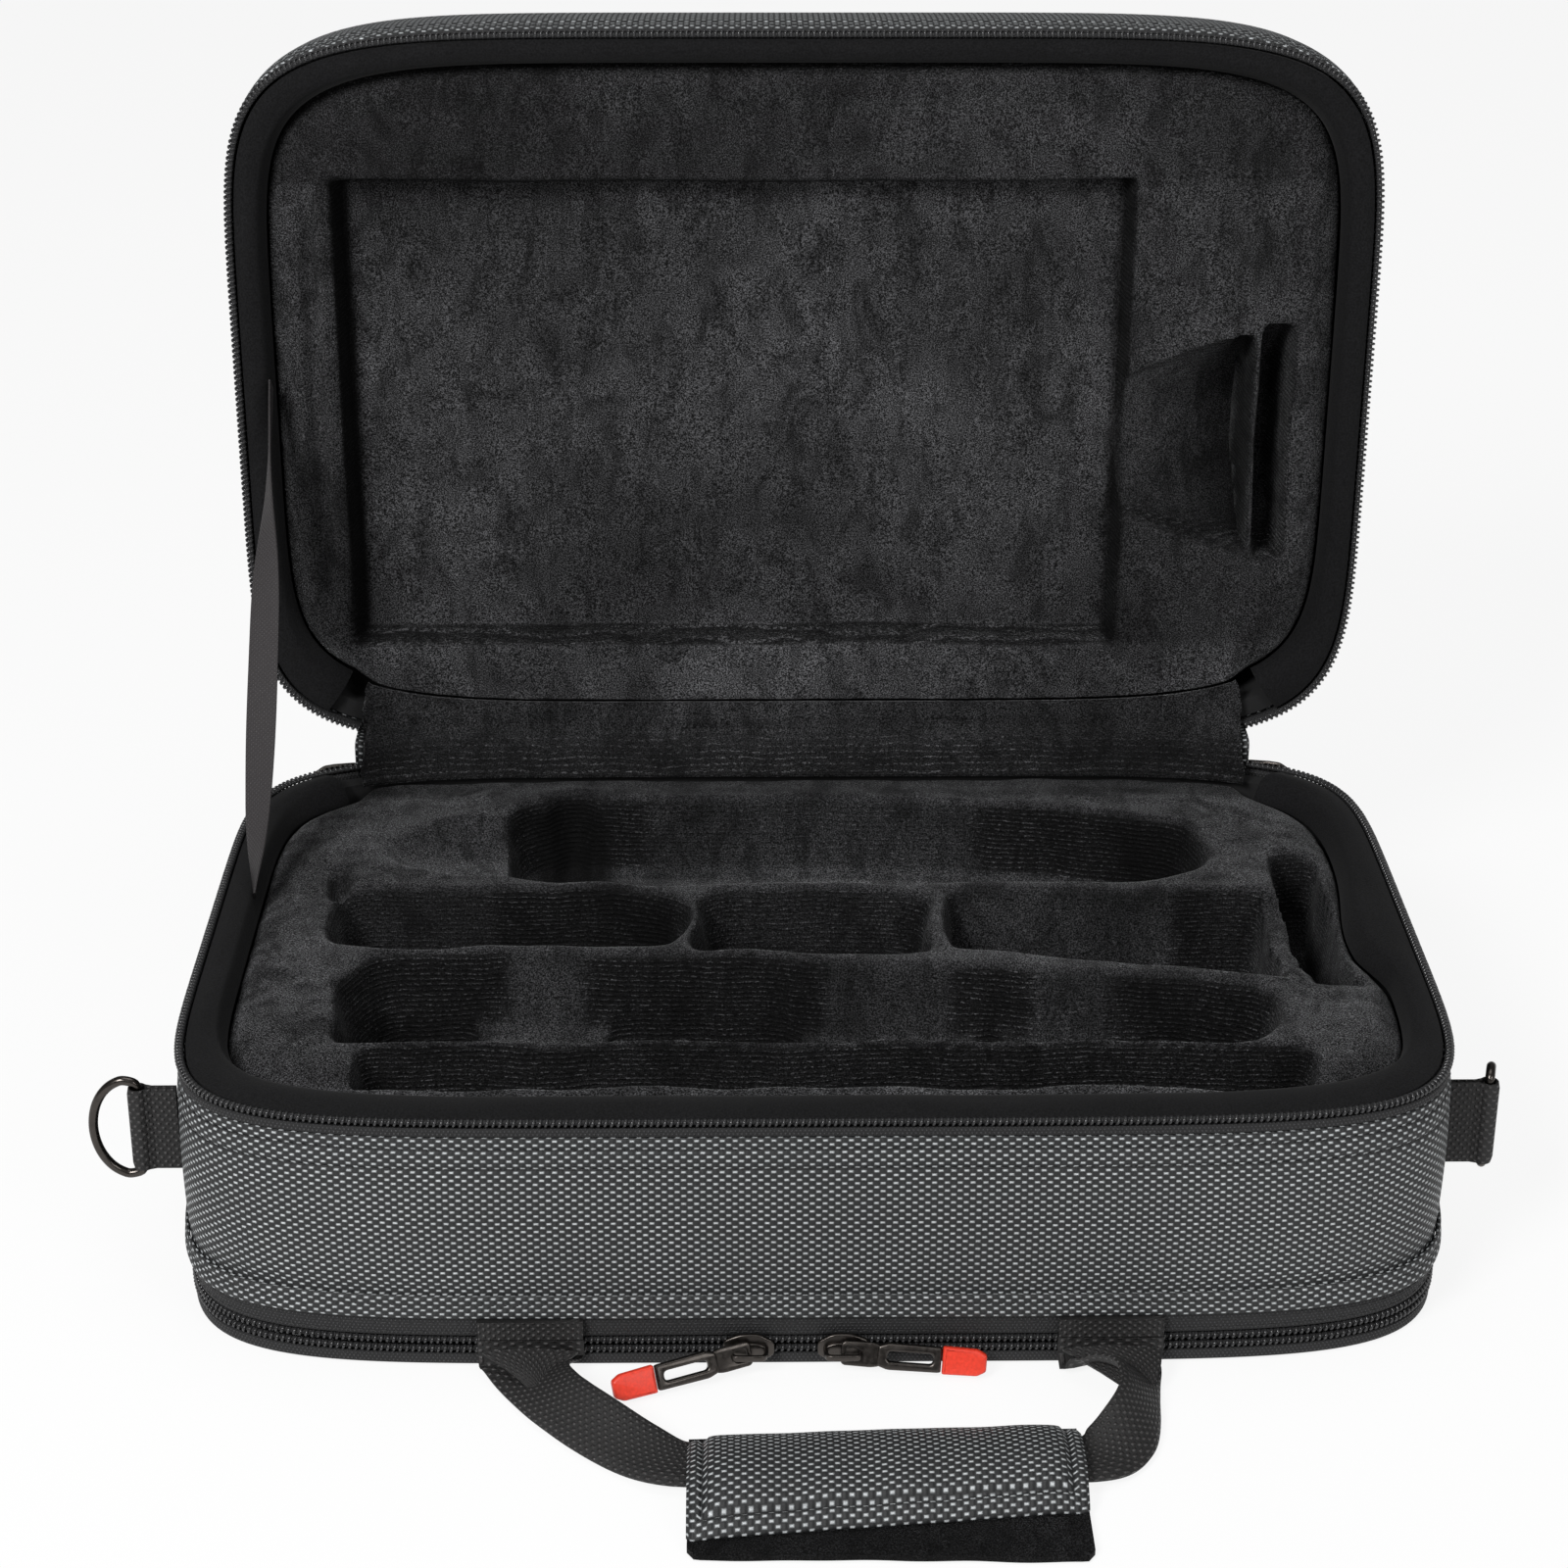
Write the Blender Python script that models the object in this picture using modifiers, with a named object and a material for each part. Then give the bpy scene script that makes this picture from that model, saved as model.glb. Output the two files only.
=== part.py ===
"""Clarinet case: a soft zipped case with moulded plush wells, modelled open.

The case stands on the panel of a zipped pocket under its base. Its front faces -Y and its lid stands
up behind it, turned back on a fabric hinge. Lengths are in metres, +Z is up, and the origin is the
middle of the underside.
"""

import math

import bmesh
import bpy
from mathutils import Matrix, Vector

# Driving sizes
CASE_WIDTH = 0.370
CASE_DEPTH = 0.244
RIM_HEIGHT = 0.081          # underside to the plane where base and lid meet
LID_DEPTH = 0.045
POCKET_DEPTH = 0.017        # underside to the bottom of the base shell
PLAN_POWER = 6.5            # squareness of the rounded plan, a superellipse
PLAN_POINTS = 48
SEAT_GAP = 0.0003           # between pieces that touch
OVERRUN = 0.004             # cutters pass the surface by this
WELD_DISTANCE = 0.00003
SMOOTH_DEGREES = 35         # edges flatter than this are shaded smooth

# Shells
FABRIC = 0.0016
SHELL_INSET = 0.001         # the wall draws in this much at its top and bottom edges
SHELL_EDGE_RADIUS = 0.003
FOAM_WALL = 0.005
FOAM_FLOOR = 0.004
FOAM_CHAMFER = 0.0015
LID_TAPER = 0.0018
LID_EDGE_RADIUS = 0.009
SEAM_FLAP_HEIGHT = 0.0076
SEAM_FLAP_PROUD = 0.0007
SEAM_FLAP_DROP = 0.0001     # the flap's lower edge hangs below the shell by this

# Zips
CHAIN_HEIGHT = 0.0025
CHAIN_WIDTH = 0.0028
CHAIN_INSET = 0.0002
TAPE_THICKNESS = 0.0014
TAPE_INSET = 0.0009
POCKET_TAPE_HEIGHT = 0.0034
POCKET_TAPE_RISE = 0.0009   # lower edge of the pocket's lower tape above the floor
ZIP_SPLIT_GAP = 0.0004      # between the two rows of the pocket's chain
RIM_ZIP_HEIGHT = 0.006      # tape and chain together, on the base and on the lid
HINGE_END_MARGIN = 0.033    # from the side of the case to the end of the hinge, where the zips stop
HINGE_LENGTH = CASE_WIDTH - 2 * HINGE_END_MARGIN
RUN_STEPS = 40
BACK_STEPS = 8

# Pocket panel
PANEL_THICKNESS = 0.003
PANEL_CHAMFER = 0.0013
PANEL_CHAMFER_HEIGHT = 0.0012

# Lid hinge
HINGE_STANDOFF = 0.0012     # the axis lies behind the wall
HINGE_RISE = 0.0002
LID_OPEN_DEGREES = 90
HINGE_PANEL_DROP = 0.018
HINGE_PANEL_THICKNESS = 0.001
FLAP_THICKNESS = 0.0012
FLAP_END_GAP = 0.004        # the flap stops short of the zips

# Base insert
INSERT_SIDE_BORDER = 0.0135     # from the side of the case to the plush face
INSERT_FRONT_BORDER = 0.017
INSERT_WIDTH = CASE_WIDTH - 2 * INSERT_SIDE_BORDER
INSERT_DEPTH = CASE_DEPTH - 2 * INSERT_FRONT_BORDER
INSERT_OFFSET = 0.004       # the insert sits behind the middle of the case
INSERT_RECESS = 0.004       # plush top below the rim
INSERT_SHOULDER = 0.0054    # depth of the step that the edge band covers
INSERT_SHOULDER_SLOPE = 0.0076
INSERT_EDGE_RADIUS = 0.0035
WELL_LIP = 0.0022
WELL_POINTS = 24

# Edge band
BAND_THICKNESS = 0.0014
BAND_CREST_THICKNESS = 0.0021
BAND_TOP_DROP = 0.0005
BAND_CREST_DROP = 0.002
BAND_SHOULDER_DROP = 0.0074
BAND_FIT = 0.0004

# Lid insert
LID_INSERT_SIDE_BORDER = 0.013
LID_INSERT_FRONT_BORDER = 0.01425
LID_INSERT_WIDTH = CASE_WIDTH - 2 * LID_INSERT_SIDE_BORDER
LID_INSERT_DEPTH = CASE_DEPTH - 2 * LID_INSERT_FRONT_BORDER
LID_INSERT_OFFSET = -0.002
LID_RECESS_DEPTH = 0.013
LID_RECESS_DRAFT = 0.0018
LID_WELL_POINTS = 32

# Bell wells, in the base and in the lid
BELL_NECK_RADIUS = 0.023
BELL_FLARE_RADIUS = 0.041
BELL_RIM_RADIUS = 0.043
BELL_OFFSET = 0.010
BELL_BACK_WALL = 0.0235
BELL_SEGMENTS = 32
LID_BELL_OFFSET = 0.015
LID_BELL_NECK_RADIUS = 0.018
LID_BELL_RADIUS = 0.039
LID_BELL_LIFT = 0.010       # its axis lies outside the lid's plush face

# Handle
HANDLE_SPAN = 0.164
HANDLE_OFFSET = 0.001
HANDLE_REACH = 0.051
WEBBING_WIDTH = 0.030
WEBBING_FOLDED_WIDTH = 0.018
WEBBING_THICKNESS = 0.001
WEBBING_FOLDED_THICKNESS = 0.0026
ROOT_THICKNESS = 0.0022
ROOT_CLEARANCE = 0.00065    # room for the webbing to turn under its root
FLOOR_LIFT = 0.0004         # loose pieces lie this far above the floor plane
GRIP_END_MARGIN = 0.0285     # the wrap is this much shorter than the span at each end
GRIP_LENGTH = HANDLE_SPAN - 2 * GRIP_END_MARGIN
GRIP_OFFSET = 0.0172
GRIP_HEIGHT = 0.013
GRIP_DEPTH_LEFT = 0.045
GRIP_DEPTH_RIGHT = 0.038
GRIP_BACK_LEFT = 0.037      # from the front wall to the back of the wrap, at its left end
GRIP_BACK_RIGHT = 0.033
LINING_THICKNESS = 0.0022
LINING_SHOW_LEFT = 0.005    # lining past the front edge of the wrap
LINING_SHOW_RIGHT = 0.018

# Rings on the ends
RING_WIRE = 0.0028
RING_HEIGHT = 0.0312
RING_REACH = 0.0136
RING_Y = -0.075
RING_Z = 0.052
RING_STEPS = 14
TAB_HEIGHT = 0.0265
TAB_REACH = 0.0112
TAB_WEBBING = 0.0013
TAB_SPLIT = 0.0004
TAB_EYE_CLEARANCE = 0.0004
TAB_EYE_STEPS = 8
TAB_EYE_HALF_DEGREES = 140
TAB_THROAT_SHARE = 1.6      # where the legs close, in eye radii from the bar
RIGHT_RING_TURN_DEGREES = 75

# Stay ribbon
STAY_WIDTH = 0.010
STAY_THICKNESS = 0.0008
STAY_BASE_Y = 0.019
STAY_LID_REACH = 0.130
STAY_EDGE_OFFSET = 0.0015
STAY_SINK = 0.0018          # middle of each end below the rim plane
STAY_SAG = 0.004
STAY_STEPS = 32

# Sliders and pulls
SLIDER_LENGTH = 0.0145
SLIDER_HEIGHT = 0.0092
SLIDER_PLATE = 0.0014
SLIDER_RUN_GAP = 0.0004
CROWN_LENGTH = 0.0106
CROWN_RISE = 0.005
CROWN_BAR = 0.0012
CROWN_WIDTH = 0.0018
CROWN_SINK = 0.0003
PULL_LENGTH = 0.0277
PULL_WIDTH = 0.0078
PULL_THICKNESS = 0.0014
PULL_TIP_LENGTH = 0.0125
PULL_TIP_THICKNESS = 0.0026
LEFT_SLIDER_SHARE = 0.125   # of the handle's span, left of its middle
SLIDER_SPREAD = 0.0267      # between the two pocket sliders
LEFT_SLIDER_X = HANDLE_OFFSET - LEFT_SLIDER_SHARE * HANDLE_SPAN
RIGHT_SLIDER_X = LEFT_SLIDER_X + SLIDER_SPREAD
LEFT_PULL_DEGREES = (20, 3.5)     # heading off the wall, droop
RIGHT_PULL_DEGREES = (3, 3.5)
MAIN_PULL_DEGREES = (6, 8)
PULL_RAISED_DEGREES = 20          # how far a pocket pull points up when it stands straight out
MAIN_PULL_RAISED_DEGREES = 0

# Places of the wells, as shares of the insert's half width, half depth and height:
# left, right, front, back, depth, squareness
WELL_SHARES = {
    "upper_joint": (-0.583, 0.752, 0.257, 0.781, 0.46, 4.5),
    "upper_joint_finger": (-0.53, -0.37, 0.245, 0.90, 0.70, 3.0),
    "upper_joint_scoop": (-0.78, -0.52, 0.34, 0.70, 0.20, 3.0),
    "upper_joint_key": (0.30, 0.425, 0.262, 0.73, 0.62, 4.0),
    "upper_joint_end": (0.50, 0.745, 0.262, 0.77, 0.62, 4.0),
    "mouthpiece": (-0.857, -0.233, -0.133, 0.195, 0.64, 6.0),
    "barrel": (-0.204, 0.216, -0.180, 0.200, 0.64, 6.0),
    "lower_joint": (-0.834, 0.800, -0.690, -0.325, 0.46, 7.0),
    "lower_joint_left": (-0.80, -0.565, -0.685, -0.33, 0.62, 4.0),
    "lower_joint_middle": (-0.385, 0.018, -0.685, -0.33, 0.62, 4.0),
    "lower_joint_key": (0.262, 0.362, -0.685, -0.33, 0.62, 4.0),
    "lower_joint_right": (0.542, 0.790, -0.685, -0.33, 0.66, 4.0),
    "accessory": (-0.775, 0.828, -0.935, -0.735, 0.50, 7.0),
    "accessory_end": (0.760, 0.832, -0.930, -0.738, 0.66, 3.0),
}
# How a well narrows towards its floor: height share, inset share of the half depth
WELL_PROFILE_SHARES = ((0.0, 0.42), (0.06, 0.22), (0.22, 0.08), (0.55, 0.02))
# Bell wells along the insert's half width: neck, flare, slot start, slot end
BELL_SHARES = (0.245, 0.805, 0.857, 0.939)
LID_BELL_SHARES = (0.63, 0.845, 0.872, 0.924)
# Lid recess: left, right, front, back, squareness
LID_RECESS_SHARES = (-0.875, 0.610, -0.657, 0.810, 18.0)

# Route of the webbing from root to grip, as shares of the handle's span and reach, then its roll in
# degrees with the inner edge up, and how far it is folded together
STRAP_LEFT_SHARES = (
    (-0.497, 0.075, 0, 0.15), (-0.487, 0.225, 18, 0.8), (-0.450, 0.455, 32, 1.0),
    (-0.392, 0.665, 32, 1.0), (-0.314, 0.860, 18, 1.0), (-0.250, 0.975, 4, 1.0),
)
STRAP_RIGHT_SHARES = (
    (0.440, 0.960, 4, 1.0), (0.482, 0.880, 22, 1.0), (0.515, 0.740, 42, 1.0),
    (0.533, 0.560, 52, 1.0), (0.534, 0.370, 48, 0.9), (0.522, 0.210, 30, 0.6), (0.506, 0.080, 0, 0.15),
)
STRAP_ROOT_SHARES = (0.0, 0.35, 0.68)     # heights of the upright stretch below the axis
# Section of the wrap: across from its back edge, up from the floor
GRIP_SECTION_SHARES = (
    (1.00, 0.24), (1.01, 0.42), (0.96, 0.70), (0.76, 0.92), (0.45, 1.00), (0.20, 0.93), (0.04, 0.68),
    (0.00, 0.36), (0.01, 0.04), (0.07, 0.04), (0.07, 0.40), (0.13, 0.50), (0.78, 0.50), (0.84, 0.24),
)
GRIP_CROWN_SHARES = ((0.0, 1.0), (0.12, 1.03), (0.88, 1.03), (1.0, 1.0))
# Outline of a pull, along it and across it, half
PULL_OUTLINE_SHARES = (
    (-0.025, 0.74), (-0.01, 0.90), (0.28, 0.92), (0.36, 0.80), (0.46, 1.00), (0.97, 0.94), (1.0, 0.90),
)
PULL_EYE_SHARES = (0.026, 0.27, 0.60)
PULL_SLOT_SHARES = (0.42, 0.92, 0.44)
TIP_OUTLINE_SHARES = ((0.0, 0.90), (0.03, 1.0), (0.86, 0.96), (0.96, 0.84), (1.0, 0.60))
# Twist of the stay ribbon along its length, in degrees away from the side wall
STAY_TWIST_DEGREES = ((0.0, 0), (0.12, 50), (0.35, 78), (0.62, 70), (0.80, 14), (1.0, 0))
# The plush flap's bend between the lid's end and the base's end
FLAP_BEND_SHARES = ((0.0, 0.0), (0.03, 0.25), (0.14, 0.50), (0.45, 0.70), (0.72, 0.87), (1.0, 1.0))

# Heights worked out from the sizes above
LOWER_TAPE_TOP = POCKET_TAPE_RISE + POCKET_TAPE_HEIGHT
LOWER_CHAIN_BOTTOM = LOWER_TAPE_TOP + SEAT_GAP
LOWER_CHAIN_TOP = LOWER_CHAIN_BOTTOM + CHAIN_HEIGHT
UPPER_CHAIN_BOTTOM = LOWER_CHAIN_TOP + ZIP_SPLIT_GAP
UPPER_CHAIN_TOP = UPPER_CHAIN_BOTTOM + CHAIN_HEIGHT
UPPER_TAPE_BOTTOM = UPPER_CHAIN_TOP + SEAT_GAP
UPPER_TAPE_TOP = POCKET_DEPTH - SEAT_GAP
SHELL_TOP = RIM_HEIGHT - RIM_ZIP_HEIGHT
BASE_CHAIN_TOP = RIM_HEIGHT - SEAT_GAP / 2
FOAM_INSET = SHELL_INSET + FABRIC + 2 * SEAT_GAP
FOAM_INNER_INSET = FOAM_INSET + FOAM_WALL
BAND_INSET = CHAIN_INSET + CHAIN_WIDTH + SEAT_GAP
BAND_SEAT = RIM_HEIGHT - BAND_CREST_DROP - BAND_CREST_THICKNESS
INSERT_TOP = RIM_HEIGHT - INSERT_RECESS
TRAY_FLOOR_BOTTOM = POCKET_DEPTH + FABRIC + SEAT_GAP
TRAY_FLOOR_TOP = TRAY_FLOOR_BOTTOM + FOAM_FLOOR
HINGE_POINT = Vector((0, CASE_DEPTH / 2 + HINGE_STANDOFF, RIM_HEIGHT + HINGE_RISE))
PANEL_HINGE_POINT = Vector((0, CASE_DEPTH / 2 - TAPE_INSET / 2, PANEL_THICKNESS))
FRONT_WALL = -CASE_DEPTH / 2
HANDLE_POINT = Vector((HANDLE_OFFSET, FRONT_WALL - TAPE_INSET, UPPER_TAPE_BOTTOM))


def clear_scene():
    """Remove whatever the scene holds."""
    for thing in list(bpy.data.objects):
        bpy.data.objects.remove(thing, do_unlink=True)


def new_collection(name):
    """A collection linked under the scene."""
    collection = bpy.data.collections.new(name)
    bpy.context.scene.collection.children.link(collection)
    return collection


def new_material(name, colour, roughness, metallic=0.0):
    """A Principled material of one colour."""
    material = bpy.data.materials.new(name)
    material.use_nodes = True
    shader = material.node_tree.nodes["Principled BSDF"]
    shader.inputs["Base Color"].default_value = (*colour, 1.0)
    shader.inputs["Roughness"].default_value = roughness
    shader.inputs["Metallic"].default_value = metallic
    return material


clear_scene()
PARTS = new_collection("clarinet_case")
CUTTERS = new_collection("cutters")

GREY_WEAVE = (0.085, 0.09, 0.095)
PLUSH_BLACK = (0.012, 0.012, 0.013)
TAPE_BLACK = (0.015, 0.015, 0.016)
COIL_BLACK = (0.028, 0.028, 0.03)
FOAM_GREY = (0.05, 0.05, 0.055)
GUNMETAL = (0.06, 0.06, 0.065)
TIP_RED = (0.80, 0.055, 0.03)


def to_mesh(bm, name):
    """A mesh with its faces pointing out, shaded smooth except at its edges."""
    bmesh.ops.recalc_face_normals(bm, faces=bm.faces)
    mesh = bpy.data.meshes.new(name)
    bm.to_mesh(mesh)
    bm.free()
    mesh.shade_smooth()
    mesh.set_sharp_from_angle(angle=math.radians(SMOOTH_DEGREES))
    return mesh


def add_part(name, mesh, look, origin=None, parent=None):
    """Link a piece whose mesh is in case coordinates, with its origin moved to a point."""
    colour, roughness, metallic = look
    part = bpy.data.objects.new(name, mesh)
    part.data.materials.clear()
    part.data.materials.append(new_material(name, colour, roughness, metallic))
    origin = origin or Vector((0, 0, 0))
    mesh.transform(Matrix.Translation(-origin))
    part.location = origin if parent is None else Vector((0, 0, 0))
    part.parent = parent
    PARTS.objects.link(part)
    return part


def add_cutter(name, mesh, origin=None, parent=None):
    """Link a tool for a Boolean, hidden from the render."""
    cutter = bpy.data.objects.new(name, mesh)
    mesh.transform(Matrix.Translation(-(origin or Vector((0, 0, 0)))))
    cutter.parent = parent
    cutter.hide_render = True
    cutter.display_type = "WIRE"
    CUTTERS.objects.link(cutter)
    return cutter


def cut(part, cutters):
    """Take each cutter out of a part."""
    for cutter in cutters:
        boolean = part.modifiers.new(cutter.name, "BOOLEAN")
        boolean.operation = "DIFFERENCE"
        boolean.solver = "EXACT"
        boolean.object = cutter


def signed_power(value, power):
    """A power that keeps the sign of its base."""
    return math.copysign(abs(value) ** power, value)


def plan_point(angle, width, depth, centre, z, power=PLAN_POWER):
    """The point of a superellipse at an angle, 90 degrees at the back."""
    x = centre[0] + width / 2 * signed_power(math.cos(angle), 2 / power)
    y = centre[1] + depth / 2 * signed_power(math.sin(angle), 2 / power)
    return Vector((x, y, z))


def ring_angles():
    """Angles once round the plan."""
    return [2 * math.pi * i / PLAN_POINTS for i in range(PLAN_POINTS)]


def hinge_end_angle(length, width):
    """Angle at which a plan of a given width reaches the right end of the hinge."""
    return math.acos((length / width) ** (PLAN_POWER / 2))


def front_run(width=CASE_WIDTH):
    """Angles from the left end of the hinge round the front to its right end."""
    end = hinge_end_angle(HINGE_LENGTH, width)
    start = math.pi - end
    sweep = math.pi + 2 * end
    return [start + sweep * i / RUN_STEPS for i in range(RUN_STEPS + 1)]


def back_run(end_gap):
    """Angles along the hinge, from right to left, short of both ends by a small gap."""
    start = hinge_end_angle(HINGE_LENGTH - 2 * end_gap, CASE_WIDTH)
    sweep = math.pi - 2 * start
    return [start + sweep * i / BACK_STEPS for i in range(BACK_STEPS + 1)]


def case_loop(inset, z):
    """Plan of the case drawn in by an inset, at a height."""
    return (CASE_WIDTH - 2 * inset, CASE_DEPTH - 2 * inset, (0, 0), z)


def insert_loop(inset, z):
    """Plan of the base insert's plush, at a height."""
    return (INSERT_WIDTH - 2 * inset, INSERT_DEPTH - 2 * inset, (0, INSERT_OFFSET), z)


def lid_insert_loop(inset, z):
    """Plan of the lid insert's plush, at a height over the base."""
    return (LID_INSERT_WIDTH - 2 * inset, LID_INSERT_DEPTH - 2 * inset, (0, LID_INSERT_OFFSET), z)


def loft(name, sections, cyclic=False, caps=(True, True), twisted=False):
    """Skin a row of loops that have the same number of points, with flat triangles where they twist."""
    bm = bmesh.new()
    rows = [[bm.verts.new(point) for point in section] for section in sections]
    pairs = list(zip(rows, rows[1:]))
    if cyclic:
        pairs.append((rows[-1], rows[0]))
    count = len(rows[0])
    for low, high in pairs:
        for i in range(count):
            k = (i + 1) % count
            if not twisted:
                bm.faces.new((low[i], low[k], high[k], high[i]))
            elif i < count / 2:
                bm.faces.new((low[i], low[k], high[k]))
                bm.faces.new((low[i], high[k], high[i]))
            else:
                bm.faces.new((low[i], low[k], high[i]))
                bm.faces.new((low[k], high[k], high[i]))
    if not cyclic and caps[0]:
        bm.faces.new(list(reversed(rows[0])))
    if not cyclic and caps[1]:
        bm.faces.new(rows[-1])
    return to_mesh(bm, name)


def stacked(name, loops, caps=(True, True)):
    """A piece made of plan loops one after the other."""
    rings = [[plan_point(angle, *loop) for angle in ring_angles()] for loop in loops]
    return loft(name, rings, caps=caps)


def swept(name, loops, angles, cyclic=False):
    """A piece whose section's corners each follow a plan loop."""
    sections = [[plan_point(angle, *loop) for loop in loops] for angle in angles]
    return loft(name, sections, cyclic=cyclic)


def box_section(outer_inset, inner_inset, low, high):
    """The corner loops of an upright rectangular strip."""
    return (case_loop(outer_inset, low), case_loop(inner_inset, low),
            case_loop(inner_inset, high), case_loop(outer_inset, high))


def add_solidify(part, thickness):
    """Give an open surface its wall, inwards."""
    wall = part.modifiers.new("wall", "SOLIDIFY")
    wall.thickness = thickness
    wall.offset = -1
    wall.use_even_offset = True
    return wall


def edge_arc(inset, z, radius, steps, outward):
    """Loops of a rounded edge between a wall and a flat end, outward +1 up and -1 down."""
    loops = []
    for i in range(steps + 1):
        angle = math.pi / 2 * i / steps
        loops.append((inset + radius * (1 - math.cos(angle)), z + outward * radius * (math.sin(angle) - 1)))
    return loops


# Looks: colour, roughness, metallic
LOOK_WEAVE = (GREY_WEAVE, 0.75, 0.0)
LOOK_PLUSH = (PLUSH_BLACK, 0.95, 0.0)
LOOK_TAPE = (TAPE_BLACK, 0.85, 0.0)
LOOK_COIL = (COIL_BLACK, 0.45, 0.0)
LOOK_FOAM = (FOAM_GREY, 0.9, 0.0)
LOOK_METAL = (GUNMETAL, 0.35, 1.0)
LOOK_RED = (TIP_RED, 0.45, 0.0)


def make_pocket_zip():
    """Tapes and rows of the zip that runs round the pocket."""
    run = front_run()
    tape_inner = TAPE_INSET + TAPE_THICKNESS
    chain_inner = CHAIN_INSET + CHAIN_WIDTH
    upper_tape = box_section(TAPE_INSET, tape_inner, UPPER_TAPE_BOTTOM, UPPER_TAPE_TOP)
    upper_chain = box_section(CHAIN_INSET, chain_inner, UPPER_CHAIN_BOTTOM, UPPER_CHAIN_TOP)
    lower_chain = box_section(CHAIN_INSET, chain_inner, LOWER_CHAIN_BOTTOM, LOWER_CHAIN_TOP)
    lower_tape = box_section(TAPE_INSET, tape_inner, POCKET_TAPE_RISE, LOWER_TAPE_TOP)
    add_part("pocket_upper_tape", swept("pocket_upper_tape", upper_tape, run), LOOK_TAPE)
    add_part("pocket_upper_chain", swept("pocket_upper_chain", upper_chain, run), LOOK_COIL)
    for name, section, look in (("pocket_lower_chain", lower_chain, LOOK_COIL),
                                ("pocket_lower_tape", lower_tape, LOOK_TAPE)):
        add_part(name, swept(name, section, run), look, origin=PANEL_HINGE_POINT)


def make_pocket_panel():
    """The stiffened panel that the case stands on, hinged along its back edge."""
    side = TAPE_INSET + TAPE_THICKNESS + SEAT_GAP
    loops = (
        case_loop(side + PANEL_CHAMFER, 0),
        case_loop(side, PANEL_CHAMFER_HEIGHT),
        case_loop(side, PANEL_THICKNESS),
    )
    add_part("pocket_panel", stacked("pocket_panel", loops), LOOK_WEAVE, origin=PANEL_HINGE_POINT)
    wall = box_section(TAPE_INSET, TAPE_INSET + TAPE_THICKNESS, PANEL_THICKNESS + SEAT_GAP, UPPER_TAPE_TOP)
    add_part("pocket_back_wall", swept("pocket_back_wall", wall, back_run(SEAT_GAP)), LOOK_WEAVE)


def make_base_shell():
    """The woven outer shell of the base, its foam tray and the piped flap over the seam."""
    low_arc = edge_arc(SHELL_INSET, POCKET_DEPTH, SHELL_EDGE_RADIUS, 2, -1)
    loops = [case_loop(inset, z) for inset, z in reversed(low_arc)]
    loops.append(case_loop(0, (POCKET_DEPTH + SHELL_TOP) / 2))
    loops.append(case_loop(SHELL_INSET, SHELL_TOP))
    shell = add_part("base_fabric_shell", stacked("base_fabric_shell", loops, caps=(True, False)), LOOK_WEAVE)
    add_solidify(shell, FABRIC)

    tray = (
        case_loop(FOAM_INSET + FOAM_CHAMFER, TRAY_FLOOR_BOTTOM),
        case_loop(FOAM_INSET, TRAY_FLOOR_BOTTOM + FOAM_CHAMFER),
        case_loop(FOAM_INSET, BAND_SEAT - SEAT_GAP),
        case_loop(FOAM_INNER_INSET, BAND_SEAT - SEAT_GAP),
        case_loop(FOAM_INNER_INSET, TRAY_FLOOR_TOP),
    )
    add_part("base_foam_tray", stacked("base_foam_tray", tray), LOOK_FOAM)

    inner = SHELL_INSET - 2 * SEAT_GAP
    low = POCKET_DEPTH - SEAM_FLAP_DROP
    flap = (
        case_loop(inner, low), case_loop(-SEAM_FLAP_PROUD, low),
        case_loop(-SEAM_FLAP_PROUD, low + SEAM_FLAP_HEIGHT / 2),
        case_loop(-SEAM_FLAP_PROUD / 2, low + SEAM_FLAP_HEIGHT),
        case_loop(inner - SEAT_GAP, low + SEAM_FLAP_HEIGHT),
    )
    add_part("base_seam_flap", swept("base_seam_flap", flap, ring_angles(), cyclic=True), LOOK_WEAVE)


def make_rim_zip(name, bottom, top, chain_low, origin=None, parent=None):
    """Tape and chain round one rim, with the chain below or above the tape."""
    if chain_low:
        chain = (bottom, bottom + CHAIN_HEIGHT)
        tape = (chain[1] + SEAT_GAP, top - SEAT_GAP)
    else:
        chain = (top - CHAIN_HEIGHT, top)
        tape = (bottom + SEAT_GAP, chain[0] - SEAT_GAP)
    tape_section = box_section(TAPE_INSET, TAPE_INSET + TAPE_THICKNESS, *tape)
    chain_section = box_section(CHAIN_INSET, CHAIN_INSET + CHAIN_WIDTH, *chain)
    add_part(name + "_zip_tape", swept(name + "_zip_tape", tape_section, front_run()), LOOK_TAPE, origin, parent)
    add_part(name + "_zip_chain", swept(name + "_zip_chain", chain_section, front_run()), LOOK_COIL,
             origin, parent)


def band_section(sign, edge_loop):
    """Section of the edge band: from the chain's inner side over a crest down to the plush."""
    crest = BAND_INSET + FOAM_WALL
    top = RIM_HEIGHT - sign * BAND_TOP_DROP
    crest_z = RIM_HEIGHT - sign * BAND_CREST_DROP
    seat = RIM_HEIGHT - sign * (BAND_CREST_DROP + BAND_CREST_THICKNESS)
    foot = RIM_HEIGHT - sign * BAND_SHOULDER_DROP
    return (
        case_loop(BAND_INSET, top), case_loop(crest, crest_z), edge_loop(-BAND_FIT, foot),
        edge_loop(-BAND_FIT, foot - sign * BAND_THICKNESS), case_loop(crest, seat), case_loop(BAND_INSET, seat),
    )


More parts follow.
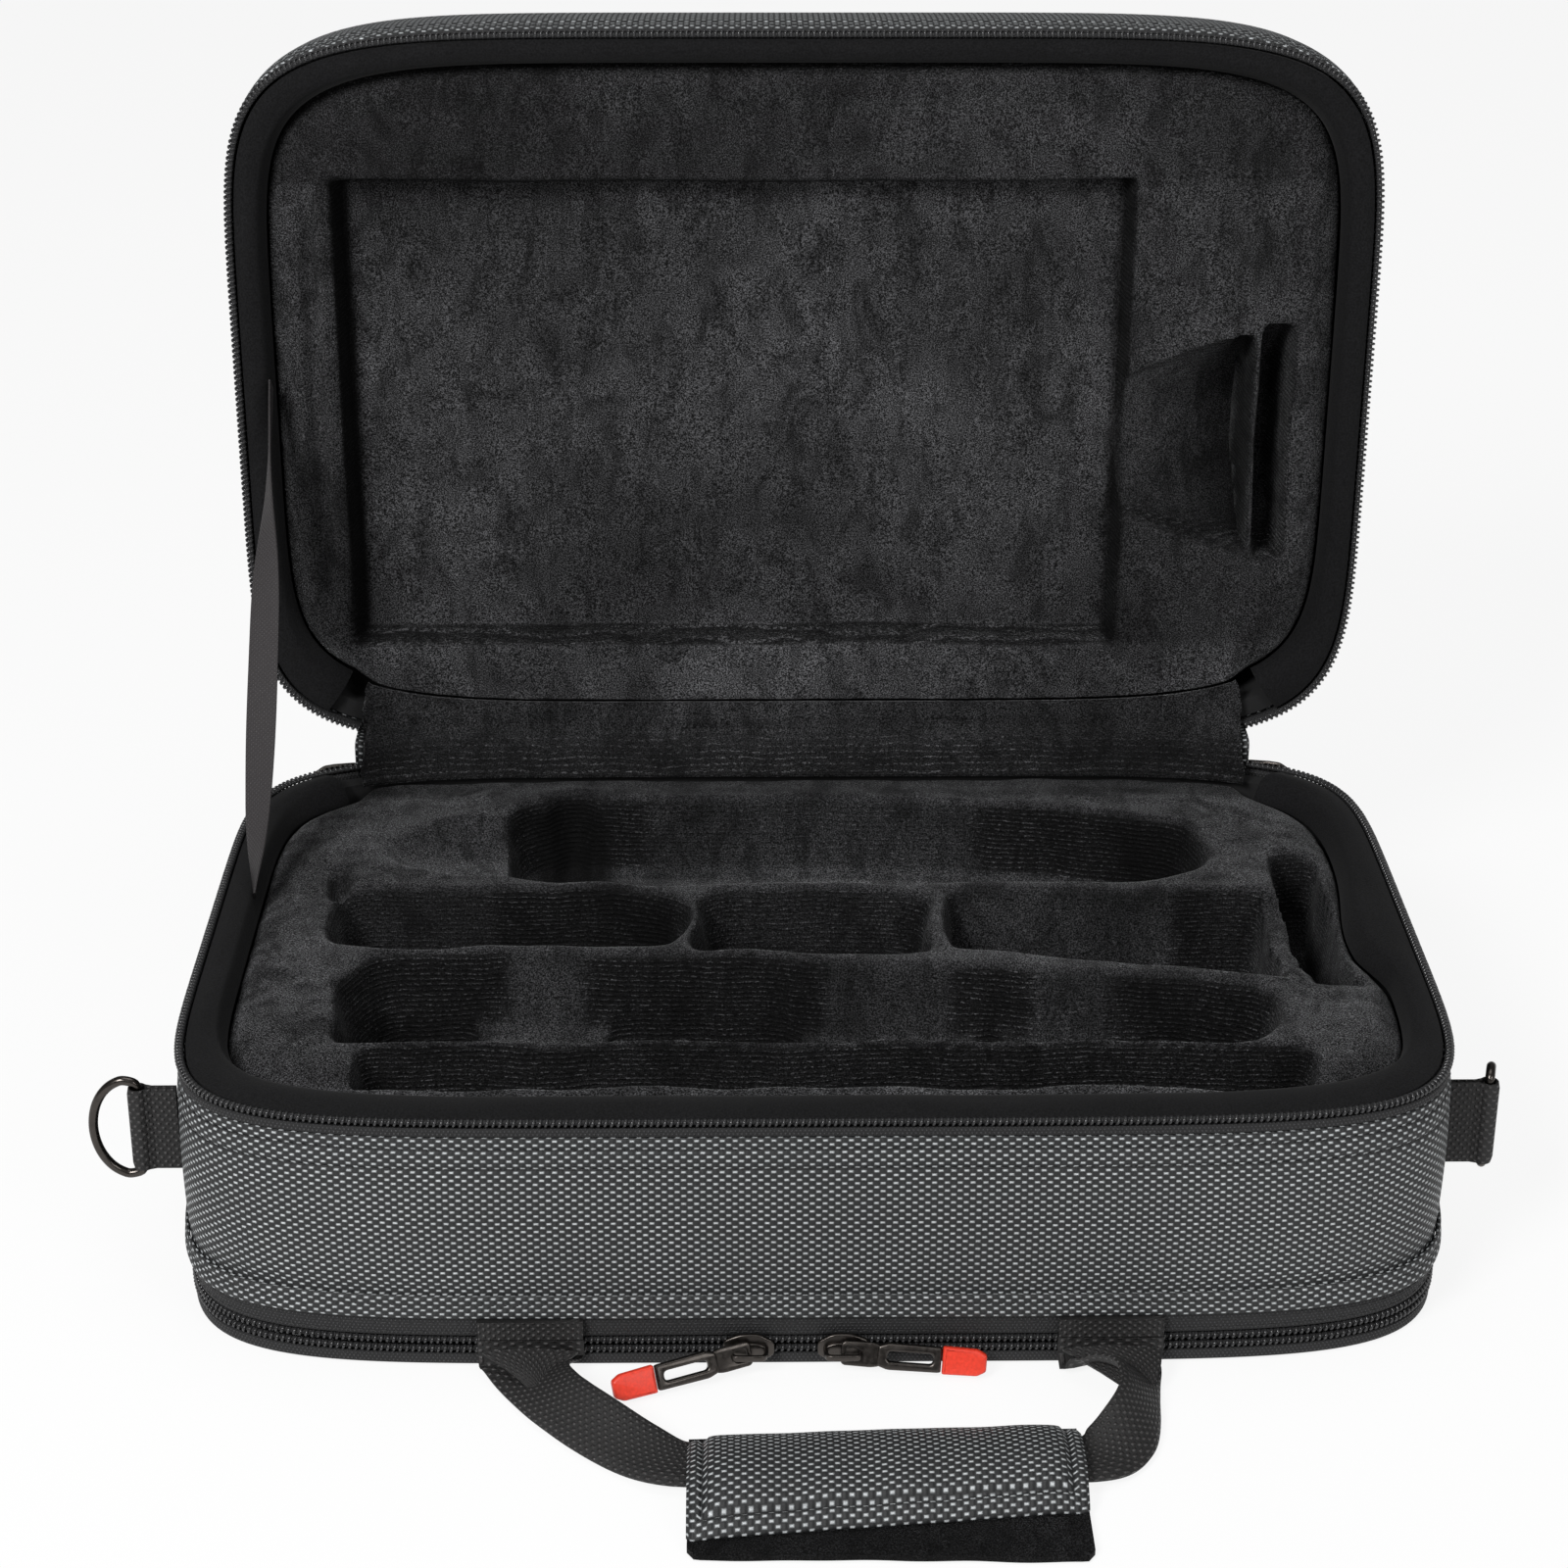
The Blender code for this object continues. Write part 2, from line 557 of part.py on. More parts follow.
def make_well(name, loops, origin=None, parent=None):
    """A cutter stacked from loops given as centre, size, height and squareness."""
    count = WELL_POINTS if parent is None else LID_WELL_POINTS
    rings = []
    for centre, width, depth, z, power in loops:
        angles = [2 * math.pi * (i + 0.5) / count for i in range(count)]
        rings.append([plan_point(angle, width, depth, centre, z, power) for angle in angles])
    return add_cutter(name, loft(name, rings), origin, parent)


def well_loops(shares):
    """Loops of one well of the base insert, from its floor to above the plush, flared at the lip."""
    left, right, front, back, depth_share, power = shares
    half_width = INSERT_WIDTH / 2
    half_depth = INSERT_DEPTH / 2
    centre = ((left + right) / 2 * half_width, INSERT_OFFSET + (front + back) / 2 * half_depth)
    width = (right - left) * half_width
    depth = (back - front) * half_depth
    drop = depth_share * (INSERT_TOP - TRAY_FLOOR_TOP)
    floor = INSERT_TOP - drop
    loops = []
    for height_share, inset_share in WELL_PROFILE_SHARES:
        inset = inset_share * depth
        loops.append((centre, width - inset, depth - inset, floor + height_share * drop, power))
    loops.append((centre, width, depth, INSERT_TOP - WELL_LIP, power))
    loops.append((centre, width + WELL_LIP, depth + WELL_LIP, INSERT_TOP, power))
    loops.append((centre, width + WELL_LIP, depth + WELL_LIP, INSERT_TOP + OVERRUN, power))
    return loops


def turned_along_x(name, x_start, x_end, radius_start, radius_end, centre, back_wall=None):
    """A cone along X, cut flat behind where a wall is given."""
    bm = bmesh.new()
    bmesh.ops.create_cone(bm, cap_ends=True, segments=BELL_SEGMENTS, radius1=radius_start,
                          radius2=radius_end, depth=x_end - x_start)
    turn = Matrix.Rotation(math.radians(90), 4, "Y")
    place = Matrix.Translation(Vector(((x_start + x_end) / 2, centre[0], centre[1])))
    bmesh.ops.transform(bm, matrix=place @ turn, verts=bm.verts)
    if back_wall is not None:
        everything = bm.verts[:] + bm.edges[:] + bm.faces[:]
        result = bmesh.ops.bisect_plane(bm, geom=everything, plane_co=Vector((0, back_wall, 0)),
                                        plane_no=Vector((0, 1, 0)), clear_outer=True)
        edges = [item for item in result["geom_cut"] if isinstance(item, bmesh.types.BMEdge)]
        bmesh.ops.contextual_create(bm, geom=edges)
    return to_mesh(bm, name)


def make_base_insert():
    """The moulded plush insert with its joint, bell and accessory wells, and the band round it."""
    shoulder = INSERT_TOP - INSERT_SHOULDER
    loops = (
        case_loop(FOAM_INNER_INSET + SEAT_GAP, TRAY_FLOOR_TOP + SEAT_GAP),
        case_loop(FOAM_INNER_INSET + SEAT_GAP, shoulder - INSERT_SHOULDER_SLOPE),
        insert_loop(0, shoulder),
        insert_loop(0, INSERT_TOP - INSERT_EDGE_RADIUS / 2),
        insert_loop(INSERT_EDGE_RADIUS / 3, INSERT_TOP - INSERT_EDGE_RADIUS / 6),
        insert_loop(INSERT_EDGE_RADIUS, INSERT_TOP),
    )
    insert = add_part("base_insert", stacked("base_insert", loops), LOOK_PLUSH)
    cutters = [make_well("well_" + name, well_loops(shares)) for name, shares in WELL_SHARES.items()]
    neck, flare, slot_start, slot_end = [share * INSERT_WIDTH / 2 for share in BELL_SHARES]
    centre = (BELL_OFFSET, INSERT_TOP)
    bell = turned_along_x("well_bell", neck, flare, BELL_NECK_RADIUS, BELL_FLARE_RADIUS, centre,
                          BELL_BACK_WALL)
    rim = turned_along_x("well_bell_rim", slot_start, slot_end, BELL_RIM_RADIUS, BELL_RIM_RADIUS, centre)
    cutters.append(add_cutter("well_bell", bell))
    cutters.append(add_cutter("well_bell_rim", rim))
    cut(insert, cutters)
    band = swept("base_edge_band", band_section(1, insert_loop), front_run(INSERT_WIDTH))
    add_part("base_edge_band", band, LOOK_TAPE)


def make_lid():
    """The lid, modelled shut over the base and turned open on the hinge axis."""
    pivot = bpy.data.objects.new("lid_pivot", None)
    pivot.location = HINGE_POINT
    pivot.rotation_euler = (math.radians(-LID_OPEN_DEGREES), 0, 0)
    PARTS.objects.link(pivot)

    top = RIM_HEIGHT + LID_DEPTH
    shell_low = RIM_HEIGHT + RIM_ZIP_HEIGHT
    arc = edge_arc(SHELL_INSET / 2 + LID_TAPER, top, LID_EDGE_RADIUS, 4, 1)
    loops = [case_loop(SHELL_INSET / 2, shell_low)] + [case_loop(inset, z) for inset, z in arc]
    shell = add_part("lid_fabric_shell", stacked("lid_fabric_shell", loops, caps=(False, True)), LOOK_WEAVE,
                     HINGE_POINT, pivot)
    add_solidify(shell, FABRIC)

    step = FABRIC + SEAT_GAP
    foam_low = RIM_HEIGHT + BAND_CREST_DROP + BAND_CREST_THICKNESS + SEAT_GAP
    outer_arc = edge_arc(SHELL_INSET + LID_TAPER + step, top - step, LID_EDGE_RADIUS - step, 3, 1)
    ceiling = top - step - FOAM_FLOOR
    foam_loops = [case_loop(FOAM_INNER_INSET, ceiling), case_loop(FOAM_INNER_INSET, foam_low),
                  case_loop(FOAM_INSET, foam_low)]
    foam_loops += [case_loop(inset, z) for inset, z in outer_arc]
    add_part("lid_foam_shell", stacked("lid_foam_shell", foam_loops), LOOK_FOAM, HINGE_POINT, pivot)

    make_rim_zip("lid", RIM_HEIGHT + SEAT_GAP / 2, shell_low, True, HINGE_POINT, pivot)
    band = swept("lid_edge_band", band_section(-1, lid_insert_loop), front_run(LID_INSERT_WIDTH))
    add_part("lid_edge_band", band, LOOK_TAPE, HINGE_POINT, pivot)

    face = RIM_HEIGHT + INSERT_RECESS
    shoulder = face + INSERT_SHOULDER
    insert_loops = (
        lid_insert_loop(INSERT_EDGE_RADIUS, face),
        lid_insert_loop(INSERT_EDGE_RADIUS / 3, face + INSERT_EDGE_RADIUS / 6),
        lid_insert_loop(0, face + INSERT_EDGE_RADIUS / 2),
        lid_insert_loop(0, shoulder),
        case_loop(FOAM_INNER_INSET + SEAT_GAP, shoulder + INSERT_SHOULDER_SLOPE),
        case_loop(FOAM_INNER_INSET + SEAT_GAP, ceiling - SEAT_GAP),
    )
    insert = add_part("lid_insert", stacked("lid_insert", insert_loops), LOOK_PLUSH, HINGE_POINT, pivot)
    half_width = LID_INSERT_WIDTH / 2
    half_depth = LID_INSERT_DEPTH / 2
    left, right, front, back, power = LID_RECESS_SHARES
    centre = ((left + right) / 2 * half_width, LID_INSERT_OFFSET + (front + back) / 2 * half_depth)
    width = (right - left) * half_width
    depth = (back - front) * half_depth
    recess = (
        (centre, width + WELL_LIP, depth + WELL_LIP, face - OVERRUN, power),
        (centre, width + WELL_LIP, depth + WELL_LIP, face, power),
        (centre, width, depth, face + WELL_LIP / 2, power),
        (centre, width - 2 * LID_RECESS_DRAFT, depth - 2 * LID_RECESS_DRAFT, face + LID_RECESS_DEPTH, power),
    )
    neck, flare, slot_start, slot_end = [share * half_width for share in LID_BELL_SHARES]
    bell_centre = (LID_BELL_OFFSET, face - LID_BELL_LIFT)
    bell = turned_along_x("lid_well_bell", neck, flare, LID_BELL_NECK_RADIUS, LID_BELL_RADIUS, bell_centre)
    slot = turned_along_x("lid_well_rim", slot_start, slot_end, LID_BELL_RADIUS, LID_BELL_RADIUS, bell_centre)
    cut(insert, [
        make_well("lid_well_recess", recess, HINGE_POINT, pivot),
        add_cutter("lid_well_bell", bell, HINGE_POINT, pivot),
        add_cutter("lid_well_rim", slot, HINGE_POINT, pivot),
    ])


def ribbon_sections(path, thickness, place, low, high):
    """Rectangular sections along a flat path, thick across it and reaching from low to high."""
    sections = []
    for i, point in enumerate(path):
        before = path[max(i - 1, 0)]
        after = path[min(i + 1, len(path) - 1)]
        along = Vector((after[0] - before[0], after[1] - before[1])).normalized()
        side = Vector((-along.y, along.x)) * thickness / 2
        near = (point[0] + side.x, point[1] + side.y)
        far = (point[0] - side.x, point[1] - side.y)
        sections.append([place(near, low), place(far, low), place(far, high), place(near, high)])
    return sections


def across_x(point, x):
    """Place a point of a Y-Z path at an X."""
    return Vector((x, point[0], point[1]))


def up_z(point, z):
    """Place a point of an X-Y path at a Z."""
    return Vector((point[0], point[1], z))


def edge_at(loop, x):
    """Back edge of a plan loop at an X."""
    width, depth, centre, _ = loop
    share = min(abs(2 * (x - centre[0]) / width), 1)
    return centre[1] + depth / 2 * (1 - share ** PLAN_POWER) ** (1 / PLAN_POWER)


def make_lid_hinge():
    """The fabric panel outside the hinge and the plush flap inside it."""
    low = HINGE_POINT.z - HINGE_PANEL_DROP
    back = HINGE_POINT.y + HINGE_PANEL_DROP
    sections = []
    for angle in back_run(SEAT_GAP):
        wall = plan_point(angle, *case_loop(0, low))
        near = wall.y + SEAT_GAP
        far = near + HINGE_PANEL_THICKNESS
        high = HINGE_POINT.z + HINGE_POINT.y - near
        under = high - HINGE_PANEL_THICKNESS
        corners = ((near, low), (far, low), (far, under), (back, under), (back, high), (near, high))
        sections.append([across_x(corner, wall.x) for corner in corners])
    add_part("hinge_outer_panel", loft("hinge_outer_panel", sections), LOOK_WEAVE)

    lid_face = HINGE_POINT.y + INSERT_RECESS - HINGE_RISE - SEAT_GAP - FLAP_THICKNESS
    base_top = INSERT_TOP + SEAT_GAP + FLAP_THICKNESS
    sections = []
    for angle in back_run(FLAP_END_GAP):
        x = plan_point(angle, *case_loop(0, 0)).x
        base_edge = edge_at(insert_loop(0, 0), x)
        lid_edge = HINGE_POINT.z + HINGE_POINT.y - edge_at(lid_insert_loop(0, 0), x)
        path = [(lid_face + (base_edge - lid_face) * across, lid_edge + (base_top - lid_edge) * down)
                for across, down in FLAP_BEND_SHARES]
        outline = ribbon_sections(path, FLAP_THICKNESS, across_x, x, x)
        sections.append([section[0] for section in outline] + [section[1] for section in reversed(outline)])
    add_part("hinge_plush_flap", loft("hinge_plush_flap", sections), LOOK_PLUSH)


def blend_table(table, share):
    """Read a table of (share, value) pairs with straight runs between them."""
    for (s0, v0), (s1, v1) in zip(table, table[1:]):
        if share <= s1:
            return v0 + (v1 - v0) * (share - s0) / (s1 - s0)
    return table[-1][1]


def make_stay():
    """The ribbon that stops the lid, from the base's left edge to the lid's."""
    x = -(INSERT_WIDTH / 2 + STAY_EDGE_OFFSET)
    start = Vector((x, STAY_BASE_Y, RIM_HEIGHT - STAY_SINK))
    end = Vector((x, HINGE_POINT.y + STAY_SINK, HINGE_POINT.z + STAY_LID_REACH))
    along = (end - start).normalized()
    sections = []
    for i in range(STAY_STEPS + 1):
        share = i / STAY_STEPS
        centre = start.lerp(end, share)
        centre.z -= STAY_SAG * 4 * share * (1 - share)
        twist = math.radians(blend_table(STAY_TWIST_DEGREES, share))
        side = Matrix.Rotation(twist, 3, along) @ along.cross(Vector((1, 0, 0)))
        width = side * STAY_WIDTH / 2
        thick = along.cross(side) * STAY_THICKNESS / 2
        sections.append([centre + width + thick, centre - width + thick, centre - width - thick,
                         centre + width - thick])
    add_part("stay_ribbon", loft("stay_ribbon", sections, twisted=True), LOOK_TAPE)


def flat_mesh(name, outlines, thickness):
    """A plate from a closed outline and its holes, in X and Y, centred on its thickness."""
    curve = bpy.data.curves.new(name, "CURVE")
    curve.dimensions = "2D"
    curve.fill_mode = "BOTH"
    curve.extrude = thickness / 2
    for outline in outlines:
        spline = curve.splines.new("POLY")
        spline.points.add(len(outline) - 1)
        for point, (x, y) in zip(spline.points, outline):
            point.co = (x, y, 0, 1)
        spline.use_cyclic_u = True
    holder = bpy.data.objects.new(name, curve)
    bpy.context.scene.collection.objects.link(holder)
    mesh = bpy.data.meshes.new_from_object(holder.evaluated_get(bpy.context.evaluated_depsgraph_get()))
    bpy.data.objects.remove(holder, do_unlink=True)
    bm = bmesh.new()
    bm.from_mesh(mesh)
    bmesh.ops.remove_doubles(bm, verts=bm.verts, dist=WELD_DISTANCE)
    return to_mesh(bm, name)


def mirrored(half):
    """A closed outline from its upper half."""
    return list(half) + [(x, -y) for x, y in reversed(half)]


def box_outline(x_low, x_high, half_height):
    """A rectangle's corners."""
    return [(x_low, -half_height), (x_high, -half_height), (x_high, half_height), (x_low, half_height)]


def slider_mesh():
    """A slider's face plate with the crown that holds the pull, outward along +Z."""
    half = SLIDER_LENGTH / 2
    shoulder = SLIDER_HEIGHT / 2
    nose = shoulder / 2
    plate = flat_mesh("slider_plate", [mirrored([(-half, nose), (-half / 2, shoulder), (half / 2, shoulder),
                                                 (half, nose)])], SLIDER_PLATE)
    plate.transform(Matrix.Translation((0, 0, SLIDER_PLATE / 2)))
    leg = CROWN_LENGTH / 2
    inner = leg - CROWN_BAR
    under = CROWN_RISE - CROWN_BAR
    bend = under - CROWN_BAR / 3
    crown_outline = [
        (-leg, -CROWN_SINK), (-leg, bend), (-inner, CROWN_RISE), (inner, CROWN_RISE), (leg, bend),
        (leg, -CROWN_SINK), (inner, -CROWN_SINK), (inner, under - CROWN_BAR / 2), (inner - CROWN_BAR / 2, under),
        (CROWN_BAR / 2 - inner, under), (-inner, under - CROWN_BAR / 2), (-inner, -CROWN_SINK),
    ]
    crown = flat_mesh("slider_crown", [crown_outline], CROWN_WIDTH)
    crown.transform(Matrix.Translation((0, 0, SLIDER_PLATE)) @ Matrix.Rotation(math.radians(90), 4, "X"))
    body = bpy.data.objects.new("slider_body", plate)
    tool = bpy.data.objects.new("slider_crown", crown)
    for thing in (body, tool):
        bpy.context.scene.collection.objects.link(thing)
    union = body.modifiers.new("crown", "BOOLEAN")
    union.operation = "UNION"
    union.solver = "EXACT"
    union.object = tool
    mesh = bpy.data.meshes.new_from_object(body.evaluated_get(bpy.context.evaluated_depsgraph_get()))
    for thing in (body, tool):
        bpy.data.objects.remove(thing, do_unlink=True)
    bm = bmesh.new()
    bm.from_mesh(mesh)
    return to_mesh(bm, "slider")


def pull_meshes():
    """The metal pull, its bar along Y through the origin, and the moulded tip on its end."""
    half = PULL_WIDTH / 2
    outline = mirrored([(x * PULL_LENGTH, y * half) for x, y in PULL_OUTLINE_SHARES])
    eye_start, eye_end, eye_half = PULL_EYE_SHARES
    slot_start, slot_end, slot_half = PULL_SLOT_SHARES
    eye = box_outline(eye_start * PULL_LENGTH, eye_end * PULL_LENGTH, eye_half * half)
    slot = box_outline(slot_start * PULL_LENGTH, slot_end * PULL_LENGTH, slot_half * half)
    metal = flat_mesh("pull", [outline, eye, slot], PULL_THICKNESS)
    start = PULL_LENGTH + SEAT_GAP
    tip_outline = mirrored([(start + x * PULL_TIP_LENGTH, y * half) for x, y in TIP_OUTLINE_SHARES])
    tip = flat_mesh("pull_tip", [tip_outline], PULL_TIP_THICKNESS)
    return metal, tip


def frame_matrix(x_axis, y_axis, point):
    """A placement from two directions at right angles and a point."""
    z_axis = x_axis.cross(y_axis)
    matrix = Matrix((x_axis, y_axis, z_axis)).transposed().to_4x4()
    matrix.translation = point
    return matrix


def place_part(name, mesh, look, matrix):
    """Link a shared mesh at a placement."""
    colour, roughness, metallic = look
    part = bpy.data.objects.new(name, mesh.copy())
    part.data.materials.clear()
    part.data.materials.append(new_material(name, colour, roughness, metallic))
    part.matrix_world = matrix
    PARTS.objects.link(part)
    return part


def make_slider(label, point, along, outward, degrees, raised_degrees):
    """A slider on a chain's outer face, with its pull pointing along the chain and a little down."""
    up = Vector((0, 0, 1))
    heading, droop = (math.radians(angle) for angle in degrees)
    side = outward.cross(along)
    place_part(label[0], SLIDER, LOOK_METAL, frame_matrix(along, side, point))
    pivot = point + outward * (SLIDER_PLATE + (CROWN_RISE - CROWN_BAR) / 2)
    flat = along * math.cos(heading) + outward * math.sin(heading)
    rest = flat * math.cos(droop) - up * math.sin(droop)
    raised = math.radians(raised_degrees)
    straight_out = outward * math.cos(raised) + up * math.sin(raised)
    bar = rest.cross(straight_out).normalized()
    placement = frame_matrix(rest, bar, pivot)
    place_part(label[1], PULL, LOOK_METAL, placement)
    place_part(label[2], PULL_TIP, LOOK_RED, placement)


def make_sliders():
    """Two sliders head to head on the pocket, and the main zip's two parked at its ends."""
    front = Vector((0, -1, 0))
    z = (LOWER_CHAIN_BOTTOM + UPPER_CHAIN_TOP) / 2
    for side, x, direction, degrees in (("left", LEFT_SLIDER_X, -1, LEFT_PULL_DEGREES),
                                        ("right", RIGHT_SLIDER_X, 1, RIGHT_PULL_DEGREES)):
        label = ("pocket_slider_" + side, "pocket_pull_" + side, "pocket_pull_tip_" + side)
        point = Vector((x, FRONT_WALL + CHAIN_INSET - SLIDER_RUN_GAP, z))
        make_slider(label, point, Vector((direction, 0, 0)), front, degrees, PULL_RAISED_DEGREES)
    z = RIM_HEIGHT - SEAT_GAP - SLIDER_HEIGHT / 2
    end = plan_point(front_run()[-1], *case_loop(CHAIN_INSET, z))
    near = plan_point(front_run()[-2], *case_loop(CHAIN_INSET, z))
    for side, direction in (("left", -1), ("right", 1)):
        label = ("main_slider_" + side, "main_pull_" + side, "main_pull_tip_" + side)
        tangent = (end - near).normalized()
        tangent.x *= direction
        outward = Vector((-tangent.y * direction, tangent.x * direction, 0))
        outward *= math.copysign(1, outward.y)
        point = Vector((end.x * direction, end.y, z)) + outward * SLIDER_RUN_GAP
        point -= tangent * SLIDER_LENGTH / 2
        make_slider(label, point, tangent, outward, MAIN_PULL_DEGREES, MAIN_PULL_RAISED_DEGREES)


def strap_point(shares):
    """A point of the handle's route on the floor: place, roll and fold."""
    x_share, y_share, roll, fold = shares
    width = WEBBING_WIDTH + (WEBBING_FOLDED_WIDTH - WEBBING_WIDTH) * fold
    thickness = WEBBING_THICKNESS + (WEBBING_FOLDED_THICKNESS - WEBBING_THICKNESS) * fold
    tilt = math.radians(roll)
    z = FLOOR_LIFT + width / 2 * math.sin(tilt) + thickness / 2 * math.cos(tilt)
    place = Vector((HANDLE_OFFSET + x_share * HANDLE_SPAN, FRONT_WALL - y_share * HANDLE_REACH, z))
    return place, tilt, width, thickness


def root_points(x_share):
    """The upright stretch under a root, from the axis down."""
    points = []
    drop = HANDLE_POINT.z - WEBBING_FOLDED_THICKNESS
    for share in STRAP_ROOT_SHARES:
        lean = share * share * WEBBING_FOLDED_THICKNESS
        place = Vector((HANDLE_OFFSET + x_share * HANDLE_SPAN, HANDLE_POINT.y - lean, HANDLE_POINT.z - share * drop))
        points.append((place, 0.0, WEBBING_WIDTH, WEBBING_THICKNESS))
    return points


def make_handle():
    """The sewn roots, the webbing that swings on them, and the wrap with its lining."""
    for side, x_share in (("left", -0.5), ("right", 0.5)):
        x = HANDLE_OFFSET + x_share * HANDLE_SPAN
        wall = FRONT_WALL + TAPE_INSET - SEAT_GAP
        bottom = HANDLE_POINT.z + ROOT_CLEARANCE
        top = POCKET_DEPTH - SEAM_FLAP_DROP - SEAT_GAP
        path = ((x - WEBBING_WIDTH / 2, wall - ROOT_THICKNESS / 2), (x + WEBBING_WIDTH / 2, wall - ROOT_THICKNESS / 2))
        root = ribbon_sections(path, ROOT_THICKNESS, up_z, bottom, top)
        add_part("handle_root_" + side, loft("handle_root_" + side, root), LOOK_TAPE)

    grip_z = FLOOR_LIFT + LINING_THICKNESS + SEAT_GAP + WEBBING_FOLDED_THICKNESS / 2
    route = root_points(-0.5) + [strap_point(shares) for shares in STRAP_LEFT_SHARES]
    inside_left = len(route) - 1
    route += [strap_point(shares) for shares in STRAP_RIGHT_SHARES] + list(reversed(root_points(0.5)))
    for index in (inside_left, inside_left + 1):
        place, _, width, thickness = route[index]
        route[index] = (Vector((place.x, place.y, grip_z)), 0.0, width, thickness)
    straight = len(STRAP_ROOT_SHARES)
    sections = []
    for i, (place, tilt, width, thickness) in enumerate(route):
        before = route[max(i - 1, 0)][0]
        after = route[min(i + 1, len(route) - 1)][0]
        along = after - before
        if i in (0, len(route) - 1):
            along = Vector((0, 0, -1 if i == 0 else 1))
        flat = Vector((along.x, along.y)).normalized()
        if i <= straight or i >= len(route) - 1 - straight:
            along.x = 0
            flat = Vector((0, -1 if i <= straight else 1))
        along.normalize()
        inner = Vector((-flat.y, flat.x, 0)) * math.cos(tilt) + Vector((0, 0, math.sin(tilt)))
        normal = inner.cross(along).normalized()
        across = along.cross(normal).normalized() * width / 2
        thick = normal * thickness / 2
        corners = [place + across + thick, place - across + thick, place - across - thick, place + across - thick]
        lift = max(0, FLOOR_LIFT - min(corner.z for corner in corners))
        sections.append([corner + Vector((0, 0, lift)) for corner in corners])
    add_part("handle_webbing", loft("handle_webbing", sections), LOOK_TAPE, HANDLE_POINT)

    wrap = []
    lining = []
    for share, crown in GRIP_CROWN_SHARES:
        x = GRIP_OFFSET + (share - 0.5) * GRIP_LENGTH
        back = FRONT_WALL - (GRIP_BACK_LEFT + (GRIP_BACK_RIGHT - GRIP_BACK_LEFT) * share)
        depth = GRIP_DEPTH_LEFT + (GRIP_DEPTH_RIGHT - GRIP_DEPTH_LEFT) * share
        show = LINING_SHOW_LEFT + (LINING_SHOW_RIGHT - LINING_SHOW_LEFT) * share
        wrap.append([Vector((x, back - across * depth, up * crown * GRIP_HEIGHT))
                     for across, up in GRIP_SECTION_SHARES])
        hem = GRIP_SECTION_SHARES[9][0] * depth + SEAT_GAP
        low = FLOOR_LIFT
        high = FLOOR_LIFT + LINING_THICKNESS
        lining.append([Vector((x, back - hem, low)), Vector((x, back - depth - show, low)),
                       Vector((x, back - depth - show, high)), Vector((x, back - hem, high))])
    add_part("handle_grip_wrap", loft("handle_grip_wrap", wrap), LOOK_WEAVE, HANDLE_POINT)
    add_part("handle_grip_lining", loft("handle_grip_lining", lining), LOOK_PLUSH, HANDLE_POINT)


def ring_points():
    """The D of a ring on its bar, the bow reaching along +X and the bar along Z."""
    half = RING_HEIGHT / 2
    corner = RING_WIRE
    points = [(0, -half + corner), (corner / 3, -half + corner / 3)]
    for i in range(RING_STEPS + 1):
        angle = math.pi * i / RING_STEPS
        reach = corner + (RING_REACH - corner) * math.sin(angle)
        points.append((reach, -half * math.cos(angle)))
    points += [(corner / 3, half - corner / 3), (0, half - corner)]
    return points


def make_end_ring(side, direction, turn_degrees):
    """A webbing tab on one end of the case and the ring that swings in its loop."""
    share = abs(2 * RING_Y / CASE_DEPTH)
    wall = CASE_WIDTH / 2 * (1 - share ** PLAN_POWER) ** (1 / PLAN_POWER) + SEAT_GAP
    bar_x = wall + TAB_REACH
    leg = TAB_SPLIT / 2 + TAB_WEBBING / 2
    eye = RING_WIRE / 2 + TAB_EYE_CLEARANCE + TAB_WEBBING / 2
    path = [(wall, leg), (bar_x - TAB_THROAT_SHARE * eye, leg)]
    for i in range(TAB_EYE_STEPS + 1):
        angle = math.radians(TAB_EYE_HALF_DEGREES) * (1 - 2 * i / TAB_EYE_STEPS)
        path.append((bar_x + eye * math.cos(angle), eye * math.sin(angle)))
    path += [(bar_x - TAB_THROAT_SHARE * eye, -leg), (wall, -leg)]
    path = [(direction * x, RING_Y + y) for x, y in path]
    tab = ribbon_sections(path, TAB_WEBBING, up_z, RING_Z - TAB_HEIGHT / 2, RING_Z + TAB_HEIGHT / 2)
    add_part("ring_tab_" + side, loft("ring_tab_" + side, tab), LOOK_TAPE)

    curve = bpy.data.curves.new("d_ring_" + side, "CURVE")
    curve.dimensions = "3D"
    curve.bevel_depth = RING_WIRE / 2
    curve.bevel_resolution = 1
    curve.use_fill_caps = True
    outline = ring_points()
    spline = curve.splines.new("POLY")
    spline.points.add(len(outline) - 1)
    for point, (x, z) in zip(spline.points, outline):
        point.co = (direction * x, 0, z, 1)
    spline.use_cyclic_u = True
    curve.materials.append(new_material("d_ring_" + side, *LOOK_METAL))
    ring = bpy.data.objects.new("d_ring_" + side, curve)
    ring.location = (direction * bar_x, RING_Y, RING_Z)
    ring.rotation_euler = (0, 0, math.radians(turn_degrees))
    PARTS.objects.link(ring)


SLIDER = slider_mesh()
PULL, PULL_TIP = pull_meshes()

make_pocket_panel()
make_pocket_zip()
make_base_shell()
make_rim_zip("base", SHELL_TOP, BASE_CHAIN_TOP, False)
make_base_insert()
make_lid()
make_lid_hinge()
make_stay()
make_sliders()
make_handle()
make_end_ring("left", -1, 0)
make_end_ring("right", 1, RIGHT_RING_TURN_DEGREES)
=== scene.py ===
"""Clarinet case: a soft zipped case with moulded plush wells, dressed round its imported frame.

Lengths are in metres, +Z is up, the front faces -Y and the lid stands open behind the base.
"""

import math

import bmesh
import bpy
import numpy as np
from mathutils import Matrix, Vector


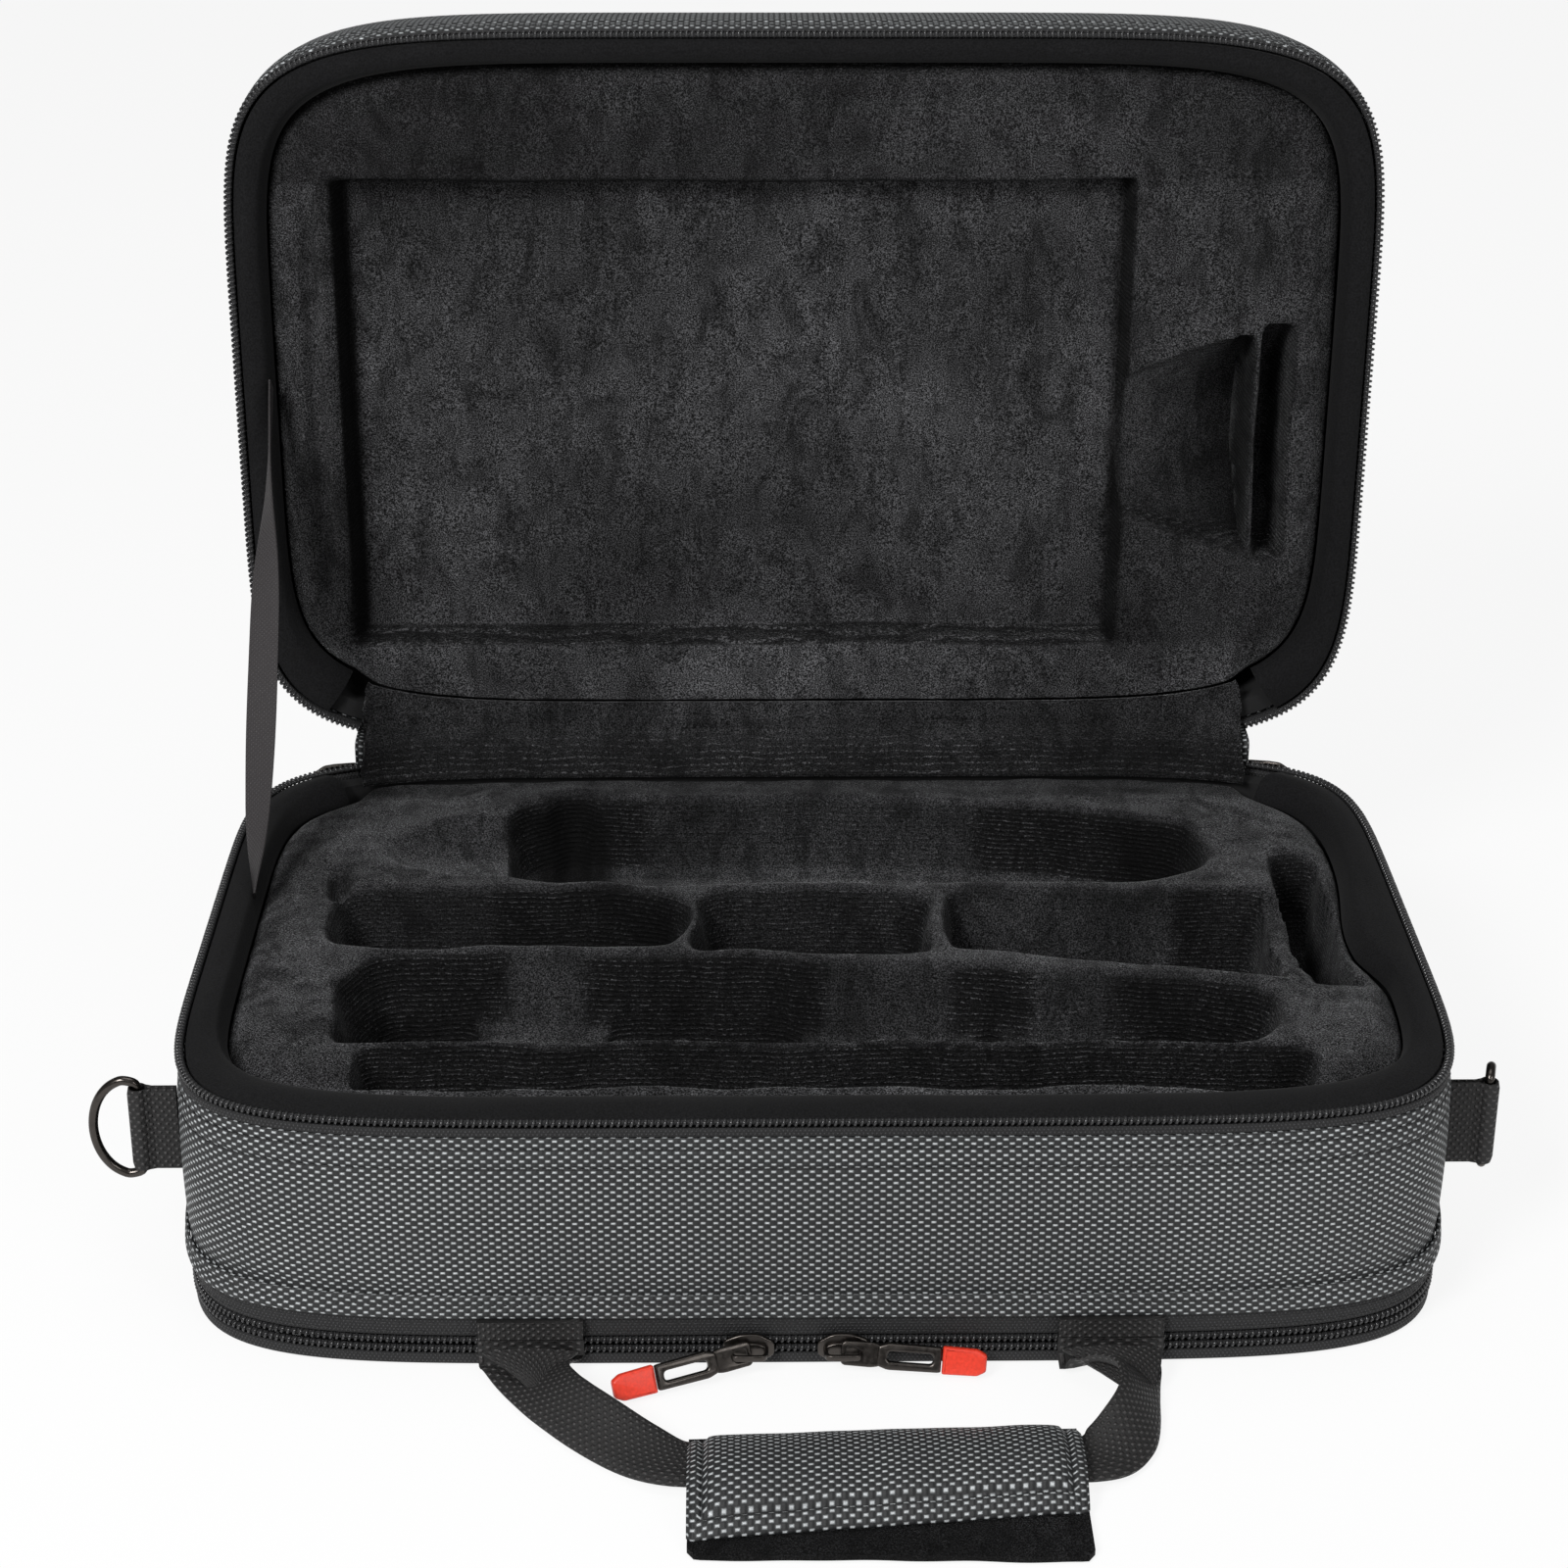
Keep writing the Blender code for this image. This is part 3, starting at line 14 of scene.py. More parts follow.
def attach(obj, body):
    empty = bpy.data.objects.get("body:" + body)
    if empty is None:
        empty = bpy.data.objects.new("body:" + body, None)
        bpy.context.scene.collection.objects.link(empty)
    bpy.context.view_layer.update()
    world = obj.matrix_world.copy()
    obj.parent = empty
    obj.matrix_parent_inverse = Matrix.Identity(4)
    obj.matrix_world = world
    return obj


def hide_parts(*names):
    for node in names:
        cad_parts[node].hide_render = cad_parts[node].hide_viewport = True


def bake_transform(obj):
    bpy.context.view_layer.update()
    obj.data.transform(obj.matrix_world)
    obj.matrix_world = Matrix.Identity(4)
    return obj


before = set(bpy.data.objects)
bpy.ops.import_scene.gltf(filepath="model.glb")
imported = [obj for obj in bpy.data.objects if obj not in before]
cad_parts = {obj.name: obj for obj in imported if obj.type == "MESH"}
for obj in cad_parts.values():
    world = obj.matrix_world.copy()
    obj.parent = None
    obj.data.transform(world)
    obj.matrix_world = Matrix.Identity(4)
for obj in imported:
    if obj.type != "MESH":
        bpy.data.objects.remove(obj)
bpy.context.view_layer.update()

bl_info = {
    "name": "Clarinet case",
    "version": (1, 0, 0),
    "blender": (4, 5, 0),
    "location": "View3D > Sidebar > Clarinet case",
    "description": "Builds a soft zipped clarinet case with moulded plush wells round its frame",
    "category": "Add Mesh",
}

# Sizes of the frame that the pieces repeat
CASE_WIDTH = 0.370
CASE_DEPTH = 0.244
RIM_HEIGHT = 0.081
LID_TOP = 0.126
SHELL_BOTTOM = 0.017
SHELL_TOP = 0.075
LID_SHELL_BOTTOM = 0.087
PLAN_POWER = 6.5
HINGE_LENGTH = 0.304
HINGE = Vector((0, 0.1232, 0.0812))
INSERT_TOP = 0.077
INSERT_WIDTH = 0.343
INSERT_DEPTH = 0.210
INSERT_OFFSET = 0.004
LID_FACE = 0.085
LID_INSERT_WIDTH = 0.344
LID_INSERT_DEPTH = 0.2155
LID_INSERT_OFFSET = -0.002
FRONT_WALL = -0.122
HANDLE_POINT = Vector((0.001, -0.1229, 0.0103))
FLOOR_LIFT = 0.0004
RING_Y = -0.075
RING_Z = 0.052
RING_BAR_X = 0.19527


def case_sizes():
    """The sizes that the panel sets."""
    return bpy.context.scene.clarinet_case_sizes


# Spacing of the grid lines along the cloth and along the finer paths
CLOTH_STEP = 0.0026
PATH_STEP = 0.001

# Dents of the sewn lines: height, depth and width of each; a negative depth swells
BASE_GROOVES = ((0.0713, 0.00035, 0.0006), (0.0653, 0.00035, 0.0006), (0.0258, 0.00045, 0.0012),
                (0.0683, -0.00018, 0.0018))
LID_GROOVES = ((0.0907, 0.00035, 0.0006), (0.0967, 0.00035, 0.0006))

# Where the stitches lie: inset from the case's plan and height
BASE_STITCHES = ((0.00085, 0.0713), (0.00055, 0.0653), (-0.0004, 0.0214), (0.00095, 0.0116),
                 (0.00095, 0.0143))
LID_STITCHES = ((0.00075, 0.0907), (0.00085, 0.0967))

# Patterns by how often they repeat in a metre, with the real size of one
PILE_FLECKS = 2200.0  # tips of the pile: 0.45 mm, coarser than the 0.05 mm fibres so that they show
PILE_DASHES = (800, 800, 2200)  # breaks in the rows of a stretched pile: 1.3 mm long
PILE_BLOTCHES = 62.0  # crushed patches: 16 mm
PILE_STREAKS = 75.0  # strokes of a hand: 13 mm
PILE_CLOUDS = 13.0  # slow drift of how the pile lies: 77 mm
ROW_WANDER = 55.0  # bends of the rows: 18 mm
YARN_FIBRES = (700, 5200, 1)  # fibres of the shell's yarn: 1.4 mm long, 0.2 mm wide
YARN_WEAR = 45.0  # worn patches of the shell: 22 mm
NARROW_GRAIN = 2600.0  # filaments of tape and webbing: 0.4 mm, coarser than the real ones so that they show
KNIT_LOOPS = 1900.0  # loops of the tricot: 0.5 mm
KNIT_CLOUDS = 40.0  # slow change of its nap: 25 mm


def linear(code):
    """Turn an sRGB hex colour into linear red, green and blue."""
    parts = [int(code[i:i + 2], 16) / 255 for i in (1, 3, 5)]
    return [part / 12.92 if part <= 0.04045 else ((part + 0.055) / 1.055) ** 2.4 for part in parts]


def rgba(colour):
    """A colour with full opacity."""
    return (*colour, 1.0)


class CaseSizes(bpy.types.PropertyGroup):
    """Sizes of the finish."""

    weave_period: bpy.props.FloatProperty(
        name="Weave period", description="Distance between two light threads in a row of the shell weave",
        default=0.00356, min=0.001, max=0.01, unit="LENGTH")
    weave_row: bpy.props.FloatProperty(
        name="Weave row", description="Height of one row of the shell weave",
        default=0.00126, min=0.0004, max=0.005, unit="LENGTH")
    coil_pitch: bpy.props.FloatProperty(
        name="Coil pitch", description="Distance between two turns of the zip coils",
        default=0.0018, min=0.001, max=0.004, unit="LENGTH")
    webbing_rib: bpy.props.FloatProperty(
        name="Webbing rib", description="Distance between two ribs of the webbing",
        default=0.0014, min=0.0008, max=0.005, unit="LENGTH")
    pile_row: bpy.props.FloatProperty(
        name="Pile row", description="Distance between the rows that show where the plush is pulled thin",
        default=0.0015, min=0.0005, max=0.004, unit="LENGTH")
    stitch_pitch: bpy.props.FloatProperty(
        name="Stitch pitch", description="Distance from one stitch to the next in the seams",
        default=0.0034, min=0.002, max=0.008, unit="LENGTH")
    tuft_wave: bpy.props.FloatProperty(
        name="Plush unevenness", description="How far the plush rises and dips between its seams",
        default=0.00035, min=0.0, max=0.001, unit="LENGTH")


SWATCH = {"subtype": "COLOR", "size": 3, "min": 0.0, "max": 1.0}


class CaseColours(bpy.types.PropertyGroup):
    """Colours of the finish."""

    weft: bpy.props.FloatVectorProperty(
        name="Light thread", description="Light thread of the shell weave",
        default=linear("#c6cacc"), **SWATCH)
    warp: bpy.props.FloatVectorProperty(
        name="Dark thread", description="Dark thread of the shell weave",
        default=linear("#1d1e1f"), **SWATCH)
    plush: bpy.props.FloatVectorProperty(
        name="Plush", description="Pile of the moulded inserts",
        default=linear("#242425"), **SWATCH)
    liner: bpy.props.FloatVectorProperty(
        name="Liner", description="Smooth band between zip and plush",
        default=linear("#101011"), **SWATCH)
    tape: bpy.props.FloatVectorProperty(
        name="Zip tape", description="Woven tape of the zips",
        default=linear("#151516"), **SWATCH)
    coil: bpy.props.FloatVectorProperty(
        name="Zip coil", description="Nylon coil of the zips",
        default=linear("#2c2c2d"), **SWATCH)
    webbing: bpy.props.FloatVectorProperty(
        name="Webbing", description="Straps and ring tabs",
        default=linear("#131212"), **SWATCH)
    metal: bpy.props.FloatVectorProperty(
        name="Metal", description="Sliders, pulls and rings",
        default=linear("#4c4845"), **SWATCH)
    tip: bpy.props.FloatVectorProperty(
        name="Pull tips", description="Moulded tips of the zip pulls",
        default=linear("#e03a24"), **SWATCH)


def add_node(tree, kind, inputs=None, **settings):
    """Add one node with its settings, and fill or link its inputs."""
    made = tree.nodes.new(kind)
    for key, value in settings.items():
        setattr(made, key, value)
    for key, value in (inputs or {}).items():
        if isinstance(value, bpy.types.Node):
            value = value.outputs[0]
        if isinstance(value, bpy.types.NodeSocket):
            tree.links.new(value, made.inputs[key])
        else:
            made.inputs[key].default_value = value
    return made


MATH = "ShaderNodeMath"
MIX = "ShaderNodeMix"
# Its sockets by number: value, from the lowest, from the highest, to the lowest, to the highest
RAMP = "ShaderNodeMapRange"
NOISE = "ShaderNodeTexNoise"
BUMP = "ShaderNodeBump"
MAPPING = "ShaderNodeMapping"
COORDINATES = "ShaderNodeTexCoord"
TINT = "ShaderNodeVectorMath"
FALL = {3: 1.0, 4: 0.0}
SMOOTH = {"interpolation_type": "SMOOTHSTEP"}
TIMES = {"operation": "MULTIPLY"}


def start_material(name, roughness, **constants):
    """A material with a Principled shader whose constants are set on its own sockets."""
    material = bpy.data.materials.new(name)
    material.use_nodes = True
    shader = material.node_tree.nodes["Principled BSDF"]
    shader.inputs["Roughness"].default_value = roughness
    for key, value in constants.items():
        shader.inputs[key.replace("_", " ")].default_value = value
    return material, material.node_tree, shader


def thread_grid(tree, period, row, source="UV"):
    """Distances from the middle of a thread crossing, along the row and across it, from 0 to 1."""
    place = add_node(tree, COORDINATES)
    parts = add_node(tree, "ShaderNodeSeparateXYZ", {0: place.outputs[source]})
    along = add_node(tree, MATH, {0: parts.outputs[0], 1: 1 / period}, **TIMES)
    up = add_node(tree, MATH, {0: parts.outputs[1], 1: 1 / row}, **TIMES)
    level = add_node(tree, MATH, {0: up}, operation="FLOOR")
    parity = add_node(tree, MATH, {0: level, 1: 2.0}, operation="FLOORED_MODULO")
    shifted = add_node(tree, MATH, {0: parity, 1: 0.5, 2: along}, operation="MULTIPLY_ADD")
    results = []
    for value in (shifted, up):
        part = add_node(tree, MATH, {0: value}, operation="FRACT")
        middle = add_node(tree, MATH, {0: part, 1: 0.5}, operation="SUBTRACT")
        size = add_node(tree, MATH, {0: middle}, operation="ABSOLUTE")
        results.append(add_node(tree, MATH, {0: size, 1: 2.0}, **TIMES))
    return results[0], results[1], place


def weave_material(name, colours, period, row, rough=0.5):
    """Two-tone basket weave of polyester yarn: light floats over dark yarn, each catching a highlight."""
    material, tree, shader = start_material(name, rough)
    along, across, place = thread_grid(tree, period, row)
    float_x = add_node(tree, RAMP, {0: along, 1: 0.22, 2: 0.50, **FALL}, **SMOOTH)
    float_y = add_node(tree, RAMP, {0: across, 1: 0.20, 2: 0.85, **FALL}, **SMOOTH)
    mask = add_node(tree, MATH, {0: float_x, 1: float_y}, **TIMES)
    bend = add_node(tree, MATH, {0: along, 1: along}, **TIMES)
    crown = add_node(tree, MATH, {0: bend, 1: -0.9, 2: 1.0}, operation="MULTIPLY_ADD")
    weft_height = add_node(tree, MATH, {0: mask, 1: crown}, **TIMES)
    warp_x = add_node(tree, RAMP, {0: along, 1: 1.0, 2: 0.55, **FALL}, **SMOOTH)
    warp_height = add_node(tree, MATH, {0: warp_x, 1: 0.55}, **TIMES)
    height = add_node(tree, MATH, {0: weft_height, 1: warp_height}, operation="ADD")
    fibre_place = add_node(tree, MAPPING, {0: place.outputs["UV"], "Scale": YARN_FIBRES})
    fibre = add_node(tree, NOISE, {"Vector": fibre_place, "Scale": 1.0, "Detail": 2.0})
    patch = add_node(tree, NOISE, {"Vector": place.outputs["UV"], "Scale": YARN_WEAR, "Detail": 2.0})
    tone = add_node(tree, RAMP, {0: fibre, 1: 0.3, 2: 0.7, 3: 0.62, 4: 1.1})
    wear = add_node(tree, RAMP, {0: patch, 1: 0.3, 2: 0.7, 3: 0.9, 4: 1.08})
    strength = add_node(tree, MATH, {0: mask, 1: tone}, **TIMES)
    shade = add_node(tree, MATH, {0: strength, 1: wear}, operation="MULTIPLY", use_clamp=True)
    colour = add_node(tree, MIX, {0: shade, 6: rgba(colours.warp), 7: rgba(colours.weft)}, data_type="RGBA")
    tree.links.new(colour.outputs[2], shader.inputs["Base Color"])
    gloss = add_node(tree, RAMP, {0: weft_height, 3: 0.66, 4: 0.34})
    tree.links.new(gloss.outputs[0], shader.inputs["Roughness"])
    relief = add_node(tree, MATH, {0: fibre, 1: 0.18, 2: height}, operation="MULTIPLY_ADD")
    bump = add_node(tree, BUMP, {"Height": relief, "Distance": 0.0005, "Strength": 0.85})
    tree.links.new(bump.outputs[0], shader.inputs["Normal"])
    return material


def ribbed_material(name, colour, rib, dot, rough, light=2.2, distance=0.0004):
    """Plain woven narrow fabric: rows of small crossings, painted lighter as a painted highlight, between
    darker ribs.
    """
    material, tree, shader = start_material(name, rough)
    along, across, place = thread_grid(tree, dot, rib)
    dot_x = add_node(tree, RAMP, {0: along, 1: 0.12, 2: 0.66, **FALL}, **SMOOTH)
    dot_y = add_node(tree, RAMP, {0: across, 1: 0.20, 2: 0.85, **FALL}, **SMOOTH)
    mask = add_node(tree, MATH, {0: dot_x, 1: dot_y}, **TIMES)
    grain = add_node(tree, NOISE, {"Vector": place.outputs["UV"], "Scale": NARROW_GRAIN, "Detail": 2.0})
    tone = add_node(tree, RAMP, {0: grain, 1: 0.35, 2: 0.65, 3: 0.25, 4: 1.0})
    shade = add_node(tree, MATH, {0: mask, 1: tone}, **TIMES)
    # Painted highlight: the crossings are painted lighter than the yarn.
    highlight_colour = [min(part * light, 1.0) for part in colour]
    mixed = add_node(tree, MIX, {0: shade, 6: rgba(colour), 7: rgba(highlight_colour)}, data_type="RGBA")
    tree.links.new(mixed.outputs[2], shader.inputs["Base Color"])
    gloss = add_node(tree, RAMP, {0: mask, 3: rough + 0.1, 4: rough - 0.2})
    tree.links.new(gloss.outputs[0], shader.inputs["Roughness"])
    relief = add_node(tree, MATH, {0: grain, 1: 0.3, 2: mask}, operation="MULTIPLY_ADD")
    bump = add_node(tree, BUMP, {"Height": relief, "Distance": distance, "Strength": 0.85})
    tree.links.new(bump.outputs[0], shader.inputs["Normal"])
    return material


def plush_material(colours, pile_row):
    """Short cut polyester velour over moulded foam: near black face on, each fibre tip a fleck of light, with
    a grey bloom at a slant and crushed patches where the pile leans away. Steep places are painted darker,
    partly as pile pulled thin and partly as painted shade in the wells, and a stored value paints light and
    shade over how the pile lies.
    """
    material, tree, shader = start_material(
        "plush_velour_cut_pile", 0.75, Sheen_Weight=0.22, Sheen_Roughness=0.38,
        Sheen_Tint=(0.85, 0.86, 0.88, 1.0), Specular_IOR_Level=0.12)
    place = add_node(tree, COORDINATES)
    spot = place.outputs["Object"]
    fine = add_node(tree, NOISE, {"Vector": spot, "Scale": PILE_FLECKS, "Detail": 2.0, "Roughness": 0.75})
    crushed = add_node(tree, MAPPING, {0: spot, "Scale": (1.3, 0.9, 0.7)})
    blotch = add_node(tree, NOISE, {"Vector": crushed, "Scale": PILE_BLOTCHES, "Detail": 6.0,
                                    "Roughness": 0.66, "Distortion": 1.1})
    streak_place = add_node(tree, MAPPING, {0: spot, "Scale": (3.2, 1.2, 0.8)})
    streak = add_node(tree, NOISE, {"Vector": streak_place, "Scale": PILE_STREAKS, "Detail": 4.0,
                                    "Roughness": 0.6, "Distortion": 0.8})
    cloud = add_node(tree, NOISE, {"Vector": spot, "Scale": PILE_CLOUDS, "Detail": 3.0})
    lean = add_node(tree, RAMP, {0: blotch, 1: 0.38, 2: 0.54, 3: 0.55, 4: 1.15})
    drag = add_node(tree, RAMP, {0: streak, 1: 0.32, 2: 0.44, 3: 0.62, 4: 1.03})
    drift = add_node(tree, RAMP, {0: cloud, 1: 0.35, 2: 0.65, 3: 0.6, 4: 1.4})
    fleck = add_node(tree, RAMP, {0: fine, 1: 0.44, 2: 0.68, 3: 0.12, 4: 4.4})
    stretch = add_node(tree, "ShaderNodeAttribute", attribute_name="stretch")
    parts = add_node(tree, "ShaderNodeSeparateXYZ", {0: spot})
    wander = add_node(tree, NOISE, {"Vector": spot, "Scale": ROW_WANDER, "Detail": 2.0})
    level = add_node(tree, MATH, {0: parts.outputs[2], 1: 2 * math.pi / pile_row}, **TIMES)
    bent = add_node(tree, MATH, {0: wander, 1: 12.0, 2: level}, operation="MULTIPLY_ADD")
    rows = add_node(tree, MATH, {0: bent}, operation="SINE")
    dash_place = add_node(tree, MAPPING, {0: spot, "Scale": PILE_DASHES})
    dash = add_node(tree, NOISE, {"Vector": dash_place, "Scale": 1.0, "Detail": 1.0})
    broken = add_node(tree, RAMP, {0: dash, 1: 0.42, 2: 0.60, 3: 0.15, 4: 1.6})
    ridge = add_node(tree, MATH, {0: rows, 1: stretch.outputs["Fac"]}, **TIMES)
    dashed = add_node(tree, MATH, {0: ridge, 1: broken}, **TIMES)
    above = add_node(tree, MATH, {0: dashed, 1: 0.35}, operation="SUBTRACT")
    peak = add_node(tree, MATH, {0: above, 1: 0.0}, operation="MAXIMUM")
    # Painted shade: steep places, where the stretch value is high, are darkened, partly as pile pulled thin
    # and partly as painted shade in the wells and on the recess walls.
    ground_and_wall_shade = add_node(tree, RAMP, {0: stretch.outputs["Fac"], 3: 1.0, 4: 0.40})
    total = add_node(tree, MATH, {0: peak, 1: 3.6, 2: ground_and_wall_shade}, operation="MULTIPLY_ADD")
    # Painted shade again: the steep places are darkened once more, and their sheen is dimmed with them.
    thin = add_node(tree, RAMP, {0: stretch.outputs["Fac"], 3: 1.0, 4: 0.32})
    # Painted light and shade: the stored value of how the pile lies lightens or darkens borders, patches and
    # walls, partly how the pile lies.
    lie = add_node(tree, "ShaderNodeAttribute", attribute_name="lie")
    brushed = add_node(tree, MATH, {0: lie.outputs["Fac"], 1: 1.0}, operation="ADD")
    for part in (lean, drag, drift, fleck, thin, brushed):
        total = add_node(tree, MATH, {0: total, 1: part}, **TIMES)
    colour = add_node(tree, TINT, {0: tuple(colours.plush), "Scale": total}, operation="SCALE")
    tree.links.new(colour.outputs[0], shader.inputs["Base Color"])
    # The sheen weight carries the same painted light and shade as the colour.
    bloom = add_node(tree, MATH, {0: lean, 1: fleck}, **TIMES)
    faded = add_node(tree, MATH, {0: bloom, 1: thin}, **TIMES)
    turned = add_node(tree, MATH, {0: faded, 1: brushed}, **TIMES)
    sheen = add_node(tree, MATH, {0: turned, 1: 0.12}, **TIMES)
    tree.links.new(sheen.outputs[0], shader.inputs["Sheen Weight"])
    relief = add_node(tree, MATH, {0: dashed, 1: 0.5, 2: fine}, operation="MULTIPLY_ADD")
    bump = add_node(tree, BUMP, {"Height": relief, "Distance": 0.0005, "Strength": 0.8})
    tree.links.new(bump.outputs[0], shader.inputs["Normal"])
    return material


def liner_material(colours):
    """Brushed tricot knit over thin foam: smooth, matt and evenly black."""
    material, tree, shader = start_material("liner_tricot_brushed", 0.9, Sheen_Weight=0.03,
                                            Sheen_Roughness=0.5, Specular_IOR_Level=0.16)
    spot = add_node(tree, COORDINATES).outputs["Object"]
    knit = add_node(tree, NOISE, {"Vector": spot, "Scale": KNIT_LOOPS, "Detail": 2.0})
    cloud = add_node(tree, NOISE, {"Vector": spot, "Scale": KNIT_CLOUDS, "Detail": 2.0})
    tone = add_node(tree, RAMP, {0: knit, 1: 0.35, 2: 0.65, 3: 0.5, 4: 1.6})
    wave = add_node(tree, RAMP, {0: cloud, 1: 0.3, 2: 0.7, 3: 0.9, 4: 1.12})
    total = add_node(tree, MATH, {0: tone, 1: wave}, **TIMES)
    colour = add_node(tree, TINT, {0: tuple(colours.liner), "Scale": total}, operation="SCALE")
    tree.links.new(colour.outputs[0], shader.inputs["Base Color"])
    bump = add_node(tree, BUMP, {"Height": knit, "Distance": 0.0002, "Strength": 0.5})
    tree.links.new(bump.outputs[0], shader.inputs["Normal"])
    return material


def smooth_material(name, colour, rough, spread, scale, distance, **constants):
    """A moulded, plated or extruded surface: one colour with a fine grain in its gloss and relief."""
    material, tree, shader = start_material(name, rough, **constants)
    place = add_node(tree, COORDINATES)
    grain = add_node(tree, NOISE, {"Vector": place.outputs["Object"], "Scale": scale, "Detail": 3.0})
    tone = add_node(tree, RAMP, {0: grain, 1: 0.3, 2: 0.7, 3: 0.88, 4: 1.1})
    tinted = add_node(tree, TINT, {0: tuple(colour), "Scale": tone}, operation="SCALE")
    tree.links.new(tinted.outputs[0], shader.inputs["Base Color"])
    gloss = add_node(tree, RAMP, {0: grain, 1: 0.3, 2: 0.7, 3: rough - spread, 4: rough + spread})
    tree.links.new(gloss.outputs[0], shader.inputs["Roughness"])
    bump = add_node(tree, BUMP, {"Height": grain, "Distance": distance, "Strength": 0.4})
    tree.links.new(bump.outputs[0], shader.inputs["Normal"])
    return material


LOOKS = {}


# Narrow woven fabrics: full name, colour, rib and dot in metres, roughness, how much lighter the crossings
# are painted as a painted highlight, depth of the relief
RIBBED = {
    # Polyester tape, finely woven; its 0.5 mm threads are drawn 1 mm wide so that they show
    "tape": ("zip_tape_polyester_woven", "tape", 0.0010, 0.0012, 0.7, 6.0, 0.0003),
    # Polypropylene webbing: rows of crossings painted lighter as painted highlight dots; the panel sets its
    # rib
    "webbing": ("webbing_polypropylene_woven", "webbing", None, 0.0023, 0.6, 9.0, 0.0005),
    # Polyester twill ribbon, fine and slightly warm
    "ribbon": ("stay_ribbon_polyester_twill", "#292627", 0.0008, 0.0014, 0.7, 1.9, 0.0002),
}

# Smooth surfaces: full name, colour, roughness and its spread, grains in a metre, depth of the relief and
# other constants of the shader
PLAIN = {
    # Extruded nylon monofilament wound into a coil: glossy black wire
    "coil": ("zip_coil_nylon_extruded", "coil", 0.17, 0.05, 900.0, 0.00005, {}),
    # Bonded polyester sewing thread, twisted and matt
    "thread": ("sewing_thread_bonded_polyester", "#1a1a1b", 0.6, 0.1, 4000.0, 0.0001, {}),
    # Cast zinc plated black nickel: satin dark metal with a brown tint
    "metal": ("zinc_cast_black_nickel_plated", "metal", 0.33, 0.07, 700.0, 0.00003, {"Metallic": 1.0}),
    # Drawn steel wire with black nickel plating, smoother than the castings
    "wire": ("steel_wire_black_nickel_plated", "metal", 0.25, 0.05, 500.0, 0.00002, {"Metallic": 1.0}),
    # Soft injection-moulded PVC, satin
    "tip": ("pull_tip_pvc_moulded", "tip", 0.42, 0.05, 1200.0, 0.00004, {"IOR": 1.53}),
    # Closed-cell EVA foam board, cut and matt; near black, made darker still as painted shade where it shows
    # under the hinge flap
    "foam": ("foam_board_eva_cut", "#141415", 0.9, 0.05, 600.0, 0.0002, {}),
}


def make_look(name):
    """Make the material of a short name."""
    sizes = case_sizes()
    colours = bpy.context.scene.clarinet_case_colours
    if name == "weave":
        return weave_material("shell_polyester_basket_weave", colours, sizes.weave_period, sizes.weave_row)
    if name == "plush":
        return plush_material(colours, sizes.pile_row)
    if name == "liner":
        return liner_material(colours)
    full_name, code, *rest = RIBBED.get(name) or PLAIN[name]
    colour = linear(code) if code[0] == "#" else getattr(colours, code)
    if name in PLAIN:
        return smooth_material(full_name, colour, *rest[:-1], **rest[-1])
    rib, *rest = rest
    return ribbed_material(full_name, colour, rib or sizes.webbing_rib, *rest)


def look(name):
    """A material by its short name, made on first use."""
    if name not in LOOKS:
        LOOKS[name] = make_look(name)
    return LOOKS[name]


def ripple(x, y, length, seed):
    """A smooth uneven field between about -1 and 1, with waves of about one length."""
    draw = np.random.default_rng(seed)
    total = np.zeros(np.broadcast(x, y).shape)
    for _ in range(7):
        heading, phase = draw.uniform(0, 2 * math.pi, 2)
        size = 2 * math.pi / (length * draw.uniform(0.7, 1.6))
        total += np.sin(size * (x * math.cos(heading) + y * math.sin(heading)) + phase)
    return total / 3.5


def smoothstep(value):
    """A smooth rise from 0 to 1."""
    value = np.clip(value, 0, 1)
    return value * value * (3 - 2 * value)


def lengths_along(points):
    """Distance from the first point to each point of a path."""
    steps = np.linalg.norm(np.diff(points, axis=0), axis=1)
    return np.concatenate([[0], np.cumsum(steps)])


def resample(points, count):
    """The same path with evenly spaced points."""
    along = lengths_along(points)
    targets = np.linspace(0, along[-1], count)
    return np.stack([np.interp(targets, along, points[:, k]) for k in range(points.shape[1])], axis=1)


def spline(points, per_span, closed=False):
    """A smooth path through points, as a Catmull-Rom curve."""
    points = np.array(points, float)
    if closed:
        points = np.vstack([points[-1], points, points[:2]])
    else:
        points = np.vstack([2 * points[0] - points[1], points, 2 * points[-1] - points[-2]])
    t = np.linspace(0, 1, per_span, endpoint=False)[:, None]
    made = []
    for a, b, c, d in zip(points, points[1:], points[2:], points[3:]):
        made.append(0.5 * (2 * b + (c - a) * t + (2 * a - 5 * b + 4 * c - d) * t ** 2
                           + (3 * b - a - 3 * c + d) * t ** 3))
    if not closed:
        made.append(points[-2:-1])
    return np.vstack(made)


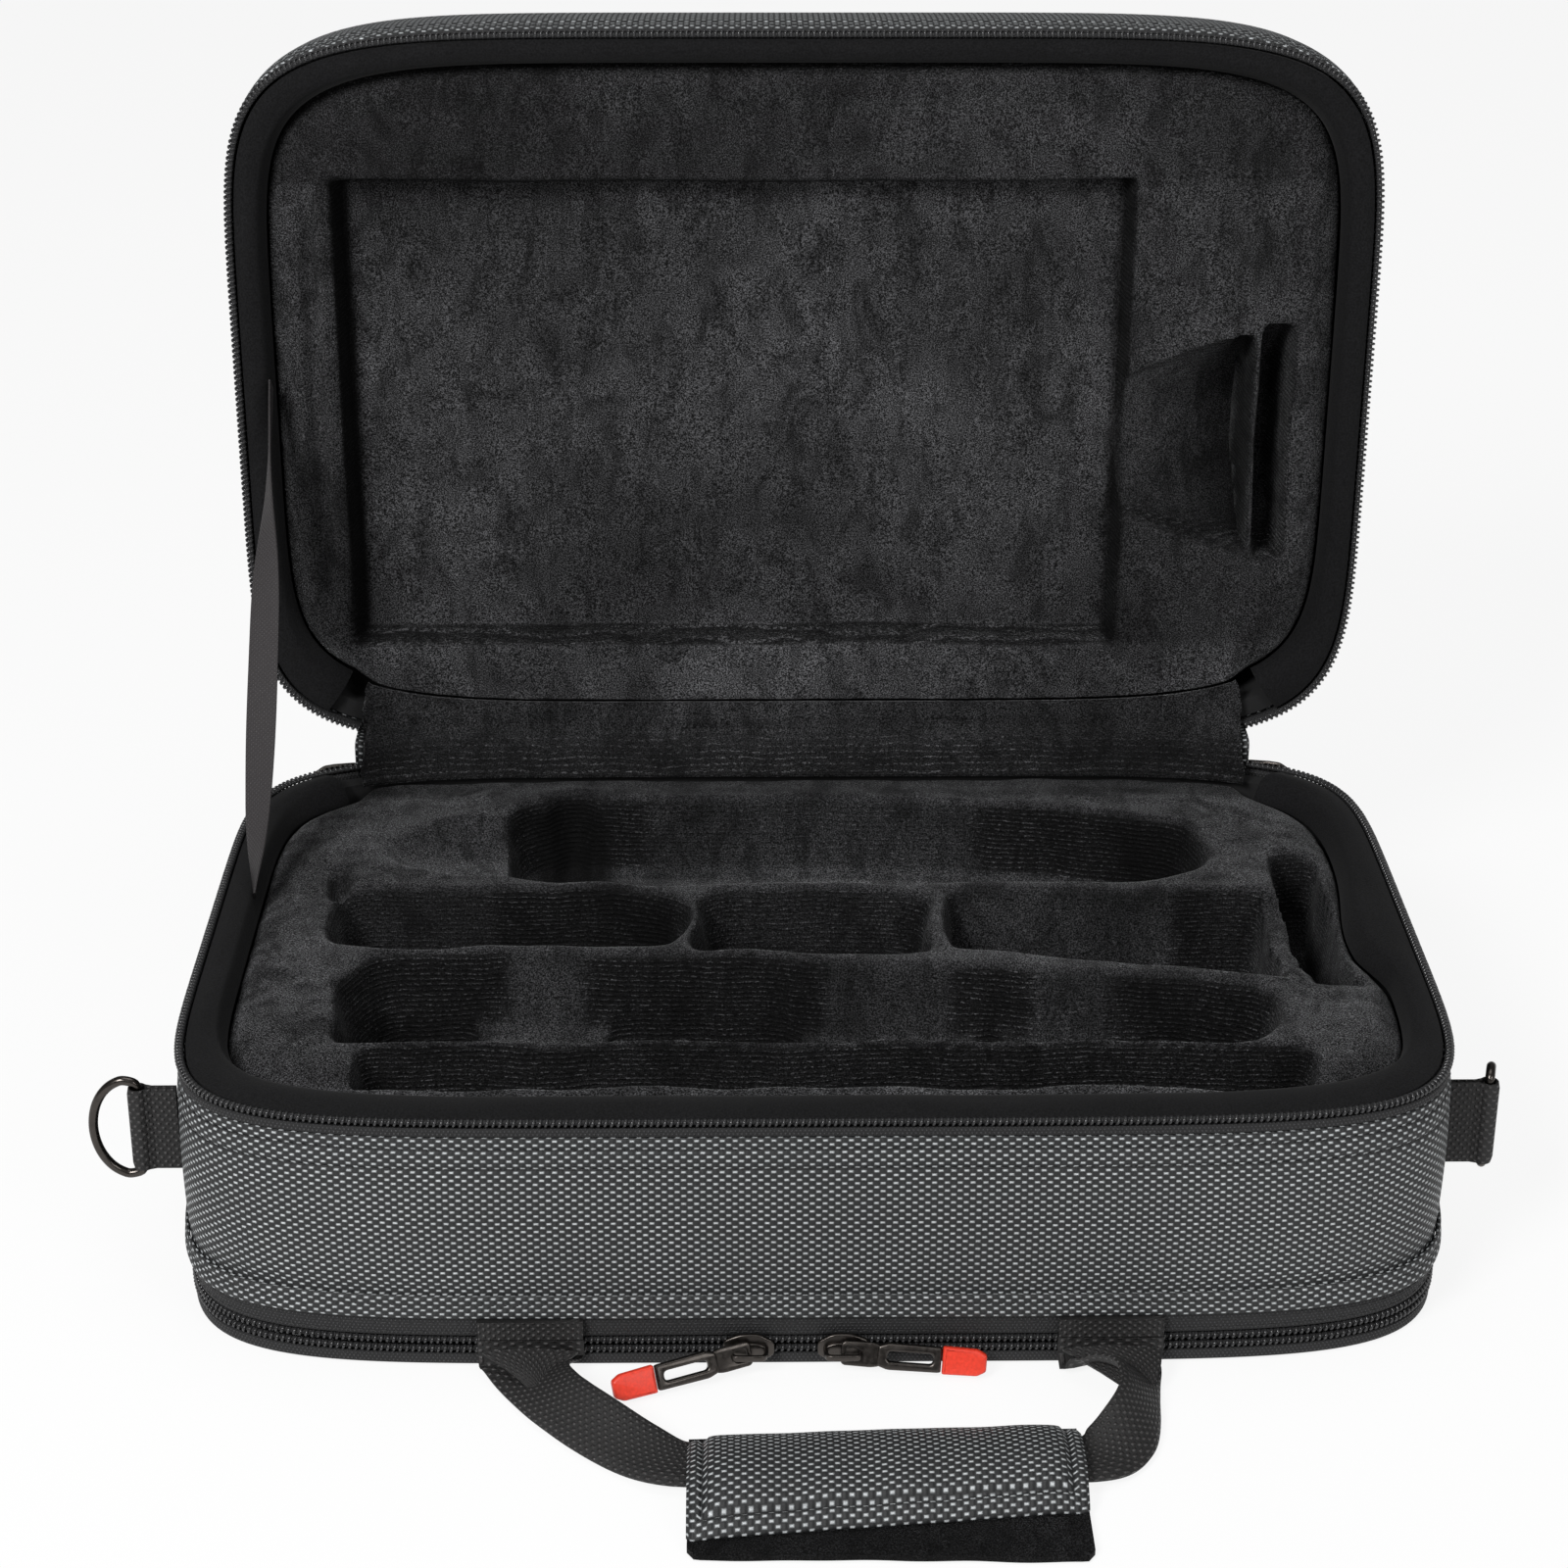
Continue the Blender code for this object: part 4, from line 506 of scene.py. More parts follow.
def unit_outline(start_x, end_x, step):
    """Points of the case's plan in shares of its half sizes, left end first and round the front.

    start_x and end_x are where the run meets the back edge, or None for the whole loop from the back.
    """
    turn = np.linspace(0, 2 * math.pi, 6001) + math.pi / 2
    half = np.array([CASE_WIDTH / 2, CASE_DEPTH / 2])
    ray = np.stack([np.cos(turn), np.sin(turn)], axis=1)
    reach = (np.abs(ray[:, 0] / half[0]) ** PLAN_POWER + np.abs(ray[:, 1] / half[1]) ** PLAN_POWER)
    points = ray * reach[:, None] ** (-1 / PLAN_POWER)
    if start_x is not None:
        behind = points[:, 1] > 0
        left = np.argmax(behind & (points[:, 0] <= start_x * half[0]))
        right = len(points) - 1 - np.argmax((behind & (points[:, 0] >= end_x * half[0]))[::-1])
        points = points[left:right + 1]
    count = round(lengths_along(points)[-1] / step) + 1
    points = resample(points, count)
    if start_x is None:
        points = points[:-1]
    return points / half


def case_loop(inset, z):
    """Plan of the case drawn in by an inset: half width, half depth, offset and height."""
    return (CASE_WIDTH / 2 - inset, CASE_DEPTH / 2 - inset, 0.0, z)


def insert_loop(inset, z):
    """Plan of the base's plush."""
    return (INSERT_WIDTH / 2 - inset, INSERT_DEPTH / 2 - inset, INSERT_OFFSET, z)


def lid_insert_loop(inset, z):
    """Plan of the lid's plush, shut."""
    return (LID_INSERT_WIDTH / 2 - inset, LID_INSERT_DEPTH / 2 - inset, LID_INSERT_OFFSET, z)


def between(a, b, share, z):
    """A plan loop between two others."""
    return tuple(p + (q - p) * share for p, q in zip(a[:3], b[:3])) + (z,)


def sweep(run, loops):
    """A grid of points: each row of the run carries the whole section."""
    loops = np.array(loops, float)
    grid = np.zeros((len(run), len(loops), 3))
    grid[:, :, 0] = run[:, 0:1] * loops[None, :, 0]
    grid[:, :, 1] = run[:, 1:2] * loops[None, :, 1] + loops[None, :, 2]
    grid[:, :, 2] = loops[None, :, 3]
    return grid


def run_lengths(run, ring):
    """Distances along a run on the case's wall."""
    points = run * np.array([CASE_WIDTH / 2, CASE_DEPTH / 2])
    if ring:
        points = np.vstack([points, points[:1]])
    return lengths_along(points)


def opened(grid):
    """Turn points of the shut lid open on the hinge."""
    turned = grid.copy()
    turned[..., 1] = HINGE.y + grid[..., 2] - HINGE.z
    turned[..., 2] = HINGE.z - grid[..., 1] + HINGE.y
    return turned


def skin(name, grid, ring=False, tube=True, along=None, flat=(), caps=True, period=None, smooth=50):
    """A mesh over a grid of points, with a UV map in metres.

    ring joins the last row to the first, tube joins the last column to the first, and flat lists the
    column spans that are mapped from above.
    """
    rows, columns = grid.shape[:2]
    row_spans = rows if ring else rows - 1
    column_spans = columns if tube else columns - 1
    i = np.arange(row_spans)[:, None]
    j = np.arange(column_spans)[None, :]
    next_i = (i + 1) % rows
    next_j = (j + 1) % columns
    corners = [i * columns + j, i * columns + next_j, next_i * columns + next_j, next_i * columns + j]
    faces = np.stack([corner + 0 * (i + j) for corner in corners], axis=-1).reshape(-1, 4)
    if along is None:
        middle = grid.mean(axis=1)
        along = lengths_along(np.vstack([middle, middle[:1]]) if ring else middle)
    if period:
        along = along * (round(along[-1] / period) * period / along[-1])
    widest = grid[np.argmax(np.linalg.norm(grid - grid.mean(axis=(0, 1)), axis=2).sum(axis=1))]
    across = lengths_along(np.vstack([widest, widest[:1]]))
    u = np.stack([along[i + 0 * j], along[i + 0 * j], along[i + 1 + 0 * j], along[i + 1 + 0 * j]], axis=-1)
    v = np.stack([across[j + 0 * i], across[j + 1 + 0 * i], across[j + 1 + 0 * i], across[j + 0 * i]],
                 axis=-1)
    uv = np.stack([u, v], axis=-1)
    flat_spans = [k for start, end in flat for k in range(start, end)]
    if flat_spans:
        points = grid.reshape(-1, 3)
        seen = points[faces.reshape(row_spans, column_spans, 4)][..., :2] + 1.0
        uv[:, flat_spans] = seen[:, flat_spans]
    face_list = faces.tolist()
    uv_list = uv.reshape(-1, 2)
    if caps and not ring:
        for start in (0, (rows - 1) * columns):
            face_list.append([start + k for k in range(columns)])
            uv_list = np.vstack([uv_list, np.stack([across[:columns], 0.001 * np.ones(columns)], axis=1)])
    mesh = bpy.data.meshes.new(name)
    mesh.from_pydata(grid.reshape(-1, 3).tolist(), [], face_list)
    mesh.uv_layers.new(name="UVMap").data.foreach_set("uv", uv_list.astype(np.float32).ravel())
    return tidy(mesh, smooth)


def tidy(mesh, smooth=50, weld=1e-6):
    """Close the seams and poles, point the faces out and shade smooth but for sharp edges."""
    bm = bmesh.new()
    bm.from_mesh(mesh)
    bmesh.ops.remove_doubles(bm, verts=bm.verts, dist=weld)
    bmesh.ops.recalc_face_normals(bm, faces=bm.faces)
    bm.to_mesh(mesh)
    bm.free()
    mesh.shade_smooth()
    mesh.set_sharp_from_angle(angle=math.radians(smooth))
    return mesh


def add_piece(name, mesh, material, body, stands_for=(), blended=None):
    """Link a finished piece and say what it rides on and the nodes that it stands for."""
    piece = bpy.data.objects.new(name, mesh)
    bpy.context.scene.collection.objects.link(piece)
    mesh.materials.clear()
    mesh.materials.append(look(material))
    if blended:
        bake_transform(piece)
    else:
        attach(piece, body)
    if stands_for:
        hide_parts(*stands_for)
    return piece


def unit(vectors):
    """Vectors of the same directions, one long."""
    return vectors / np.linalg.norm(vectors, axis=-1, keepdims=True)


def ring_frame(path, closed, up=(0, 0, 1)):
    """Tangent and two directions across a path at each of its points."""
    if closed:
        tangent = np.roll(path, -1, axis=0) - np.roll(path, 1, axis=0)
    else:
        tangent = np.gradient(path, axis=0)
    tangent = unit(tangent)
    side = unit(np.cross(tangent, np.array(up, float)))
    return tangent, side, np.cross(side, tangent)


def tube_grid(path, radius, sides, closed=False, up=(0, 0, 1)):
    """Round sections along a path."""
    path = np.array(path, float)
    _, side, lift = ring_frame(path, closed, up)
    turn = np.linspace(0, 2 * math.pi, sides, endpoint=False)
    radius = np.broadcast_to(np.array(radius, float), len(path))[:, None, None]
    circle = np.cos(turn)[:, None] * side[:, None, :] + np.sin(turn)[:, None] * lift[:, None, :]
    return path[:, None, :] + radius * circle


def bead(name, path, radius, sides):
    """A short rounded bar along a path, such as one stitch."""
    path = np.array(path, float)
    share = np.linspace(0, 1, len(path))
    swell = np.sqrt(np.clip(1 - (2 * share - 1) ** 4, 0.02, 1))
    return skin(name, tube_grid(path, radius * swell, sides), smooth=180)


def row_tree():
    """Geometry nodes that set one shape along a path, evenly spaced and turned with it."""
    tree = bpy.data.node_groups.new("row_along_path", "GeometryNodeTree")
    keys = {}
    for label, kind in (("Path", "NodeSocketGeometry"), ("Shape", "NodeSocketObject"),
                        ("Pitch", "NodeSocketFloat"), ("Unevenness", "NodeSocketFloat"),
                        ("Seed", "NodeSocketInt"), ("Finish", "NodeSocketMaterial")):
        keys[label] = tree.interface.new_socket(name=label, in_out="INPUT", socket_type=kind).identifier
    tree.interface.new_socket(name="Row", in_out="OUTPUT", socket_type="NodeSocketGeometry")
    source = add_node(tree, "NodeGroupInput").outputs
    line = add_node(tree, "GeometryNodeMeshToCurve", {0: source["Path"]})
    points = add_node(tree, "GeometryNodeCurveToPoints", {"Curve": line, "Length": source["Pitch"]},
                      mode="LENGTH")
    turn = add_node(tree, "FunctionNodeAlignRotationToVector", {"Vector": points.outputs["Tangent"]},
                    axis="X", pivot_axis="Z")
    shape = add_node(tree, "GeometryNodeObjectInfo", {0: source["Shape"], 1: True})
    low = add_node(tree, MATH, {0: 1.0, 1: source["Unevenness"]}, operation="SUBTRACT")
    high = add_node(tree, MATH, {0: 1.0, 1: source["Unevenness"]}, operation="ADD")
    vary = add_node(tree, "FunctionNodeRandomValue", {2: low, 3: high, "Seed": source["Seed"]},
                    data_type="FLOAT")
    placed = add_node(tree, "GeometryNodeInstanceOnPoints", {
        "Points": points.outputs["Points"], "Instance": shape.outputs["Geometry"], "Rotation": turn,
        "Scale": vary.outputs[1]})
    whole = add_node(tree, "GeometryNodeRealizeInstances", {0: placed})
    painted = add_node(tree, "GeometryNodeSetMaterial", {"Geometry": whole, "Material": source["Finish"]})
    add_node(tree, "NodeGroupOutput", {0: painted})
    return tree, keys


ROWS = {}


def row_mesh(name, paths, shape, pitch, unevenness, seed, material):
    """One mesh of shapes set along open paths."""
    if not ROWS:
        ROWS["tree"], ROWS["keys"] = row_tree()
    verts, edges = [], []
    for path in paths:
        start = len(verts)
        verts += path.tolist()
        edges += [(start + k, start + k + 1) for k in range(len(path) - 1)]
    line = bpy.data.meshes.new(name + "_path")
    line.from_pydata(verts, edges, [])
    holder = bpy.data.objects.new(name + "_path", line)
    model = bpy.data.objects.new(name + "_shape", shape)
    for thing in (holder, model):
        bpy.context.scene.collection.objects.link(thing)
    modifier = holder.modifiers.new("row", "NODES")
    modifier.node_group = ROWS["tree"]
    for label, value in (("Shape", model), ("Pitch", pitch), ("Unevenness", unevenness), ("Seed", seed),
                         ("Finish", look(material))):
        modifier[ROWS["keys"][label]] = value
    seen = holder.evaluated_get(bpy.context.evaluated_depsgraph_get())
    mesh = bpy.data.meshes.new_from_object(seen)
    mesh.name = name
    holder.modifiers.clear()
    for thing in (holder, model):
        bpy.data.objects.remove(thing, do_unlink=True)
    if not mesh.polygons:
        raise RuntimeError(name + " came out empty")
    mesh.shade_smooth()
    return mesh


def box_profile(outer, inner, low, high, corner):
    """Rounded rectangular section between two insets and two heights."""
    r = corner
    return [(outer, low + r), (outer, (low + high) / 2), (outer, high - r), (outer + r * 0.3, high - r * 0.3),
            (outer + r, high), (inner - r, high), (inner, high - r), (inner, low + r), (inner - r, low),
            (outer + r, low), (outer + r * 0.3, low + r * 0.3)]


def groove(z, middle, depth, width):
    """A sewn line's dent."""
    return depth * np.exp(-((z - middle) / width) ** 2)


def case_loops(table):
    """Plan loops of the case from a table of insets and heights."""
    return [case_loop(inset, z) for inset, z in table]


def front_run(step, width=CASE_WIDTH):
    """The run of the zips: from the hinge's left end round the front to its right end."""
    reach = HINGE_LENGTH / width
    return unit_outline(-reach, reach, step)


def pole_columns(height, inset, shares):
    """Plan loops that close a flat end between its edge and its middle."""
    half_width = CASE_WIDTH / 2 - inset
    half_depth = CASE_DEPTH / 2 - inset
    return [(half_width * share, half_depth * share, 0.0, height) for share in shares]


def make_base_shell():
    """Woven cover of the base with its two sewn lines under the zip."""
    corner, cloth, belly = 0.003, 0.0026, 0.001
    run = unit_outline(None, None, CLOTH_STEP)
    bottom = pole_columns(SHELL_BOTTOM, 0.005, (0.0, 0.3, 0.6, 0.85, 0.97))
    arc = [case_loop(belly + corner * (1 - math.cos(a)), SHELL_BOTTOM + corner - corner * math.sin(a))
           for a in np.linspace(math.pi / 2, 0, 6)]
    heights = np.concatenate([np.linspace(0.0208, 0.0635, 30), np.arange(0.0643, 0.0744, 0.0005)])
    middle, half_height = (SHELL_BOTTOM + SHELL_TOP) / 2, (SHELL_TOP - SHELL_BOTTOM) / 2
    bow = belly * ((heights - middle) / half_height) ** 2
    bow = bow + sum(groove(heights, *row) for row in BASE_GROOVES)
    wall = case_loops(zip(bow, heights))
    hem = case_loops(((0.00105, 0.0746), (0.00135, 0.07495), (0.0019, SHELL_TOP), (0.0024, 0.0748),
                      (cloth, 0.0742)))
    inside = case_loops(((cloth, 0.0205), (0.0035, 0.0187)))
    floor = pole_columns(0.0186, 0.006, (1.0, 0.6, 0.0))
    loops = bottom + arc + wall + hem + inside + floor
    grid = sweep(run, loops)
    first = len(bottom) + len(arc)
    last = first + len(wall)
    along = run_lengths(run, True)
    slack, slack_length, pucker, pucker_pitch, pucker_height = 0.00022, 0.06, 0.00012, 0.0105, 0.0272
    push = ripple(along[:-1, None], heights[None, :], slack_length, 11) * slack
    push *= smoothstep((heights - 0.022) / 0.008) * smoothstep((0.074 - heights) / 0.004)
    puckers = np.sin(along[:-1, None] * 2 * math.pi / pucker_pitch
                     + 2 * ripple(along[:-1, None], 0 * heights, 0.09, 5))
    push = push - pucker * puckers * np.exp(-((heights - pucker_height) / 0.002) ** 2)
    wall_out = sweep(run, [case_loop(-1.0, 0)] * len(wall)) - sweep(run, [case_loop(0.0, 0)] * len(wall))
    grid[:, first:last] += wall_out * push[..., None]
    spans = ((0, len(bottom) + 2), (len(loops) - 4, len(loops) - 1))
    mesh = skin("base_shell_weave", grid, ring=True, tube=False, along=along, flat=spans,
                period=case_sizes().weave_period)
    add_piece("base_shell_weave", mesh, "weave", "base", ["base_fabric_shell"])


# Section of the seam flap: inset and height
SEAM_FLAP = ((0.0004, 0.0172), (0.0001, 0.0169), (-0.0004, 0.01695), (-0.0008, 0.0175), (-0.00095, 0.0184),
             (-0.0009, 0.0196), (-0.0006, 0.0207), (-0.00045, 0.0213), (-0.0005, 0.0222), (-0.0006, 0.0232),
             (-0.00045, 0.0240), (-0.0001, 0.0244), (0.0003, 0.0243), (0.0004, 0.0236), (0.0004, 0.0205))
SEAM_FLAP_EDGE = slice(6, 12)


def make_seam_flap():
    """Folded hem of the shell cloth that hangs over the pocket's seam."""
    run = unit_outline(None, None, CLOTH_STEP)
    grid = sweep(run, case_loops(SEAM_FLAP))
    along = run_lengths(run, True)
    lift = 0.00016 * ripple(along[:-1], along[:-1] * 0, 0.03, 21)
    grid[:, SEAM_FLAP_EDGE, 2] += lift[:, None]
    mesh = skin("base_seam_flap_weave", grid, ring=True, along=along, period=case_sizes().weave_period)
    add_piece("base_seam_flap_weave", mesh, "weave", "base", ["base_seam_flap"])


def make_lid_shell():
    """Woven cover of the lid with the seam bead round its top panel."""
    run = unit_outline(None, None, CLOTH_STEP)
    radius, wall_top, wall_height, inset, dome = 0.009, 0.117, 0.030, 0.0113, 0.0004
    inner = case_loops(((0.0021, 0.0885), (0.0021, 0.0876)))
    lip = case_loops(((0.0017, 0.08715), (0.0011, LID_SHELL_BOTTOM), (0.0006, 0.0874)))
    heights = np.concatenate([np.arange(0.0880, 0.0985, 0.0006), np.linspace(0.0992, wall_top, 9)])
    wall = []
    for z in heights:
        share = (z - LID_SHELL_BOTTOM) / wall_height
        lean = 0.0005 + 0.0018 * share - 0.0006 * math.sin(math.pi * share)
        wall.append(case_loop(lean + sum(groove(z, *row) for row in LID_GROOVES), z))
    edge = []
    for a in np.linspace(0, math.pi / 2, 12)[1:]:
        bead_swell = 0.0009 * math.exp(-((math.degrees(a) - 50) / 9) ** 2)
        bead_dent = 0.0005 * math.exp(-((math.degrees(a) - 30) / 7) ** 2)
        reach = radius + bead_swell - bead_dent
        edge.append(case_loop(inset - reach * math.cos(a), wall_top + reach * math.sin(a)))
    shares = (0.97, 0.9, 0.8, 0.65, 0.45, 0.2, 0.0)
    cover = [(half_w, half_d, offset, z + dome * (1 - share))
             for share, (half_w, half_d, offset, z) in zip(shares, pole_columns(LID_TOP, inset, shares))]
    under = pole_columns(0.1245, inset, (0.0, 0.6, 0.95)) + case_loops(((0.0072, 0.1225), (0.0042, wall_top)))
    grid = sweep(run, inner + lip + wall + edge + cover + under)
    along = run_lengths(run, True)
    mesh = skin("lid_shell_weave", opened(grid), ring=True, along=along, period=case_sizes().weave_period)
    add_piece("lid_shell_weave", flat_map(mesh), "weave", "lid", ["lid_fabric_shell"])


def flat_map(mesh):
    """Map the faces that look forward or back straight from behind, in metres."""
    layer = mesh.uv_layers["UVMap"].data
    for face in mesh.polygons:
        if abs(face.normal.y) > 0.8:
            for k in face.loop_indices:
                spot = mesh.vertices[mesh.loops[k].vertex_index].co
                layer[k].uv = (spot.x + 1.0, spot.z + 1.0)
    return mesh


def coil_turn():
    """One turn of a zip's coil: a wire loop standing across the run, with its sewing loop."""
    turn = np.linspace(0, 2 * math.pi, 10, endpoint=False)
    path = np.stack([0.00028 * np.sin(turn), 0.00092 * np.cos(turn) + 0.0001, 0.00080 * np.sin(turn)], axis=1)
    tangent = np.roll(path, -1, axis=0) - np.roll(path, 1, axis=0)
    tangent = unit(tangent)
    side = np.array([1.0, 0, 0]) - tangent * tangent[:, :1]
    side = unit(side)
    lift = np.cross(side, tangent)
    angles = np.linspace(0, 2 * math.pi, 6, endpoint=False)
    circle = np.cos(angles)[:, None] * side[:, None, :] + np.sin(angles)[:, None] * lift[:, None, :]
    grid = path[:, None, :] + 0.00047 * circle
    return skin("coil_turn", grid, ring=True, smooth=180)


# Zips of the shut case: label, body, heights of the tape, middle of the coil, whether it opens with the
# lid, and the nodes of tape and chain
ZIPS = (
    ("base", "base", 0.0753, 0.07805, 0.0796, False, "base_zip_tape", "base_zip_chain"),
    ("lid", "lid", 0.08395, 0.0867, 0.0824, True, "lid_zip_tape", "lid_zip_chain"),
    ("pocket_upper", "base", 0.0103, 0.0167, 0.00875, False, "pocket_upper_tape", "pocket_upper_chain"),
    ("pocket_lower", "pocket_floor", 0.0009, 0.0043, 0.00585, False, "pocket_lower_tape",
     "pocket_lower_chain"),
)
TAPE_INSETS = (0.0009, 0.0023)
TAPE_CORNER = 0.0004
CORE_INSETS = (0.0011, 0.0026)
CORE_HALF_HEIGHT = 0.0007
CORE_CORNER = 0.0005
COIL_INSET = 0.0014


def make_zips():
    """Woven tapes and wound coils of the main zip and the pocket zip."""
    run = front_run(CLOTH_STEP)
    along = run_lengths(run, False)
    fine = front_run(PATH_STEP)
    for seed, (label, body, low, high, middle, turned, tape_node, coil_node) in enumerate(ZIPS):
        tape = box_profile(*TAPE_INSETS, low, high, TAPE_CORNER)
        core = box_profile(*CORE_INSETS, middle - CORE_HALF_HEIGHT, middle + CORE_HALF_HEIGHT, CORE_CORNER)
        for suffix, section, nodes in (("_zip_tape_woven", tape, [tape_node]), ("_zip_core_cord", core, ())):
            grid = sweep(run, case_loops(section))
            mesh = skin(label + suffix, opened(grid) if turned else grid, along=along)
            add_piece(label + suffix, mesh, "tape", body, nodes)
        path = sweep(fine, [case_loop(COIL_INSET, middle)])[:, 0]
        mesh = row_mesh(label + "_coil", [path], coil_turn(), case_sizes().coil_pitch, 0.02, seed, "coil")
        if turned:
            turn_open(mesh)
        add_piece(label + "_zip_coil_wound", mesh, "coil", body, [coil_node])


def turn_open(mesh):
    """Swing a mesh of the shut lid open."""
    quarter = Matrix.Rotation(math.radians(-90), 4, "X")
    mesh.transform(Matrix.Translation(HINGE) @ quarter @ Matrix.Translation(-HINGE))
    return mesh


def make_liner_bands():
    """Smooth padded bands between the zips and the plush."""
    shares = np.linspace(0, 1, 15)
    dip, dip_end, turn_down, turn_start = 0.0010, 0.75, 0.0060, 3
    for label, sign, edge, width in (("base", 1, insert_loop, INSERT_WIDTH),
                                     ("lid", -1, lid_insert_loop, LID_INSERT_WIDTH)):
        run = front_run(CLOTH_STEP, width)
        outer = case_loop(0.0033, 0)
        inner = edge(-0.0004, 0)
        drops = [0.0014 - dip * math.sin(math.pi * min(t / dip_end, 1))
                 + turn_down * max(t / 0.25 - turn_start, 0) ** 1.3 for t in shares]
        section = list(zip(shares, drops)) + [(1.0, 0.0088), (0.45, 0.0046), (0.0, 0.0040)]
        grid = sweep(run, [between(outer, inner, t, RIM_HEIGHT - sign * drop) for t, drop in section])
        along = run_lengths(run, False)
        wave = 0.00025 * ripple(along, along * 0, 0.05, 31)
        grid[:, 3:13, 2] += sign * wave[:, None] * np.sin(np.linspace(0, math.pi, 10))[None, :]
        if sign > 0:
            share = np.array([t for t, _ in section])[None, :]
            step = right_bulge(grid[..., 1]) * smoothstep((grid[..., 0] / 0.17 - 0.7) / 0.25)
            grid[..., 0] *= 1 + step * share ** 1.5
        mesh = skin(label + "_liner_band", grid if sign > 0 else opened(grid), along=along)
        piece = add_piece(label + "_liner_band", mesh, "liner", label, [label + "_edge_band"])


# Middle of the bell's axis across the base's plush and across the lid's
BELL_MIDDLE = 0.010
BELL_MIDDLE_LID = 0.015

# Wells of the base in mm: convex outline on the plush, depth, reach of the floor's rounding and how soft
# the corners are
BASE_WELLS = (
    (((-96, 38), (-84, 32), (60, 30), (112, 32), (126, 40), (130, 58), (122, 74), (96, 82), (50, 90),
      (-86, 92), (-97, 84)), 25, 10, 3.0),
    (((-92, 34), (-66, 34), (-62, 60), (-66, 98), (-86, 98), (-93, 66)), 35, 15, 6.0),
    (((-134, 46), (-126, 41), (-84, 38), (-84, 78), (-124, 74), (-133, 64)), 10, 17, 5.0),
    (((53, 34), (71, 34), (71, 78), (53, 80)), 33, 8, 4.0),
    (((88, 34), (112, 34), (125, 43), (128, 57), (120, 68), (88, 77)), 33, 9, 4.0),
    (((-146, -9), (-142, -11), (-42, -10), (-39, -6), (-39, 20), (-44, 24), (-142, 26), (-147, 22)),
     34, 10, 2.5),
    (((-35, -14), (36, -15), (37, 22), (32, 24), (-32, 24), (-35, 21)), 34, 10, 2.5),
    (((-137, -69), (130, -70), (136, -63), (137, -42), (131, -36), (60, -27), (-20, -18), (-132, -16),
      (-142, -40)), 24, 12, 3.0),
    (((-136, -67), (-98, -67), (-98, -19), (-132, -20), (-139, -40)), 33, 8, 4.0),
    (((-64, -68), (1, -68), (1, -24), (-64, -20)), 33, 8, 4.0),
    (((46, -68), (61, -68), (61, -32), (46, -30)), 33, 7, 4.0),
    (((94, -68), (129, -68), (134, -61), (134, -41), (94, -35)), 35, 8, 4.0),
    (((-132, -93), (138, -94), (142, -90), (142, -76), (137, -74), (-131, -74)), 26, 6, 2.5),
    (((131, -93), (142, -92), (142, -75), (131, -75)), 35, 5, 2.5),
)
WELL_LIP = np.array((-2.6, -1.3, -0.4, 0.4)) * 0.001
WELL_LIP_DROP = np.array((0.0, 0.28, 1.0, 2.4)) * 0.001
WELL_WALL_SHARES = np.array((0.16, 0.32, 0.60, 1.0))
WELL_WALL_DROP_SHARES = np.array((0.42, 0.70, 0.93, 1.0))


def inside_distance(x, y, outline, soften):
    """Distance inside a convex outline, with its corners rounded."""
    points = np.array(outline, float) * 0.001
    soften *= 0.001
    total = np.zeros(x.shape)
    area = 0.5 * np.sum(points[:, 0] * np.roll(points[:, 1], -1) - np.roll(points[:, 0], -1) * points[:, 1])
    sign = 1 if area > 0 else -1
    for a, b in zip(points, np.roll(points, -1, axis=0)):
        step = (b - a) / np.linalg.norm(b - a)
        normal = np.array([-step[1], step[0]]) * sign
        distance = (x - a[0]) * normal[0] + (y - a[1]) * normal[1]
        total += np.exp(-np.clip(distance, -0.05, 0.2) / soften)
    return -soften * np.log(total) + soften * 0.35


def eased(distance, places, drops):
    """Read a table of drops with its corners rounded."""
    shifts = np.array((-0.6, -0.3, 0.0, 0.3, 0.6)) * 0.001
    return sum(np.interp(distance + shift, places, drops) for shift in shifts) / len(shifts)


def well_drop(distance, depth, reach):
    """How far a well's surface lies under the plush, from the distance inside its outline."""
    places = np.concatenate([WELL_LIP, reach * WELL_WALL_SHARES])
    drops = np.concatenate([np.minimum(WELL_LIP_DROP, 0.3 * depth), depth * WELL_WALL_DROP_SHARES])
    return eased(distance, places, drops)


def soft_max(fields, size):
    """The largest of some fields, with their meetings rounded."""
    stack = np.stack(fields)
    top = stack.max(axis=0)
    return top + size * np.log(np.exp((stack - top) / size).sum(axis=0))


def bell_drop(x, y, start, end, radius_start, radius_end, centre, lift, back=None, reach=0.009):
    """Depth of a cone lying along X whose axis is lifted off the plush."""
    share = np.clip((x - start) / (end - start), 0, 1)
    radius = radius_start + (radius_end - radius_start) * share
    grown = radius + 0.0025
    depth = np.sqrt(np.clip(grown ** 2 - (y - centre) ** 2, 0, None)) - lift
    half_open = np.sqrt(np.clip(radius ** 2 - lift ** 2, 0, None))
    walls = [x - start, end - x, y - centre + half_open, centre + half_open - y]
    if back is not None:
        walls[3] = back - y
    soft = 0.0012
    edge = -soft * np.log(sum(np.exp(-np.clip(wall, -0.03, 0.3) / soft) for wall in walls))
    return np.clip(np.minimum(depth, well_drop(edge, 0.045, reach)), 0, None)


